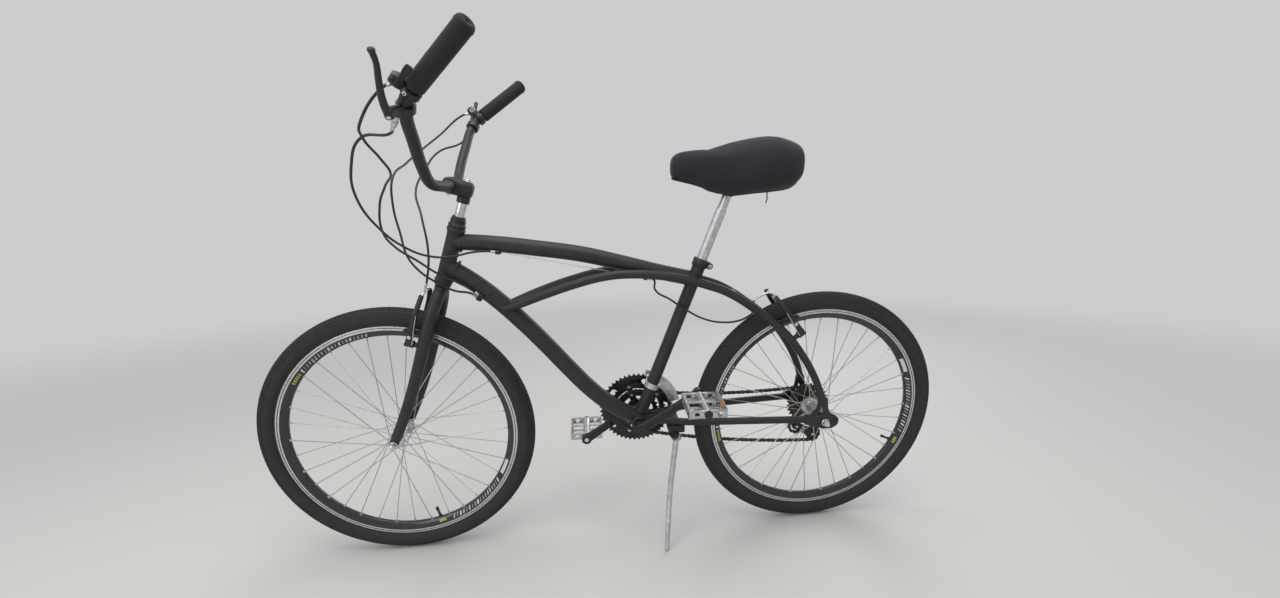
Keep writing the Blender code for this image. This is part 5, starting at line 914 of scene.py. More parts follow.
def rim_marks(piece, place):
    """Bars and patches on two arcs of a rim, the same on both sides."""
    for side in (1.0, -1.0):
        for arc, bars in ((43, 20), (213, 18)):
            for bar in range(bars):
                wide = (0.016, 0.007, 0.012, 0.007, 0.020)[bar % 5]
                finish = GREY_MARK if bar % 3 else WHITE_MARK
                slanted_mark(piece, place, arc + bar * 2, wide, 261.0 + (bar % 4) * 0.5, 270.0, 0.016,
                             side, finish)
        for patch in range(5):
            slanted_mark(piece, place, 34.5 + patch * 1.5, 0.015, 263.0, 269.0, 0.006, side,
                         YELLOW_MARK)
        for patch in range(3):
            slanted_mark(piece, place, 252.5 + patch * 1.4, 0.017, 262.0, 268.0, 0.0, side,
                         YELLOW_MARK)
        for patch in range(6):
            slanted_mark(piece, place, 200 + patch * 1.5, 0.027, 261.5, 269.5, 0.0, side, WHITE_MARK)


def make_rim(name, body, centre, node, turn):
    piece = Piece()
    profile = mm(RIM_PROFILE)
    profile += [(r, -a) for r, a in reversed(profile[:-1])]
    piece.turned(profile, centre, LEFT, RIM_BLACK_AND_SOCKET_SHADE, segments=144)
    for side in (1.0, -1.0):
        for low, high in ((274.0, 277.9), (279.7, 283.4)):
            band = mm([(low, side * 12.0), (low, side * 12.55), (low + 0.5, side * 12.8),
                       (high - 0.5, side * 12.8), (high, side * 12.55), (high, side * 12.0)])
            piece.turned(band, centre, LEFT, TRACK, segments=144)
    rim_marks(piece, Matrix.Translation(centre) @ Matrix.Rotation(turn, 4, "Y"))
    step = 2 * math.pi / SPOKES
    nipple_foot, nipple_way = (0.0, 2.0 * MM, 258.6 * MM), (0.0, 0.05, -1.0)
    nipple = Piece()
    nipple.turned(mm([(0, 0), (1.8, 0), (1.7, 4), (1.2, 9), (0, 9)]), nipple_foot, nipple_way,
                  SPOKE_STEEL, 10)
    nipple.turned(mm([(1.8, 0), (3.4, 0), (3.2, 0.9), (1.8, 0.9)]), nipple_foot, nipple_way,
                  SPOKE_STEEL, 14)
    left_ring = round_axle(nipple, SPOKES, SPOKE_STEEL)
    right_ring = left_ring.copy()
    for ring, shift, flip in ((left_ring, 0.0, 1.0), (right_ring, 0.5, -1.0)):
        start = Matrix.Rotation(math.pi / 2 - step * shift, 4, "Y")
        matrix = Matrix.Translation(centre) @ start @ Matrix.Diagonal((1.0, flip, 1.0, 1.0))
        piece.add_mesh(ring, SPOKE_STEEL, matrix)
    place = math.radians(VALVE_TURN)
    valve = Matrix.Rotation(turn, 3, "Y") @ Vector((math.cos(place), 0.0, math.sin(place)))
    low = centre + valve * 259 * MM
    piece.rod(low, low - valve * 7 * MM, 4.2 * MM, PLASTIC)
    piece.rod(low - valve * 7 * MM, low - valve * 22 * MM, 3.0 * MM, PLASTIC)
    piece.rod(low - valve * 22 * MM, low - valve * 30 * MM, 3.9 * MM, PLASTIC, 3.6 * MM)
    piece.hand_over(name, body, "rim_alloy", node)


make_rim("front_rim_banded", "front_wheel", FRONT, "front_rim", 0.0)
make_rim("rear_rim_banded", "rear_wheel", REAR, "rear_rim", math.radians(50))

# %% [markdown]
# The spokes leave their flanges on alternate faces and cross three others of their own side on
# the way to the rim. Every spoke is a swept wire with an elbow at the flange, so each hangs in
# its own hole. There are two kinds on a side, pulling and trailing, and each kind repeats.

# %% Hubs and laced spokes
FRONT_HUB = [(6.4, -40.0), (10.5, -40.0), (12.5, -39.2), (12.5, -36.5), (17.0, -35.6), (20.0, -35.0),
             (20.6, -34.0), (20.6, -32.0), (20.0, -31.0), (14.0, -29.4), (10.6, -25.0), (10.0, -18.0),
             (10.0, 18.0), (10.6, 25.0), (14.0, 29.4), (20.0, 31.0), (20.6, 32.0), (20.6, 34.0),
             (20.0, 35.0), (17.0, 35.6), (12.5, 36.5), (12.5, 39.2), (10.5, 40.0), (6.4, 40.0)]
REAR_HUB = [(6.4, -58.0), (15.0, -58.0), (15.5, -57.0), (15.5, -23.5), (22.5, -22.4), (23.9, -21.4),
            (23.9, -18.6), (22.5, -17.6), (15.0, -14.8), (13.0, -10.0), (12.4, 0.0), (13.0, 24.0),
            (15.0, 29.0), (22.5, 31.6), (23.9, 32.6), (23.9, 35.4), (22.5, 36.3), (15.0, 37.2),
            (15.0, 43.0), (14.0, 44.0), (6.4, 44.0)]
FLANGES = {"front": ((17.5, 33.0), (17.5, -33.0)), "rear": ((21.0, 34.0), (21.0, -20.0))}


def make_hub(name, body, centre, node, profile, flanges):
    piece = Piece()
    piece.turned(mm(profile), centre, LEFT, ALLOY, segments=56)
    step = 2 * math.pi / SPOKES
    for number, (hole_circle, place) in enumerate(flanges):
        for way in (1, -1):
            k = 1 if way > 0 else 0
            rim_turn = step * (k + 0.5 * number)
            hub_turn = rim_turn + way * step * 3
            face, side = place * MM + way * 2.2 * MM, (1.0 if place > 0 else -1.0)
            hole = Vector((math.cos(hub_turn), 0.0, math.sin(hub_turn))) * hole_circle * MM
            end = Vector((math.cos(rim_turn), 0.0, math.sin(rim_turn))) * 259 * MM
            end = end + LEFT * side * 2 * MM
            first = hole + LEFT * face
            way_on = (end - first).normalized()
            unit = Piece()
            other = hole + LEFT * (place * MM - way * 2.6 * MM)
            unit.tube([other, hole + LEFT * place * MM, first + way_on * 2.5 * MM, first.lerp(end, 0.5),
                       end], 1.0 * MM, SPOKE_STEEL, sides=8, steps=4)
            unit.turned(mm([(0, -0.9), (1.6, -0.5), (1.9, 0.4), (0, 0.5)]), other, LEFT * way,
                        SPOKE_STEEL, 12)
            piece.add_mesh(round_axle(unit, SPOKES // 2, SPOKE_STEEL), SPOKE_STEEL,
                           Matrix.Translation(centre))
    piece.hand_over(name, body, "alloy", node)


make_hub("front_hub_laced", "front_wheel", FRONT, "front_hub", FRONT_HUB, FLANGES["front"])
make_hub("rear_hub_laced", "rear_wheel", REAR, "rear_hub", REAR_HUB, FLANGES["rear"])

# %% Axles with their washers, nuts and thread
def make_axle(name, body, slot, centre, half, cones, node):
    piece = Piece()
    face = half + END_THICKNESS
    end = face + 16 * MM
    piece.rod(centre - LEFT * (end - 5 * MM), centre + LEFT * (end - 5 * MM), 5.0 * MM, CHROME)
    for _, side in SIDES:
        ridges = [(0.0, 8.5 * MM)]
        for k in range(10):
            ridges += [(4.55 * MM, (8.5 + k * 0.75) * MM), (5.0 * MM, (8.9 + k * 0.75) * MM)]
        ridges += [(4.0 * MM, 16.0 * MM), (0.0, 16.0 * MM)]
        piece.turned(ridges, centre + LEFT * side * face, LEFT * side, CHROME, segments=24)
        washer = mm([(5.2, 0.3), (9.6, 0.3), (10, 0.7), (10, 1.4), (9.6, 1.8), (5.2, 1.8)])
        piece.turned(washer, centre + LEFT * side * face, LEFT * side, CHROME, segments=36)
        collar = mm([(5, 1.6), (9.2, 1.6), (9.2, 2.6), (8.6, 3.2), (5, 3.2)])
        piece.turned(collar, centre + LEFT * side * face, LEFT * side, CHROME, segments=36)
        piece.nut(centre + LEFT * side * (face + 2.4 * MM), LEFT * side, 14.6 * MM, 6.6 * MM, CHROME,
                  bore=4.9 * MM)
    for start, stop in cones:
        low, high = sorted((start, stop))
        piece.turned(mm([(0, low), (7.6, low), (8, low + 0.6), (8, high - 0.6), (7.6, high),
                         (0, high)]), centre, LEFT, DARK_STEEL_AND_SOCKET_SHADE, segments=30)
    piece.hand_over(name, body, slot, node)


make_axle("front_axle_nuts", "steering", "steel", FRONT, FRONT_SPACING, ((49.7, 40.5), (-49.7, -40.5)),
          "front_axle")
make_axle("rear_axle_nuts", "frame", "steel", REAR, REAR_SPACING, ((67.2, 45.5), (-67.2, -64.8)),
          "rear_axle")

# %% [markdown]
# ## Steering
# The fork blades leave the crown in a tight bend and run straight down the wheel's sides. The
# stem holds a wide bar that first drops forward, then rises and sweeps back to the rider. Its
# grips are foam tubes over the bar, with a moulded cap at the end.

# %% Fork
BLADE_TOP, BLADE_LOW = 14.3 * MM, 11.8 * MM
BLADE_ROUTE = [(-0.026, 0.010, 0.0), (-0.045, 0.026, 0.0), (-0.072, 0.039, 0.0), (-0.115, 0.0465, 0.0),
               (-0.2, 0.0495, -0.001), (-0.28, 0.0510, 0.0), (-0.345, 0.0525, 0.004),
               (-0.398, 0.0530, 0.0095)]
BLADE_POST = (-154.8 * MM, -0.5 * MM, 48.2 * MM)     # along, ahead, out
fork = Piece()
crown = [(13.0, -9.3), (18.4, -9.3), (19.0, -10.0), (19.0, -13.0), (17.4, -15.0), (17.0, -16.0),
         (16.2, -27.0), (14.4, -43.0), (13.4, -44.0), (0.0, -44.0), (0.0, -40.0), (11.0, -38.0),
         (11.0, -9.3)]
fork.turned(mm(crown), HEAD_LOWER, HEAD_UP, PAINT, segments=44)
for _, side in SIDES:
    route = [on_head(along, ahead, side * out) for along, out, ahead in BLADE_ROUTE]
    sizes = [1.0 if i < 4 else 1.0 + (BLADE_LOW / BLADE_TOP - 1.0) * (i - 3) / 4 for i in range(8)]
    fork.tube(route, BLADE_TOP, PAINT, sides=32, steps=8, sizes=sizes)
    post = on_head(BLADE_POST[0], BLADE_POST[1], side * BLADE_POST[2])
    fork.rod(post, post + HEAD_AHEAD * (BLADE_TOP + 6 * MM), 6.0 * MM, PAINT, segments=24)
    tip = route[-1] - FRONT
    up = Vector((tip.x, 0.0, tip.z)).normalized()
    fore = Vector((up.z, 0.0, -up.x))
    outline = []
    for a, b in ((-10, 0), (-8, -8), (0, -12), (8, -8), (10.5, 0), (11, 12), (9, 30), (-9, 30),
                 (-10, 12)):
        point = fore * a * MM + up * b * MM
        outline.append((point.x, point.z))
    middle = side * (FRONT_SPACING + END_THICKNESS / 2)
    fork.plate([rounded(outline, 5 * MM), circle(5.3 * MM, 28)], END_THICKNESS,
               upright_plate(FRONT.x, middle, FRONT.z), PAINT, edge=0.8 * MM)
    bead_at = route[-1] + up * 2 * MM
    fork.turned(mm([(4, -4), (9.5, -3), (11.4, 1), (11.6, 4), (4, 4)]), bead_at, route[-2] - route[-1],
                PAINT, segments=32)
fork.hand_over("painted_fork", "steering", "black_paint", "steerer", "fork_blade_left",
               "fork_blade_right")

# %% Headset nut
HEADSET = [(14.6, 124.3), (18.0, 124.3), (18.6, 124.9), (19.4, 127.2), (19.6, 128.0), (19.6, 129.8),
           (19.0, 131.0), (17.6, 132.2), (17.0, 133.2), (17.0, 138.0), (16.4, 138.6), (17.0, 139.2),
           (17.0, 141.0), (16.2, 142.2), (14.4, 148.2), (13.6, 149.3), (11.5, 149.3), (11.5, 145.8),
           (14.6, 145.8)]
headset = Piece()
headset.turned(mm(HEADSET), HEAD_LOWER, HEAD_UP, PLASTIC, segments=48)
headset.hand_over("headset_stepped", "steering", "black_steel", "headset_nut")

# %% Stem
stem = Piece()
stem.rod(on_head(95 * MM), on_head(STEM_RISE - 4 * MM), 11.1 * MM, CHROME, segments=40)
stem.turned(mm([(10.9, 0), (13.2, 0), (14.1, 1), (14.1, 12.6), (13.4, 14), (10.9, 14)]),
            on_head(STEM_RISE - 30 * MM), HEAD_UP, PLASTIC, segments=44)
STEM_ROWS = [(-15.6, 10.5, 11.0), (-15.0, 12.4, 13.0), (-13.0, 14.0, 15.2), (-9.0, 17.0, 18.0),
             (11.1, 18.0, 18.0), (22.0, 21.0, 18.2), (34.0, 23.0, 18.0), (44.0, 22.6, 14.8),
             (46.6, 21.6, 12.0), (47.6, 19.6, 9.8)]
stem.moulded(on_head(STEM_RISE), [HEAD_AHEAD], LEFT, HEAD_UP, STEM_ROWS, PAINT, ease=0.42, steps=5)
for side in (1.0, -1.0):
    stem.turned(mm([(12.7, 0), (16, 0), (16.6, 0.8), (16.6, 2.2), (15.4, 3.4), (12.7, 3.4)]),
                on_head(STEM_RISE, STEM_REACH, side * 21.5 * MM), LEFT * side, PAINT, segments=40)
stem.turned(mm([(0, 17), (7.6, 17), (8, 17.6), (8, 19.6), (7, 20.4), (7, 23.4), (6.2, 24.2),
                (3.2, 24.2), (3, 20.6), (0, 20.6)]), on_head(STEM_RISE), HEAD_UP, CHROME, segments=24)
clamp_bolt = on_head(STEM_RISE - 16.5 * MM, STEM_REACH + 1 * MM)
stem.nut(clamp_bolt + LEFT * 8.4 * MM, LEFT, 10.5 * MM, 5.0 * MM, CHROME)
stem.rod(clamp_bolt - LEFT * 14 * MM, clamp_bolt + LEFT * 14 * MM, 3.4 * MM, CHROME, segments=20)
stem.hand_over("stem_with_bolt", "steering", "black_paint", "stem")

# %% Handlebar
BAR_CENTRE = on_head(STEM_RISE, STEM_REACH)
BAR_RADIUS, CLAMP_RADIUS, GRIP_RADIUS, GRIP_LENGTH = 11.1 * MM, 12.7 * MM, 16.5 * MM, 133 * MM
BAR_ROUTE = [(0.0, 0.0, 0.0), (0.0, 0.030, 0.0), (0.004, 0.075, 0.002), (0.012, 0.113, 0.010),
             (0.0125, 0.152, 0.040), (0.0065, 0.205, 0.0885), (0.001, 0.243, 0.124),
             (-0.009, 0.265, 0.1475), (-0.0285, 0.2765, 0.165), (-0.075, 0.300, 0.2045),
             (-0.1235, 0.3265, 0.244)]
bar = Piece()
half_bar = [BAR_CENTRE + Vector(step) for step in BAR_ROUTE]
whole_bar = mirrored(half_bar, -1)[:0:-1] + half_bar
bar_sizes = [CLAMP_RADIUS / BAR_RADIUS if abs(i - 10) < 2 else 1.0 for i in range(21)]
bar.tube(whole_bar, BAR_RADIUS, PAINT, sides=36, steps=12, sizes=bar_sizes)
bar.hand_over("bar", "steering", "black_paint", "handlebar")

# %% Grips
def control_frame(side, back):
    """A point on the bar, a way in from the grip, with the local directions there."""
    route = mirrored(half_bar, side)[::-1]
    distance = GRIP_LENGTH + back
    for start, end in zip(route, route[1:]):
        if distance <= (end - start).length:
            break
        distance -= (end - start).length
    along = (start - end).normalized()
    ahead = Vector((1.0, 0.0, 0.0))
    ahead = (ahead - along * ahead.dot(along)).normalized()
    return start - along * distance, along, ahead, ahead.cross(along) * side


for name, side in SIDES:
    grip = Piece()
    start, end = mirrored([half_bar[-3], half_bar[-1]], side)
    along = (end - start).normalized()
    base = end - along * GRIP_LENGTH
    r, cap = GRIP_RADIUS / MM, (GRIP_LENGTH + 8 * MM) / MM
    sleeve = [(11.4, 0.0), (r - 1.6, 0.0), (r - 0.5, 0.6), (r, 1.8), (r, 52.0), (r + 0.15, 53.0),
              (r + 0.15, 60.0), (r, 61.0), (r, cap - 12.0), (r + 0.5, cap - 11.4), (r + 0.7, cap - 10.0),
              (r + 0.7, cap - 8.6), (r + 0.1, cap - 7.8), (r - 0.1, cap - 6.0), (r - 1.4, cap - 2.6),
              (r - 4.0, cap - 0.4), (r - 6.5, cap), (7.4, cap - 0.2), (6.8, cap - 0.9), (3.4, cap - 1.0),
              (3.0, cap - 1.4), (2.8, cap - 5.0), (0.0, cap - 5.0), (0.0, cap - 7.6), (11.4, cap - 7.6)]
    grip.turned(mm(sleeve), base, along, FOAM, segments=56)
    grip.hand_over("foam_grip_" + name, "steering", "foam", "grip_" + name)

# %% [markdown]
# Each end of the bar carries a trigger shifter and a brake lever. They are moulded shapes that
# clamp round the bar. A skin through rounded rectangles gives them their soft edges, and small
# turned parts add the adjusting barrels, the pivot and the clamp bolts.

# %% Where the controls sit and where their cables leave
POD_BACK, LEVER_BACK = 12.0 * MM, 44.0 * MM      # in from the grip, along the bar


def pod_exit(side):
    """Where a shifter's cable leaves, and which way it goes."""
    middle, along, ahead, up = control_frame(side, POD_BACK)
    return (middle + ahead * 27 * MM - along * 10.6 * MM + up * 8 * MM,
            (-along + ahead * 0.5).normalized())


def lever_exit(side):
    """Where a brake lever's cable leaves, and which way it goes."""
    middle, along, ahead, up = control_frame(side, LEVER_BACK)
    return (middle + ahead * 16 * MM - along * 26 * MM - up * 22 * MM,
            (-along + ahead * 0.25).normalized())

# %% Shifters
def make_shifter(name, side):
    middle, along, ahead, up = control_frame(side, POD_BACK)
    pod = Piece()
    pod.turned(mm([(11.3, -6), (15.6, -6), (16.2, -5.2), (16.2, 5.2), (15.6, 6), (11.3, 6)]), middle,
               along, PLASTIC, segments=40)
    pod.moulded(middle + up * 6 * MM, [ahead], along, up, (
        (7, 6.0, 8.0), (10, 7.6, 9.6), (16, 10.0, 11.4), (22, 11.0, 12.0), (29, 10.4, 11.2),
        (34, 8.8, 9.6), (36, 6.6, 7.6)), PLASTIC, ease=0.5, steps=4)
    window = middle + ahead * 21 * MM + up * 17.6 * MM
    pod.moulded(window, [up], along, ahead, ((0.0, 7.0, 5.0), (0.9, 7.0, 5.0), (1.2, 6.4, 4.4)),
                GREY_MARK, ease=0.3)
    pod.moulded(window, [up], along, ahead, ((1.0, 5.2, 3.2), (1.5, 5.2, 3.2)), RIM_BLACK_AND_SOCKET_SHADE, ease=0.3)
    pod.moulded(middle + ahead * 22 * MM, [along, -up], ahead, up, (
        (0, 6, 4.4, 2.4), (10, 8, 4.4, 2.4), (22, 11, 5.0, 2.4), (34, 14, 6.2, 2.7),
        (42, 15.2, 6.0, 2.6), (45, 15.4, 4.4, 1.8)), PLASTIC, ease=0.7, steps=4)
    # This bolt's socket holds a dark hexagon of painted shade.
    pod.bolt(middle + ahead * 8 * MM - up * 15.0 * MM, -up, 3.6 * MM, 2.6 * MM, CHROME, RIM_BLACK_AND_SOCKET_SHADE)
    leave, way = pod_exit(side)
    pod.turned(mm([(1.6, -8), (4.6, -8), (4.8, -3), (4.2, -2.4), (4.4, -1.4), (3.6, 0), (1.6, 0)]),
               leave, way, PLASTIC, 24)
    pod.hand_over("trigger_shifter_" + name, "steering", "black_plastic", "shifter_" + name)

# %% Brake levers
def make_lever(name, side):
    middle, along, ahead, up = control_frame(side, LEVER_BACK)
    lever = Piece()
    lever.turned(mm([(11.3, -7), (15, -7), (15.7, -6.2), (15.7, 6.2), (15, 7), (11.3, 7)]), middle,
                 along, PLASTIC, segments=40)
    lever.moulded(middle, [ahead, along, -up], along, ahead, (
        (1, -1, 3, 7.0, 6.4), (2, 0, 6, 9.0, 8.0), (8, 1.4, 13, 10.4, 8.4), (14, 3, 20, 11.0, 8.0),
        (18, 6, 29, 10.2, 7.4), (20, 8, 36, 9.0, 7.0), (20.6, 8.6, 38.6, 6.6, 5.0)), PLASTIC,
        ease=0.5, steps=4)
    route = [middle + ahead * a * MM + along * b * MM - up * c * MM for a, b, c in
             ((18, 2, 34), (27, 30, 35), (32, 62, 31), (35, 90, 27), (40, 108, 27))]
    lever.tube(route, 5.0 * MM, PLASTIC, sides=20, steps=10, sizes=[1.5, 1.2, 1.0, 0.9, 1.0])
    lever.turned(mm([(0, -3.4), (3, -3), (5.2, -1.4), (5.8, 0.6), (5, 2.8), (2.8, 4.2), (0, 4.6)]),
                 route[-1], route[-1] - route[-2], PLASTIC, segments=28)
    pivot = middle + ahead * 19 * MM + along * 6 * MM - up * 33 * MM
    turn_axis = ahead.cross(along).normalized()
    lever.rod(pivot - turn_axis * 8.6 * MM, pivot + turn_axis * 8.6 * MM, 3.4 * MM, CHROME, segments=20)
    # This bolt's socket holds a dark hexagon of painted shade.
    lever.bolt(middle + ahead * 13 * MM - up * 8 * MM - along * 5 * MM, ahead, 3.6 * MM, 5.6 * MM,
               CHROME, RIM_BLACK_AND_SOCKET_SHADE)
    leave, way = lever_exit(side)
    lever.turned(mm([(1.8, -24), (4.3, -24), (4.5, -15), (3.8, -14.4), (3.8, -12.6), (5.4, -12),
                     (5.6, -7.4), (4.8, -6.8), (4.6, 0), (1.8, 0)]), leave, way, ALLOY, 28)
    lever.hand_over("brake_lever_shaped_" + name, "steering", "black_plastic", "brake_lever_" + name)


for name, side in SIDES:
    make_shifter(name, side)
    make_lever(name, side)

# %% [markdown]
# ## The drive
# Three toothed rings sit on one five-armed spider, and six cogs on the freewheel. A sprocket's
# tooth is made once, with its root, flanks and tip, and the outline repeats it by its number
# of teeth. The chain is a list of marks half an inch apart along its route, and the tree sets
# an inner link and an outer link on them in turn.

# %% Sprockets and chain rings
CHAIN_PITCH, CHAIN_LINE, RING_STEP, COG_STEP = 12.7 * MM, 40.0 * MM, 8.0 * MM, 5.5 * MM
RING_TEETH, RING_INNER = (28, 38, 48), (42.0 * MM, 60.0 * MM, 63.0 * MM)
COG_TEETH = (28, 24, 21, 18, 16, 14)
CRANK_DIRECTION = own(joints["left_pedal_spin"]["pos_m"]) - BB
CRANK_TURN = math.atan2(CRANK_DIRECTION.z, CRANK_DIRECTION.x)


def pitch_radius(teeth):
    return CHAIN_PITCH / (2 * math.sin(math.pi / teeth))


def toothed(teeth):
    """A sprocket's outline with a round root, two flanks and a narrow tip for each tooth."""
    pitch = pitch_radius(teeth)
    step = 2 * math.pi / teeth
    shape = ((0.0, -3.6), (0.16, -3.1), (0.30, -1.0), (0.41, 1.6), (0.47, 2.6), (0.53, 2.6),
             (0.59, 1.6), (0.70, -1.0), (0.84, -3.1))
    return [((pitch + rise * MM) * math.cos(step * (tooth + share)),
             (pitch + rise * MM) * math.sin(step * (tooth + share)))
            for tooth in range(teeth) for share, rise in shape]


def ring_side(index):
    return -(CHAIN_LINE + RING_STEP * index)


rings = Piece()
for index, (teeth, inner) in enumerate(zip(RING_TEETH, RING_INNER)):
    holes = [circle(inner, 64)]
    if index == 2:
        holes += [rounded([(x * math.cos(t) - y * math.sin(t), x * math.sin(t) + y * math.cos(t))
                           for x, y in ((0.070, -0.012), (0.085, -0.010), (0.085, 0.010),
                                        (0.070, 0.012))], 6 * MM)
                  for t in [CRANK_TURN + 2 * math.pi * k / 10 for k in range(1, 10, 2)]]
    rings.plate([toothed(teeth)] + holes, 2.0 * MM, upright_plate(BB.x, ring_side(index), BB.z),
                DARK_STEEL_AND_SOCKET_SHADE, edge=0.35 * MM)
spider = (ring_side(1) + ring_side(2)) / 2
rings.turned(mm([(17, -4.5), (26, -4.5), (27, -3.6), (27, 3.6), (26, 4.5), (17, 4.5)]),
             BB + LEFT * spider, LEFT, PLASTIC, segments=56)
for arm in range(5):
    turn = CRANK_TURN + math.pi * (1 + 2 * arm / 5) + math.pi / 5
    out = Vector((math.cos(turn), 0.0, math.sin(turn)))
    across = Vector((-out.z, 0.0, out.x))
    rings.moulded(BB + LEFT * spider, [out], across, LEFT, (
        (21, 11.0, 3.6), (30, 9.2, 3.6), (48, 7.6, 3.6), (64, 7.2, 3.6), (70, 6.4, 3.6),
        (72.5, 4.4, 3.6)), PLASTIC, ease=0.6, steps=4)
    for far, first, last in ((46, ring_side(0) + 1.8 * MM, spider),
                             (66.5, ring_side(1) + 1.4 * MM, ring_side(2) - 1.4 * MM)):
        post = BB + out * far * MM
        rings.rod(post + LEFT * first, post + LEFT * last, 4.5 * MM, ALLOY, segments=20)
    # This bolt's socket holds a dark hexagon of painted shade.
    rings.bolt(BB + out * 66.5 * MM + LEFT * (ring_side(2) - 1.2 * MM), -LEFT, 5.0 * MM, 1.6 * MM,
               CHROME, DARK_STEEL_AND_SOCKET_SHADE)
rings.hand_over("chainrings_toothed", "crankset", "black_steel", "chainrings")

# %% Freewheel
freewheel = Piece()
CHAIN_COG = 1        # the cog in line with the inner ring


def cog_side(index):
    return -(CHAIN_LINE + COG_STEP * (index - CHAIN_COG))


for index, teeth in enumerate(COG_TEETH):
    freewheel.plate([toothed(teeth), circle(20.5 * MM, 40)], 1.8 * MM,
                    upright_plate(0.0, cog_side(index), 0.0), CHAIN_STEEL,
                    edge=0.3 * MM)
drum_in, drum_out = cog_side(0) + 2.5 * MM, cog_side(5) - 1.5 * MM
freewheel.turned([(16.8 * MM, drum_in), (22.0 * MM, drum_in), (22.5 * MM, drum_in - 0.6 * MM),
                  (22.5 * MM, drum_out + 0.6 * MM), (22.0 * MM, drum_out), (16.8 * MM, drum_out)],
                 REAR, LEFT, DARK_STEEL_AND_SOCKET_SHADE, segments=56)
freewheel.hand_over("freewheel_toothed", "freewheel", "black_steel", "freewheel")

# %% Chain
PULLEY_RADIUS, CHAIN_SAG = 20.6 * MM, 14.0 * MM
GUIDE_PULLEY, TENSION_PULLEY = Vector((0.024, 0.0, -0.072)), Vector((-0.024, 0.0, -0.099))


def tangent_points(a, radius_a, b, radius_b):
    """Where a straight run leaves circle a and meets circle b; a negative one is passed clockwise."""
    apart = math.hypot(b[0] - a[0], b[1] - a[1])
    turn = math.atan2(b[1] - a[1], b[0] - a[0]) - math.acos((radius_a - radius_b) / apart)
    return ((a[0] + radius_a * math.cos(turn), a[1] + radius_a * math.sin(turn)),
            (b[0] + radius_b * math.cos(turn), b[1] + radius_b * math.sin(turn)))


def chain_marks():
    """Pins at an even spacing along the chain's closed line, in (ahead, up)."""
    wheels = [((BB.x, BB.z), pitch_radius(RING_TEETH[0])),
              ((0.0, 0.0), pitch_radius(COG_TEETH[CHAIN_COG])),
              ((GUIDE_PULLEY.x, GUIDE_PULLEY.z), -PULLEY_RADIUS),
              ((TENSION_PULLEY.x, TENSION_PULLEY.z), PULLEY_RADIUS)]
    runs = [tangent_points(*wheels[i], *wheels[(i + 1) % 4]) for i in range(4)]
    fine = []
    for i, (centre, radius) in enumerate(wheels):
        arrive, leave = runs[i - 1][1], runs[i][0]
        start = math.atan2(arrive[1] - centre[1], arrive[0] - centre[0])
        stop = math.atan2(leave[1] - centre[1], leave[0] - centre[0])
        sweep = (stop - start) % (2 * math.pi) - (2 * math.pi if radius < 0 else 0.0)
        for k in range(24):
            turn = start + sweep * k / 24
            fine.append((centre[0] + abs(radius) * math.cos(turn),
                         centre[1] + abs(radius) * math.sin(turn)))
        (x0, z0), (x1, z1) = runs[i]
        sag = CHAIN_SAG if i in (0, 3) else 0.0
        fine += [(x0 + (x1 - x0) * t, z0 + (z1 - z0) * t - 4 * sag * t * (1 - t))
                 for t in [k / 24 for k in range(24)]]
    loop = fine + fine[:1]
    lengths = [math.dist(a, b) for a, b in zip(loop, loop[1:])]
    count = 2 * round(sum(lengths) / CHAIN_PITCH / 2)
    pins, travelled, segment = [], 0.0, 0
    for i in range(count):
        target = i * sum(lengths) / count
        while travelled + lengths[segment] < target:
            travelled += lengths[segment]
            segment += 1
        share = (target - travelled) / lengths[segment]
        (x0, z0), (x1, z1) = loop[segment], loop[segment + 1]
        pins.append(Vector((x0 + (x1 - x0) * share, -CHAIN_LINE, z0 + (z1 - z0) * share)))
    return pins


def link(plate_y, thick, roller):
    """One link along +X from its pin: two waisted plates, with rollers or with pin heads."""
    unit = Piece()
    half, round_end, waist = CHAIN_PITCH / 2, 4.2 * MM, 2.9 * MM
    outline = []
    for k in range(9):
        t = -math.pi * 0.62 + 2 * math.pi * 0.62 * k / 8
        outline.append((half + round_end * math.cos(t), round_end * math.sin(t)))
    outline.append((0.0, waist))
    outline += [(-x, y) for x, y in reversed(outline[:9])]
    outline.append((0.0, -waist))
    for y in (plate_y, -plate_y):
        unit.plate([outline], thick, upright_plate(0.0, y, 0.0), CHAIN_STEEL, edge=0.15 * MM)
    for x in (-half, half):
        reach = plate_y - thick / 2 if roller else plate_y + thick / 2 + 0.4 * MM
        unit.rod((x, -reach, 0), (x, reach, 0), 3.8 * MM if roller else 1.8 * MM, CHAIN_STEEL,
                 segments=12)
    return unit


pins = chain_marks()
marks = [[], []]
for i, pin in enumerate(pins):
    following = pins[(i + 1) % len(pins)]
    along = (following - pin).normalized()
    turn = Matrix((along, LEFT, along.cross(LEFT))).transposed().to_4x4()
    marks[i % 2].append(Matrix.Translation((pin + following) / 2) @ turn)
chain = Piece()
chain.add_mesh(on_marks(link(1.95 * MM, 0.9 * MM, True), marks[0], CHAIN_STEEL), CHAIN_STEEL)
chain.add_mesh(on_marks(link(2.95 * MM, 0.9 * MM, False), marks[1], CHAIN_STEEL), CHAIN_STEEL)
chain.hand_over("linked_chain", "frame", "black_steel", "chain")
print("%d links" % len(pins))

# %% Cranks
CRANK_LENGTH = 170.0
# Along the arm, out, half width, half thickness, and how much farther out the right arm lies.
CRANK_ROWS = [(0.0, 57.5, 14.0, 7.5, 7.5), (45.0, 63.0, 12.0, 7.0, 4.5), (110.0, 72.0, 10.5, 6.5, 2.0),
              (CRANK_LENGTH, 78.0, 12.5, 6.5, 0.0)]


def crank_row(far, side):
    """The arm's section at a distance from the spindle: out, half width, half thickness."""
    _, out, width, thick, beside = row_between(CRANK_ROWS, far)
    return out + (beside if side < 0 else 0.0), width, thick


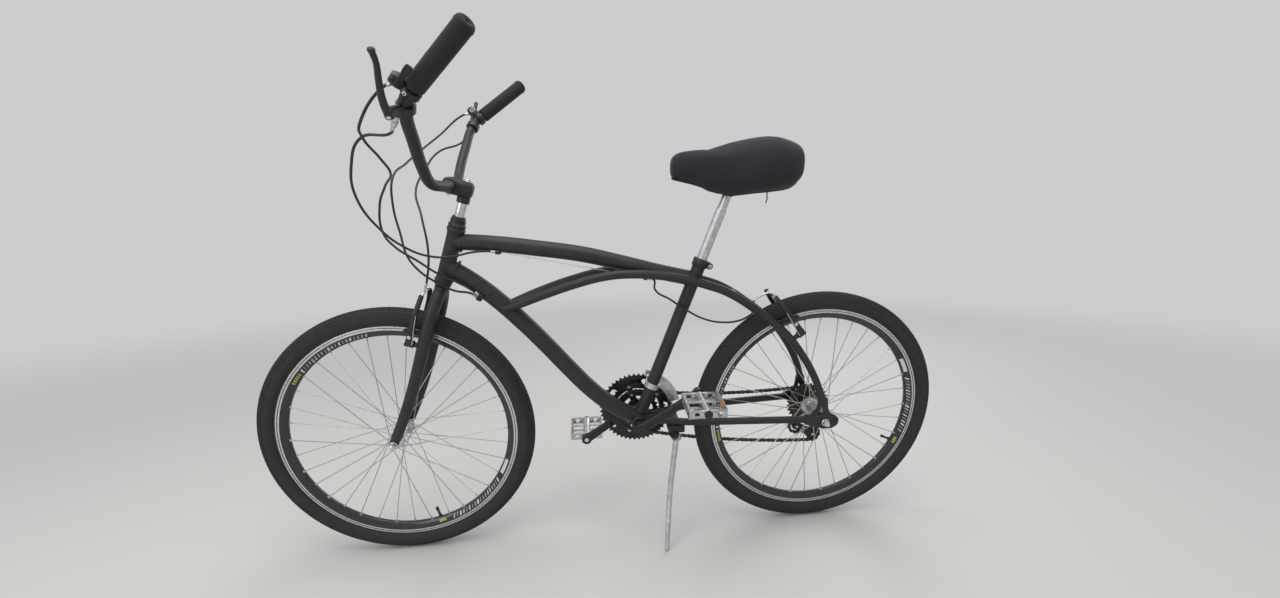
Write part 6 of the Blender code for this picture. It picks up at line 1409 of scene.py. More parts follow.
joints_at = {1.0: own(joints["left_pedal_spin"]["pos_m"]),
             -1.0: own(joints["right_pedal_spin"]["pos_m"])}
for name, side in SIDES:
    crank = Piece()
    along = joints_at[side] - BB
    along = Vector((along.x, 0.0, along.z)).normalized()
    across = Vector((-along.z, 0.0, along.x))
    rows = [(far, *crank_row(far, side)) for far in (2, 12, 28, 45, 70, 95, 120, 145, 160, 168)]
    crank.moulded(BB, [along, LEFT * side], across, LEFT, rows, DARK_STEEL_AND_SOCKET_SHADE, ease=0.62, steps=4)
    out, _, thick = crank_row(0.0, side)
    high = out + thick + 1.0
    crank.turned(mm([(0, 46), (15.6, 46), (16.5, 47), (16.5, high - 1.6), (15, high), (11.6, high),
                     (11, high - 0.8), (0, high - 0.8)]), BB, LEFT * side, DARK_STEEL_AND_SOCKET_SHADE, segments=48)
    crank.turned(mm([(0, high - 1.0), (10.6, high - 1.0), (10.6, high), (9.4, high + 0.5),
                     (3, high + 0.7), (2.6, high - 0.2), (0, high - 0.2)]), BB, LEFT * side, PLASTIC,
                 segments=40)
    out, _, thick = crank_row(CRANK_LENGTH, side)
    eye = BB + along * CRANK_LENGTH * MM + LEFT * side * out * MM
    half = (thick + 0.5) * MM
    crank.turned([(0.0, -half), (12.2 * MM, -half), (13.5 * MM, -half + 1.3 * MM),
                  (13.5 * MM, half - 1.3 * MM), (12.2 * MM, half), (0.0, half)], eye, LEFT,
                 DARK_STEEL_AND_SOCKET_SHADE, segments=40)
    crank.turned([(0.0, half), (8.4 * MM, half), (8.4 * MM, half + 2.4 * MM),
                  (7.6 * MM, half + 3.0 * MM), (0.0, half + 3.0 * MM)], eye, LEFT * side, CHROME,
                 segments=32)
    crank.rod(eye - LEFT * side * (half + 0.6 * MM), eye + LEFT * side * 104 * MM, 6.0 * MM, CHROME,
              segments=28)
    if side < 0:
        crank.rod(BB - LEFT * 51 * MM, BB + LEFT * 62 * MM, 8.5 * MM, DARK_STEEL_AND_SOCKET_SHADE, segments=32)
    crank.hand_over("crank_arm_" + name, "crankset", "black_steel", "crank_" + name)

# %% [markdown]
# A pedal is a bent cage of alloy round a barrel. Both long sides carry small teeth for the
# shoe, and an amber reflector sits between the toothed plates, with its cells as a bump.

# %% Pedals
CAGE_TEETH = 13
for name, side in SIDES:
    pedal = Piece()
    pin = joints_at[side]
    inner, outer = 9.0 * MM, 99.0 * MM
    half, thick = 44.0 * MM, 12.0 * MM
    flip = Matrix.Translation(pin) @ Matrix.Diagonal((1.0, side, 1.0, 1.0))
    for fore in (1.0, -1.0):
        teeth = [(inner, thick - 2.4 * MM)]
        for k in range(CAGE_TEETH):
            y = inner + (outer - inner) * (k + 0.5) / CAGE_TEETH
            teeth += [(y - 2.4 * MM, thick - 2.6 * MM), (y - 1.0 * MM, thick), (y + 1.0 * MM, thick),
                      (y + 2.4 * MM, thick - 2.6 * MM)]
        teeth.append((outer, thick - 2.4 * MM))
        outline = teeth + [(y, -z) for y, z in reversed(teeth)]
        window = rounded([(inner + 18 * MM, -6 * MM), (outer - 18 * MM, -6 * MM),
                          (outer - 18 * MM, 6 * MM), (inner + 18 * MM, 6 * MM)], 3 * MM)
        stand_up = Matrix(((0, 0, 1, fore * (half - 1.2 * MM)), (1, 0, 0, 0), (0, 1, 0, 0),
                           (0, 0, 0, 1)))
        pedal.plate([outline, window], 2.0 * MM, flip @ stand_up, ALLOY, edge=0.3 * MM, smooth=False)
        low_x, high_x = sorted((fore * (half - 7 * MM), fore * (half - 2.6 * MM)))
        pedal.block((low_x, inner + 16 * MM, -7 * MM), (high_x, outer - 16 * MM, 7 * MM), AMBER,
                    edge=0.8 * MM, matrix=flip)
    for y in (inner + 1.4 * MM, (inner + outer) / 2, outer - 1.4 * MM):
        for low, high in ((-thick * 0.72, -thick * 0.50), (thick * 0.50, thick * 0.72)):
            pedal.block((-half + 1 * MM, y - 4.5 * MM, low), (half - 1 * MM, y + 4.5 * MM, high), ALLOY,
                        edge=0.5 * MM, matrix=flip)
        if y != (inner + outer) / 2:
            wall = Matrix.Translation((0, y + (-3.6 if y < 0.05 else 3.6) * MM, 0))
            web = rounded([(-half + 2 * MM, -8 * MM), (half - 2 * MM, -8 * MM), (half - 2 * MM, 8 * MM),
                           (-half + 2 * MM, 8 * MM)], 4 * MM)
            holes = [circle(6.0 * MM, 24, (-26 * MM, 0.0)), circle(6.0 * MM, 24, (26 * MM, 0.0)),
                     circle(6.4 * MM, 24)]
            pedal.plate([web] + holes, 1.8 * MM, flip @ wall @ Matrix.Rotation(math.pi / 2, 4, "X"),
                        ALLOY, edge=0.3 * MM)
    barrel = [(6.5, 8.0), (10.0, 8.0), (11.0, 9.2), (11.0, 20.0), (9.6, 26.0), (9.6, 80.0), (11.0, 86.0),
              (11.0, 98.0), (10.0, 100.0), (6.5, 100.0)]
    pedal.turned(mm(barrel), pin, LEFT * side, ALLOY, segments=40)
    pedal.turned(mm([(0, 104.6), (0, 106.4), (6.6, 106.2), (9.2, 104.8), (9.8, 102), (9.8, 99),
                     (8.8, 99), (8.6, 104.4)]), pin, LEFT * side, PLASTIC, segments=40)
    pedal.hand_over("cage_pedal_" + name, "pedal_" + name, "alloy", "pedal_" + name)

# %% [markdown]
# The rear derailleur hangs below the axle. Its body reaches down to a cage with two toothed
# pulleys, and the chain runs over the first and under the second. The front derailleur is a
# cage of two curved plates, carried by a band round the seat tube.

# %% Rear derailleur's cage
CAGE_HALF = 5.55 * MM
cage = Piece()
span = (TENSION_PULLEY - GUIDE_PULLEY).length
down = (TENSION_PULLEY - GUIDE_PULLEY).normalized()
across = Vector((-down.z, 0.0, down.x))
for _, side in SIDES:
    centre = GUIDE_PULLEY + LEFT * (-CHAIN_LINE + side * CAGE_HALF)
    rows = [(-10, 3.0), (-9, 5.4), (-6, 7.8), (-2, 9.0), (6, 9.4), (span / MM - 4, 10.2),
            (span / MM + 4, 11.0), (span / MM + 9, 8.6), (span / MM + 12, 5.0)]
    cage.moulded(centre, [down], across, LEFT, [(a, w, 0.75) for a, w in rows], DARK_STEEL_AND_SOCKET_SHADE, ease=0.8)
for place, teeth in ((GUIDE_PULLEY, 9), (TENSION_PULLEY, 11)):
    middle = place - LEFT * CHAIN_LINE
    radius = 14.3 * MM if teeth == 9 else 19.8 * MM
    outline = []
    for k in range(teeth):
        for share, r in ((0.0, radius - 3.4 * MM), (0.3, radius - 2.0 * MM), (0.46, radius),
                         (0.54, radius), (0.7, radius - 2.0 * MM)):
            t = 2 * math.pi * (k + share) / teeth
            outline.append((r * math.cos(t), r * math.sin(t)))
    cage.plate([outline], 2.4 * MM, upright_plate(place.x, -CHAIN_LINE, place.z), PLASTIC)
    cage.rod(middle - LEFT * (CAGE_HALF + 2.4 * MM), middle + LEFT * (CAGE_HALF + 2.4 * MM), 3.9 * MM,
             CHROME, segments=24)
cage.hand_over("derailleur_cage_toothed", "frame", "black_steel", "derailleur_cage")

# %% Rear derailleur's body
changer = Piece()
hanger = Vector((0.0, -(REAR_SPACING + END_THICKNESS + GAP), -HANGER_DROP))
changer.turned(mm([(0, 0), (8.6, 0), (9, 0.5), (9, 7.6), (8, 8.8), (5, 9), (4, 8.2), (3.8, 5), (0, 5)]),
               hanger, -LEFT, DARK_STEEL_AND_SOCKET_SHADE, segments=32)
pivot = Vector((GUIDE_PULLEY.x, -CHAIN_LINE - 8.3 * MM - GAP, GUIDE_PULLEY.z))
changer.turned(mm([(0, 0), (9.4, 0), (10, 0.8), (10, 12.6), (9, 13.8), (5.4, 14), (0, 14)]), pivot,
               -LEFT, DARK_RED, segments=36)
# This bolt's socket holds a dark hexagon of painted shade.
changer.bolt(pivot - LEFT * 13.6 * MM, -LEFT, 4.6 * MM, 1.8 * MM, CHROME, RIM_BLACK_AND_SOCKET_SHADE)
knee = hanger + Vector((-6 * MM, -9 * MM, -18 * MM))
start, end = hanger + Vector((0, -5 * MM, 4 * MM)), pivot + Vector((0, -7 * MM, 0))
ROWS = [(start, 7.2, 3.8), (start.lerp(knee, 0.3), 8.6, 5.0), (start.lerp(knee, 0.75), 9.8, 6.6),
        (knee, 10.2, 7.0), (knee.lerp(end, 0.3), 10.0, 6.9), (knee.lerp(end, 0.7), 9.4, 6.4),
        (end, 8.6, 5.8)]
changer.skin([slab(point, (1, 0, 0), LEFT, w * MM, h * MM, ease=0.5, steps=4) for point, w, h in ROWS],
             DARK_RED)
changer.block(knee + Vector((-6 * MM, -8.4 * MM, -9 * MM)), knee + Vector((6 * MM, -5.8 * MM, 9 * MM)),
              DARK_STEEL_AND_SOCKET_SHADE, edge=1.0 * MM)
# These bolts' sockets hold a dark hexagon of painted shade.
for up in (-5, 5):
    changer.bolt(knee + Vector((0, -8.2 * MM, up * MM)), -LEFT, 2.6 * MM, 1.4 * MM, CHROME, RIM_BLACK_AND_SOCKET_SHADE)
changer.hand_over("rear_derailleur_shaped", "frame", "black_plastic", "rear_derailleur")

# %% Front derailleur
FRONT_IN, FRONT_OUT = CHAIN_LINE - CAGE_HALF, CHAIN_LINE + CAGE_HALF
CLAMP_UP = 98 * MM
front = Piece()


def arc_band(inner, outer, start, stop, count):
    """A band between two radii about the bottom bracket, as an outline."""
    turns = [math.radians(start + (stop - start) * i / count) for i in range(count + 1)]
    return ([(outer * MM * math.cos(t), outer * MM * math.sin(t)) for t in turns]
            + [(inner * MM * math.cos(t), inner * MM * math.sin(t)) for t in reversed(turns)])


band = [(15.95, 91.0), (18.2, 91.0), (18.9, 91.7), (18.9, 93.0), (18.4, 93.6), (18.4, 102.4),
        (18.9, 103.0), (18.9, 104.3), (18.2, 105.0), (15.95, 105.0)]
front.turned(mm(band), BB, SEAT_UP, ALLOY, segments=48)
for place, inner, start_at in ((FRONT_IN, 88, 108), (FRONT_OUT, 97, 102)):
    front.plate([rounded(arc_band(inner, 116, start_at, 166, 14), 1.5 * MM)], 1.5 * MM,
                upright_plate(BB.x, -place, BB.z), ALLOY, edge=0.3 * MM)
top = on_seat(CLAMP_UP)
hold = top + Vector((0.0, -21.9 * MM, 0.0))
front.block(hold + Vector((-10 * MM, -9 * MM, -6 * MM)), hold + Vector((12 * MM, 5 * MM, 18 * MM)),
            ALLOY, edge=2.6 * MM, steps=3)
# These bolts' sockets hold a dark hexagon of painted shade.
for x, z in ((-4, 3), (6, 10)):
    front.bolt(hold + Vector((x * MM, -8.8 * MM, z * MM)), -LEFT, 3.2 * MM, 2.0 * MM, CHROME, RIM_BLACK_AND_SOCKET_SHADE)
for degrees, far, near, radius, finish, segments in (
        (112, 112, 22.2 * MM, 4.0 * MM, ALLOY, 24), (164, 103, FRONT_IN - 1 * MM, 2.5 * MM, CHROME, 18)):
    t = math.radians(degrees)
    spot = BB + Vector((far * MM * math.cos(t), 0.0, far * MM * math.sin(t)))
    front.rod(spot - LEFT * (FRONT_OUT + 1 * MM), spot - LEFT * near, radius, finish, segments=segments)
front.hand_over("front_derailleur_shaped", "frame", "alloy", "front_derailleur")

# %% [markdown]
# ## Brakes
# A brake is two long arms on posts, each with a pad beside the rim's bright band. A bent pipe
# leads the cable in from the left and a wire crosses to the right arm's bolt.

# %% Shape of a brake arm
ARM_ROWS = ((0.0, 0.0, 8.0, 7.0), (30.0, 4.0, 7.0, 6.0), (78.0, 1.0, 6.0, 5.0),
            (112.0, -16.0, 5.5, 4.5))      # up the arm, out, half depth, half thickness in mm
SPRING_UP = 70.0                           # where the spring's end bears on the arm, in mm
PAD_RADIUS = RIM_RADIUS - 6.5 * MM
REAR_NOODLE_END = Vector((0.190, 0.020, 0.296))


def arm_top(pivot, post, arm_up, side):
    return pivot + post * 12 * MM + arm_up * 112 * MM - LEFT * side * 16 * MM


def make_brake_arm(piece, wheel, pivot, post, arm_up, pad_up, side):
    piece.turned(mm([(0, 0), (8, 0), (8.5, 0.6), (8.5, 19), (7.6, 20), (0, 20)]), pivot, post, PLASTIC,
                 segments=36)
    # This bolt's socket holds a dark hexagon of painted shade.
    piece.bolt(pivot + post * 19.8 * MM, post, 5.4 * MM, 2.6 * MM, CHROME, RIM_BLACK_AND_SOCKET_SHADE)
    middle = pivot + post * 12 * MM
    rows = []
    for up in (-6.0, 0.0, 8.0, 18.0, 30.0, 46.0, 62.0, 78.0, 90.0, 101.0, 110.0, 113.0):
        _, out, depth, thick = row_between(ARM_ROWS, up)
        size = 0.62 if up in (-6.0, 113.0) else 1.0
        rows.append((up, out, depth * size, thick * size))
    piece.moulded(middle, [arm_up, LEFT * side], post, LEFT, rows, PLASTIC, ease=0.45)
    hold = middle + arm_up * pad_up * MM
    outwards = Vector((hold.x - wheel.x, 0.0, hold.z - wheel.z)).normalized()
    along_rim = LEFT.cross(outwards)
    if along_rim.dot(post) < 0:
        along_rim = -along_rim
    spot = wheel + outwards * PAD_RADIUS + LEFT * side * 20.5 * MM
    piece.moulded(spot, [along_rim], LEFT, outwards, (
        (-32, 3.0, 2.4), (-31, 4.4, 3.2), (-26, 5.0, 4.0), (-9, 5.0, 4.0), (-8, 4.6, 3.7),
        (-7, 5.0, 4.0), (7, 5.0, 4.0), (8, 4.6, 3.7), (9, 5.0, 4.0), (18, 5.0, 4.0),
        (23, 4.4, 3.2), (24, 3.0, 2.4)), RUBBER, ease=0.5)
    reach = abs(hold.y) - abs(spot.y) + 12 * MM
    piece.rod(spot, spot + LEFT * side * reach, 3.2 * MM, CHROME, segments=20)
    piece.turned([(0.0, reach - 7.4 * MM), (5.6 * MM, reach - 7.4 * MM), (5.6 * MM, reach - 5.4 * MM),
                  (0.0, reach - 5.0 * MM)], spot, LEFT * side, CHROME, segments=28)
    piece.nut(spot + LEFT * side * (reach - 5.0 * MM), LEFT * side, 8.6 * MM, 4.6 * MM, CHROME)
    top = arm_top(pivot, post, arm_up, side)
    # This bolt's socket holds a dark hexagon of painted shade.
    piece.bolt(top + post * 4.4 * MM, post, 3.6 * MM, 3.0 * MM, CHROME, RIM_BLACK_AND_SOCKET_SHADE)
    base = pivot + post * 3 * MM + LEFT * side * 8.4 * MM
    _, out, _, thick = row_between(ARM_ROWS, SPRING_UP)
    spring_end = middle + arm_up * SPRING_UP * MM - post * 3 * MM
    spring_end = spring_end + LEFT * side * (out + thick + 0.9) * MM
    piece.tube([base, base + arm_up * 12 * MM + LEFT * side * 2.4 * MM,
                base.lerp(spring_end, 0.6) + LEFT * side * 2 * MM, spring_end], 0.9 * MM, CHROME,
               sides=8, steps=5)


def wire_between(piece, first, second):
    piece.tube([first, first.lerp(second, 0.5) + UP * 0.6 * MM, second], 0.8 * MM, CHROME, sides=8)

# %% The four brake arms
for name, side in SIDES:
    arm = Piece()
    pivot = stay_boss(side) + STAY_BACK * (20 * MM + GAP)
    make_brake_arm(arm, REAR, pivot, STAY_BACK, STAY_UP, 35, side)
    top = arm_top(pivot, STAY_BACK, STAY_UP, side)
    if side > 0:
        pipe = [top - STAY_UP * 5 * MM, top + STAY_UP * 12 * MM + Vector((4 * MM, -3 * MM, 0)),
                top + Vector((24 * MM, -8 * MM, 6 * MM)), REAR_NOODLE_END + Vector((0, 0, 14 * MM)),
                REAR_NOODLE_END]
        arm.tube(pipe, 2.7 * MM, CHROME, sides=20, steps=12)
        other = arm_top(stay_boss(-1.0) + STAY_BACK * (20 * MM + GAP), STAY_BACK, STAY_UP, -1.0)
        boot = top.lerp(other, 0.5)
        wire_between(arm, top, other)
        arm.rod(top.lerp(other, 0.16), boot, 3.4 * MM, RUBBER, 2.2 * MM)
    arm.hand_over("rear_brake_arm_" + name, "frame", "black_plastic", "rear_brake_" + name)

    arm = Piece()
    pivot = on_head(BLADE_POST[0], BLADE_POST[1], side * BLADE_POST[2])
    pivot = pivot + HEAD_AHEAD * (BLADE_TOP + 6 * MM + GAP)
    make_brake_arm(arm, FRONT, pivot, HEAD_AHEAD, HEAD_UP, 17, side)
    top = arm_top(pivot, HEAD_AHEAD, HEAD_UP, side)
    if side > 0:
        NOODLE_END = top + HEAD_UP * 20 * MM - LEFT * 4 * MM - HEAD_AHEAD * 3 * MM
        arm.tube([top - HEAD_UP * 5 * MM, NOODLE_END - HEAD_UP * 12 * MM, NOODLE_END], 2.7 * MM,
                 CHROME, sides=20, steps=10)
        wire_between(arm, top, top - LEFT * 2 * (abs(top.y) - 1 * MM))
    arm.hand_over("front_brake_arm_" + name, "steering", "black_plastic", "front_brake_" + name)

# %% The stand's bracket
STAND = own(joints["side_stand_fold"]["pos_m"])
STAND_AXIS = (UPRIGHT.to_3x3() @ Vector(joints["side_stand_fold"]["axis"])).normalized()
if STAND_AXIS.z < 0:
    STAND_AXIS = -STAND_AXIS
bracket = Piece()
bracket.block((STAND.x - 21.0 * MM, 2 * MM, STAND.z + 14 * MM),
              (STAND.x + 20.7 * MM, 44 * MM, -1.8 * MM), DARK_STEEL_AND_SOCKET_SHADE, edge=2.4 * MM, steps=3)
start = STAND + STAND_AXIS * 6.3 * MM
bracket.turned(mm([(0, 0), (9, 0), (9.5, 0.6), (9.5, 14), (0, 14)]), start, STAND_AXIS, DARK_STEEL_AND_SOCKET_SHADE,
               segments=40)
bracket.rod(STAND - STAND_AXIS * 9 * MM, start + STAND_AXIS * 10 * MM, 4.9 * MM, CHROME, segments=28)
bracket.turned(mm([(0, -10.5), (6.4, -10.5), (7.6, -9.6), (7.6, -7), (0, -7)]), STAND, STAND_AXIS,
               CHROME, segments=32)
bracket.hand_over("stand_bracket_shaped", "frame", "black_steel", "stand_bracket")

# %% The stand's leg
leg = Piece()
STAND_KNEE = BB + Vector((-74.8 * MM, 56.1 * MM, 0.0))
STAND_KNEE.z = -179.4 * MM
drop = (TYRE_RADIUS - TYRE_SECTION) * math.cos(LEAN) + TYRE_SECTION - 0.2 * MM
STAND_FOOT = Vector((BB.x - 57.1 * MM, 122.1 * MM, 0.0))
STAND_FOOT.z = (5.5 * MM - drop + STAND_FOOT.y * math.sin(LEAN)) / math.cos(LEAN)
route = [STAND, STAND.lerp(STAND_KNEE, 0.5), STAND.lerp(STAND_KNEE, 0.88),
         STAND_KNEE.lerp(STAND_FOOT, 0.14), STAND_KNEE.lerp(STAND_FOOT, 0.5), STAND_FOOT]
leg.tube(route, 7.3 * MM, ALLOY, sides=28, steps=8, sizes=[1.0, 1.0, 1.0, 0.97, 0.9, 0.753])
leg.turned(mm([(5.4, -6), (11.7, -6), (12.5, -5.2), (12.5, 5.2), (11.7, 6), (5.4, 6)]), STAND,
           STAND_AXIS, ALLOY, segments=48)
foot = [(5.5 * MM * math.cos(t), 5.5 * MM * math.sin(t)) for t in
        [math.radians(-90 + 180 * k / 12) for k in range(13)]]
foot[0], foot[-1] = (0.0, foot[0][1]), (0.0, foot[-1][1])
leg.turned(foot, STAND_FOOT, route[-1] - route[-2], ALLOY, segments=32)
leg.hand_over("stand_leg_shaped", "side_stand", "alloy", "stand_leg")

# %% [markdown]
# ## Seat post, clamp and rails
# The post is drawn alloy tube with fine flutes along it. Its rod clamps the two rails, which
# splay out to the back of the saddle and run together under the nose.

# %% Seat post
post = Piece()
neck = SEAT_POST_TOP - 45 * MM
rows = []
for along in (339 * MM, neck):
    ring = []
    matrix = point_matrix(on_seat(along), SEAT_UP, LEFT)
    for k in range(144):
        turn = 2 * math.pi * k / 144
        flute = 0.28 * MM * (1 if (k // 2) % 2 else 0) * (1 if 12 < (k % 36) < 26 else 0)
        radius = 12.65 * MM - flute
        ring.append(matrix @ Vector((radius * math.cos(turn), radius * math.sin(turn), 0.0)))
    rows.append(ring)
post.skin(rows, ALLOY)
post.turned([(0.0, neck - 0.2 * MM), (12.4 * MM, neck - 0.2 * MM), (12.4 * MM, neck + 0.6 * MM),
             (11.0 * MM, neck + 6 * MM), (11.0 * MM, SEAT_POST_TOP), (0.0, SEAT_POST_TOP)], BB,
            SEAT_UP, ALLOY, segments=48)
top = on_seat(SEAT_POST_TOP)
clamp_rod = [(0.0, -27.0), (4.0, -27.0), (4.2, -24.6), (8.6, -24.6), (9.0, -24.0), (9.0, -22.2),
             (10.4, -22.0), (11.0, -21.2), (11.0, -12.0), (10.2, -11.4), (10.2, 11.4), (11.0, 12.0),
             (11.0, 21.2), (10.4, 22.0), (9.0, 22.2), (9.0, 24.0), (8.6, 24.6), (4.2, 24.6),
             (4.0, 27.0), (0.0, 27.0)]
post.turned(mm(clamp_rod), top, LEFT, DARK_STEEL_AND_SOCKET_SHADE, segments=40)
for _, side in SIDES:
    post.nut(top + LEFT * side * 24.2 * MM, LEFT * side, 11.0 * MM, 3.6 * MM, CHROME)
post.hand_over("fluted_seat_post", "frame", "alloy", "seat_post")

# %% Seat clamp
seat_clamp = Piece()
behind = Vector((-SEAT_UP.z, 0.0, SEAT_UP.x))
ring = [(16.2, 423.2), (18.3, 423.2), (18.9, 424.0), (18.9, 442.0), (18.3, 442.9), (16.6, 443.0),
        (13.4, 443.0), (13.4, 439.6), (16.2, 439.4)]
seat_clamp.turned(mm(ring), BB, SEAT_UP, PAINT, segments=56)
middle = on_seat(433 * MM) + behind * 22.9 * MM
for _, side in SIDES:
    low, high = sorted((side * 1.4 * MM, side * 9 * MM))
    seat_clamp.turned([(0.0, low), (7.4 * MM, low), (8.0 * MM, low + 0.6 * MM),
                       (8.0 * MM, high - 0.6 * MM), (7.4 * MM, high), (0.0, high)], middle, LEFT, PAINT,
                      segments=36)
seat_clamp.rod(middle - LEFT * 9 * MM, middle + LEFT * 9 * MM, 3.0 * MM, CHROME, segments=20)
# This bolt's socket holds a dark hexagon of painted shade.
seat_clamp.bolt(middle + LEFT * 9 * MM, LEFT, 5.0 * MM, 4.2 * MM, CHROME, RIM_BLACK_AND_SOCKET_SHADE)
seat_clamp.nut(middle - LEFT * 9 * MM, -LEFT, 8.6 * MM, 4.0 * MM, CHROME)
seat_clamp.hand_over("seat_clamp_eased", "frame", "black_paint", "seat_clamp")

# %% Saddle rails
rails = Piece()
RAIL_UNDER = 606.7 * MM
rail_front, rail_rear = Vector((0.342, 0.0, RAIL_UNDER)), Vector((0.150, 0.0, RAIL_UNDER))
for _, side in SIDES:
    route = [rail_rear + LEFT * side * 38 * MM, rail_rear + Vector((14, side * 33, -14)) * MM]
    route += [Vector((top.x + ahead * MM, side * 20 * MM, top.z)) for ahead in (-45, 0, 32)]
    route += [rail_front + Vector((-16, side * 11, -12)) * MM, rail_front + LEFT * side * 3 * MM]
    rails.tube(route, 3.5 * MM, DARK_STEEL_AND_SOCKET_SHADE, sides=20, steps=10)
rails.rod(rail_front - LEFT * 12 * MM, rail_front + LEFT * 12 * MM, 4.9 * MM, DARK_STEEL_AND_SOCKET_SHADE, segments=24)
rails.rod(rail_rear - LEFT * 44 * MM, rail_rear + LEFT * 44 * MM, 4.9 * MM, DARK_STEEL_AND_SOCKET_SHADE, segments=24)
rails.hand_over("bent_rails", "frame", "black_steel", "saddle_rails")

# %% [markdown]
# ## The saddle's cover
# The padded cover is sewn from knit fabric over gel, and a drawcord pulls its hem together
# under the saddle. The shape starts from sections a little smaller than the real ones. The
# cloth simulation then inflates it, which rounds the sides and leaves a few soft folds, as
# pressed padding has. How far a point may move is capped, so the size stays true.

# %% Sections of the cover
FABRIC = mottled("black knit fabric", (0.0080, 0.0088, 0.0125), (0.0150, 0.0165, 0.0225), (0.80, 0.95),
                 scale=24.0, grain=1500.0, bump=0.55, sheen=0.07)
# How far ahead of the axle, half width, top, rim, and whether the section is hollow below.
SADDLE = [(0.108, 0.052, 0.664, 0.604, 0), (0.113, 0.078, 0.680, 0.594, 0),
          (0.135, 0.094, 0.690, 0.581, 1), (0.170, 0.098, 0.698, 0.575, 1),
          (0.210, 0.086, 0.694, 0.571, 1), (0.250, 0.064, 0.686, 0.566, 1),
          (0.272, 0.052, 0.681, 0.567, 1), (0.300, 0.044, 0.675, 0.577, 1),
          (0.335, 0.037, 0.671, 0.589, 1), (0.372, 0.031, 0.664, 0.599, 0),
          (0.388, 0.023, 0.654, 0.604, 0), (0.392, 0.012, 0.644, 0.614, 0)]
SHRINK = 1.6 * MM
HOLLOW_ROOF = 0.6085
ROUND_ACROSS, ROUND_UP = 0.7, 0.75      # powers under 1 make the section squarer than an ellipse
TOP_CAP, RIM_CAP, RIM_ZONE = 3.4 * MM, 1.2 * MM, 0.60
CLOTH_FRAMES = 20


def saddle_rows():
    """The sections, eased between the given ones."""
    rows = []
    for i in range(len(SADDLE) - 1):
        a, b = SADDLE[max(i - 1, 0)], SADDLE[i]
        c, d = SADDLE[i + 1], SADDLE[min(i + 2, len(SADDLE) - 1)]
        for k in range(4):
            t = k / 4
            rows.append([0.5 * (2 * q + (r - p) * t + (2 * p - 5 * q + 4 * r - s) * t * t
                                + (3 * q - p - 3 * r + s) * t ** 3)
                         for p, q, r, s in zip(a, b, c, d)])
    return rows + [list(SADDLE[-1])]


def saddle_ring(row, shrink):
    """A section of the cover: over the outside, then back along the inside of the hollow."""
    ahead, half, top, rim, hollow = row
    hollow = min(max(hollow, 0.0), 1.0)
    half, top = half - shrink, top - shrink
    middle, height = (top + rim) / 2, (top - rim) / 2
    ring = []
    for k in range(29):
        turn = math.radians(-64 + 308 * k / 28)
        c, s = math.cos(turn), math.sin(turn)
        ring.append(Vector((ahead, math.copysign(abs(c) ** ROUND_ACROSS, c) * half,
                            middle + math.copysign(abs(s) ** ROUND_UP, s) * height)))
    edge_y, edge_z = abs(ring[0].y), ring[0].z
    roof = edge_z + (HOLLOW_ROOF - edge_z) * hollow
    inner = max(edge_y - 4.0 * MM, 1.0 * MM)
    for k in range(9):
        t = k / 8
        rise = min(1.0, 4 * min(t, 1 - t)) ** 0.6
        ring.append(Vector((ahead, -inner + 2 * inner * t, edge_z - 0.5 * MM + (roof - edge_z) * rise)))
    return ring


print(len(saddle_rows()), "sections")

# %% The cover, swollen by a cloth simulation
cover = Piece()
cover.skin([saddle_ring(row, SHRINK) for row in saddle_rows()], FABRIC)
mesh = cover.as_mesh("cover")
pad = into_scene("padded_cover", mesh)
remesh = pad.modifiers.new("even", "REMESH")
remesh.mode = "VOXEL"
remesh.voxel_size = 4.0 * MM
even = baked(pad)
pad.modifiers.remove(remesh)
pad.data = even
bpy.data.meshes.remove(mesh)
before = [vert.co.copy() for vert in even.vertices]
scene = bpy.context.scene
scene.frame_set(1)
cloth = pad.modifiers.new("swell", "CLOTH")
cloth.settings.quality = 6
cloth.settings.mass = 0.2
cloth.settings.tension_stiffness = cloth.settings.compression_stiffness = 14.0
cloth.settings.bending_stiffness = 0.6
cloth.settings.use_pressure = True
cloth.settings.uniform_pressure_force = 4.0
cloth.settings.effector_weights.gravity = 0.0
cloth.settings.shrink_min = -0.03
for step in range(1, CLOTH_FRAMES + 1):
    scene.frame_set(step)
swollen = baked(pad)
pad.modifiers.remove(cloth)
pad.data = swollen
bpy.data.meshes.remove(even)
scene.frame_set(1)
furthest = 0.0
for vert, start in zip(pad.data.vertices, before):
    move = vert.co - start
    cap = TOP_CAP if start.z > RIM_ZONE else RIM_CAP
    if move.length > cap:
        vert.co = start + move.normalized() * cap
    furthest = max(furthest, (vert.co - start).length)
smooth = pad.modifiers.new("smooth", "SMOOTH")
smooth.factor, smooth.iterations = 0.5, 3
finer = pad.modifiers.new("finer", "SUBSURF")
finer.levels = finer.render_levels = 1
result = baked(pad)
bpy.data.objects.remove(pad)
print("cover: %d faces, moved up to %.1f mm" % (len(result.polygons), furthest / MM))
outside = bmesh.new()
outside.from_mesh(result)
surface = BVHTree.FromBMesh(outside)
outside.free()

padded = Piece()
padded.add_mesh(result, FABRIC)
padded = padded.hand_over("padded_saddle_cover", "frame", "fabric", "saddle_cover", angle=80)

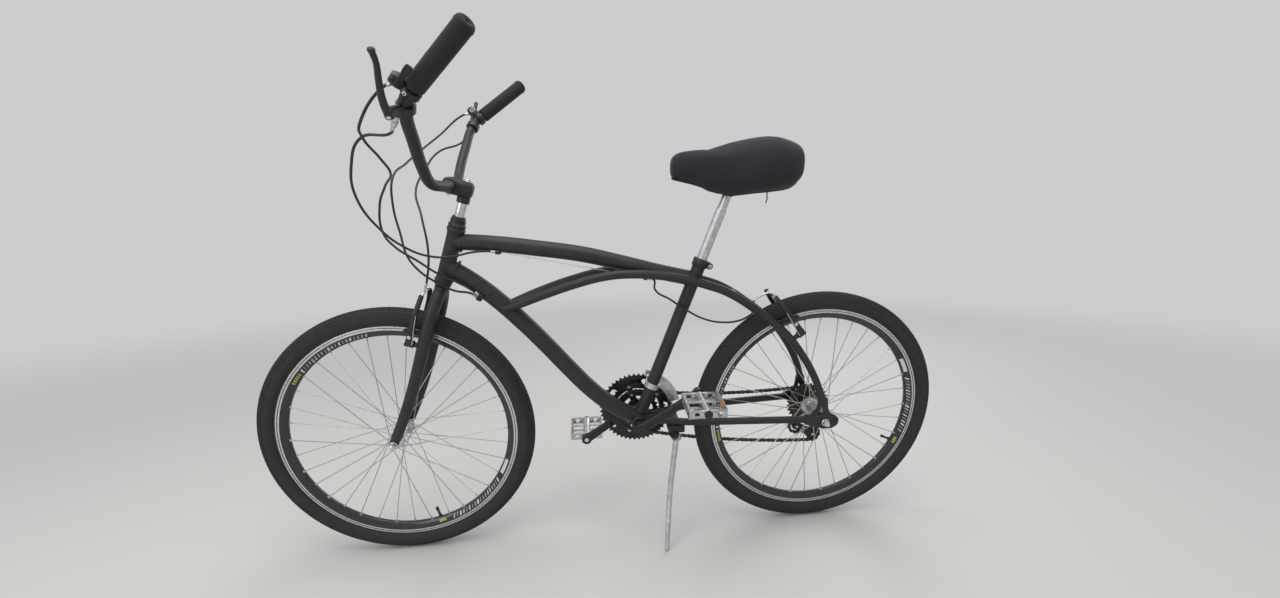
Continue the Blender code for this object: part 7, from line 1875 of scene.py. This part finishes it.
# %% Hem with its toggle
hem = Piece()
edge = []
for row in saddle_rows()[3:-3]:
    point = saddle_ring(row, SHRINK)[0]
    edge.append(Vector((point.x, abs(point.y) - 0.6 * MM, point.z + 0.9 * MM)))
for _, side in SIDES:
    hem.tube(mirrored(edge, side), 2.0 * MM, FABRIC, sides=12, steps=3)
toggle = Vector((0.148, edge[3].y + 3 * MM, edge[3].z - 3.5 * MM))
hem.block(toggle - Vector((11, 5, 5)) * MM, toggle + Vector((9, 5, 5)) * MM, PLASTIC, edge=3.0 * MM,
          steps=4)
hem.turned(mm([(0, -6), (3, -6), (3.4, -5.4), (3.4, 5.4), (3, 6.2), (0, 6.2)]),
           toggle + Vector((-2, 0, 1)) * MM, LEFT, PLASTIC, 28)
hem.bolt(toggle + Vector((4.5, 4.6, 2.6)) * MM, LEFT, 1.6 * MM, 1.0 * MM, WHITE_MARK)
hem.hand_over("hem_and_toggle", "frame", "fabric")

# %% A bare label, laid on the cover by rays from above
LABEL_CORNER, LABEL_LENGTH, LABEL_WIDTH = Vector((0.150, 0.008, 0.75)), 0.026, 0.030
label = Piece()
sheets = []
for k in range(9):
    sheets.append([])
    for i in range(7):
        start = LABEL_CORNER + Vector((LABEL_LENGTH * k / 8, LABEL_WIDTH * i / 6, 0.0))
        hit, normal, _, _ = surface.ray_cast(start, Vector((0, 0, -1)))
        sheets[-1].append((hit, normal))
rings = []
for row in sheets:
    rings.append([hit + normal * 0.5 * MM for hit, normal in row]
                 + [hit - normal * 0.6 * MM for hit, normal in reversed(row)])
label.skin(rings, WHITE_MARK)
label.hand_over("bare_label", "frame", "fabric")

# %% Cord's end under the hem
cord = Piece()
CORD_START = Vector((0.184, 0.056, 0.579))
cord_route = [CORD_START + Vector((0, -1, 7)) * MM, CORD_START + Vector((0.4, 0.6, -6)) * MM,
              CORD_START + Vector((0.0, 1.2, -15)) * MM, CORD_START + Vector((2.4, 0.8, -25)) * MM]
cord.tube(cord_route, 1.3 * MM, FABRIC, sides=12, steps=10, sizes=[1.0, 1.0, 1.0, 0.9])
cord = cord.hand_over("drawcord_end", "frame", "fabric")

# %% [markdown]
# ## Cables
# Four cables leave the controls, and each is held at both ends. Three of them end in stops on
# the frame, so they have to bend when the bar turns; here they take no body, and their place is
# baked into their mesh. The front brake's cable turns with the fork as a whole.

# %% Housings, end caps and the bare wire
ROUTES = {
    "rear_brake": [(0.960, 0.232, 0.690), (1.000, 0.195, 0.643), (1.020, 0.145, 0.580),
                   (1.006, 0.100, 0.520), (0.975, 0.064, 0.475), (0.935, 0.040, 0.450),
                   (0.890, 0.031, 0.446), (0.845, 0.022, 0.453)],
    "front_brake": [(0.948, -0.190, 0.674), (0.966, -0.110, 0.630), (0.975, -0.055, 0.585),
                    (0.952, 0.0, 0.530), (0.940, 0.024, 0.452)],
    "front_shift": [(0.950, 0.255, 0.712), (0.966, 0.215, 0.690), (0.960, 0.165, 0.655),
                    (0.962, 0.120, 0.628), (0.995, 0.070, 0.600), (1.020, 0.045, 0.560),
                    (1.021, 0.044, 0.502), (1.002, 0.045, 0.474), (0.958, 0.043, 0.440),
                    (0.920, 0.037, 0.409), (0.885, 0.028, 0.387)],
    "rear_shift": [(0.955, -0.235, 0.715), (0.982, -0.150, 0.675), (0.994, -0.070, 0.645),
                   (1.004, -0.004, 0.615), (1.006, 0.010, 0.560), (0.996, 0.016, 0.494),
                   (0.984, 0.029, 0.450), (0.962, 0.036, 0.419), (0.928, 0.035, 0.390),
                   (0.893, 0.026, 0.367)],
    "rear_housing": [(0.432, 0.017, 0.351), (0.396, 0.024, 0.327), (0.355, 0.0235, 0.298),
                     (0.310, 0.015, 0.272), (0.265, 0.008, 0.259), (0.220, 0.010, 0.262),
                     (0.197, 0.017, 0.276)]}


def cable(name, leave, route, enter, slot_name, node, body="frame"):
    """A housing between two (point, way) ends, with a metal end cap on each."""
    piece = Piece()
    (start, out_way), (end, in_way) = leave, enter
    points = [start + out_way * GAP, start + out_way * 16 * MM] + [Vector(p) for p in route]
    points += [end + in_way * 12 * MM, end + in_way * GAP]
    piece.tube(points, 2.45 * MM, CABLE, sides=16, steps=10)
    for place, way in ((start, out_way), (end, in_way)):
        piece.turned([(0.0, GAP), (2.9 * MM, GAP), (3.2 * MM, 0.8 * MM), (3.2 * MM, 9.0 * MM),
                      (2.9 * MM, 9.8 * MM), (2.2 * MM, 10.0 * MM), (0.0, 10.0 * MM)], place, way,
                     ALLOY, segments=24)
    return piece.hand_over(name, body, slot_name, node)


front_stop, rear_stop = (FRONT_STOP, FRONT_STOP_WAY), (REAR_STOP, REAR_STOP_WAY)
long_cables = [
    cable("rear_brake_housing_front", lever_exit(1.0), ROUTES["rear_brake"], front_stop,
          "black_plastic", "rear_brake_cable", body=None),
    cable("front_shift_housing", pod_exit(1.0), ROUTES["front_shift"], shift_stop(0),
          "black_plastic", "front_shift_cable", body=None),
    cable("rear_shift_housing", pod_exit(-1.0), ROUTES["rear_shift"], shift_stop(1),
          "black_plastic", "rear_shift_cable", body=None)]
cable("front_brake_housing", lever_exit(-1.0), ROUTES["front_brake"], (NOODLE_END, HEAD_UP),
      "black_plastic", "front_brake_cable", body="steering")
cable("rear_brake_housing_back", rear_stop, ROUTES["rear_housing"], (REAR_NOODLE_END, -UP),
      "black_plastic", "rear_brake_housing")
bare = Piece()
bare.rod(FRONT_STOP - FRONT_STOP_WAY * (STOP_LENGTH + GAP),
         REAR_STOP - REAR_STOP_WAY * (STOP_LENGTH + GAP), 0.95 * MM, CHROME, segments=12, ease=0.0001)
bare.hand_over("bare_brake_wire", "frame", "steel", "rear_brake_wire")
for piece in long_cables:
    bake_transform(piece)
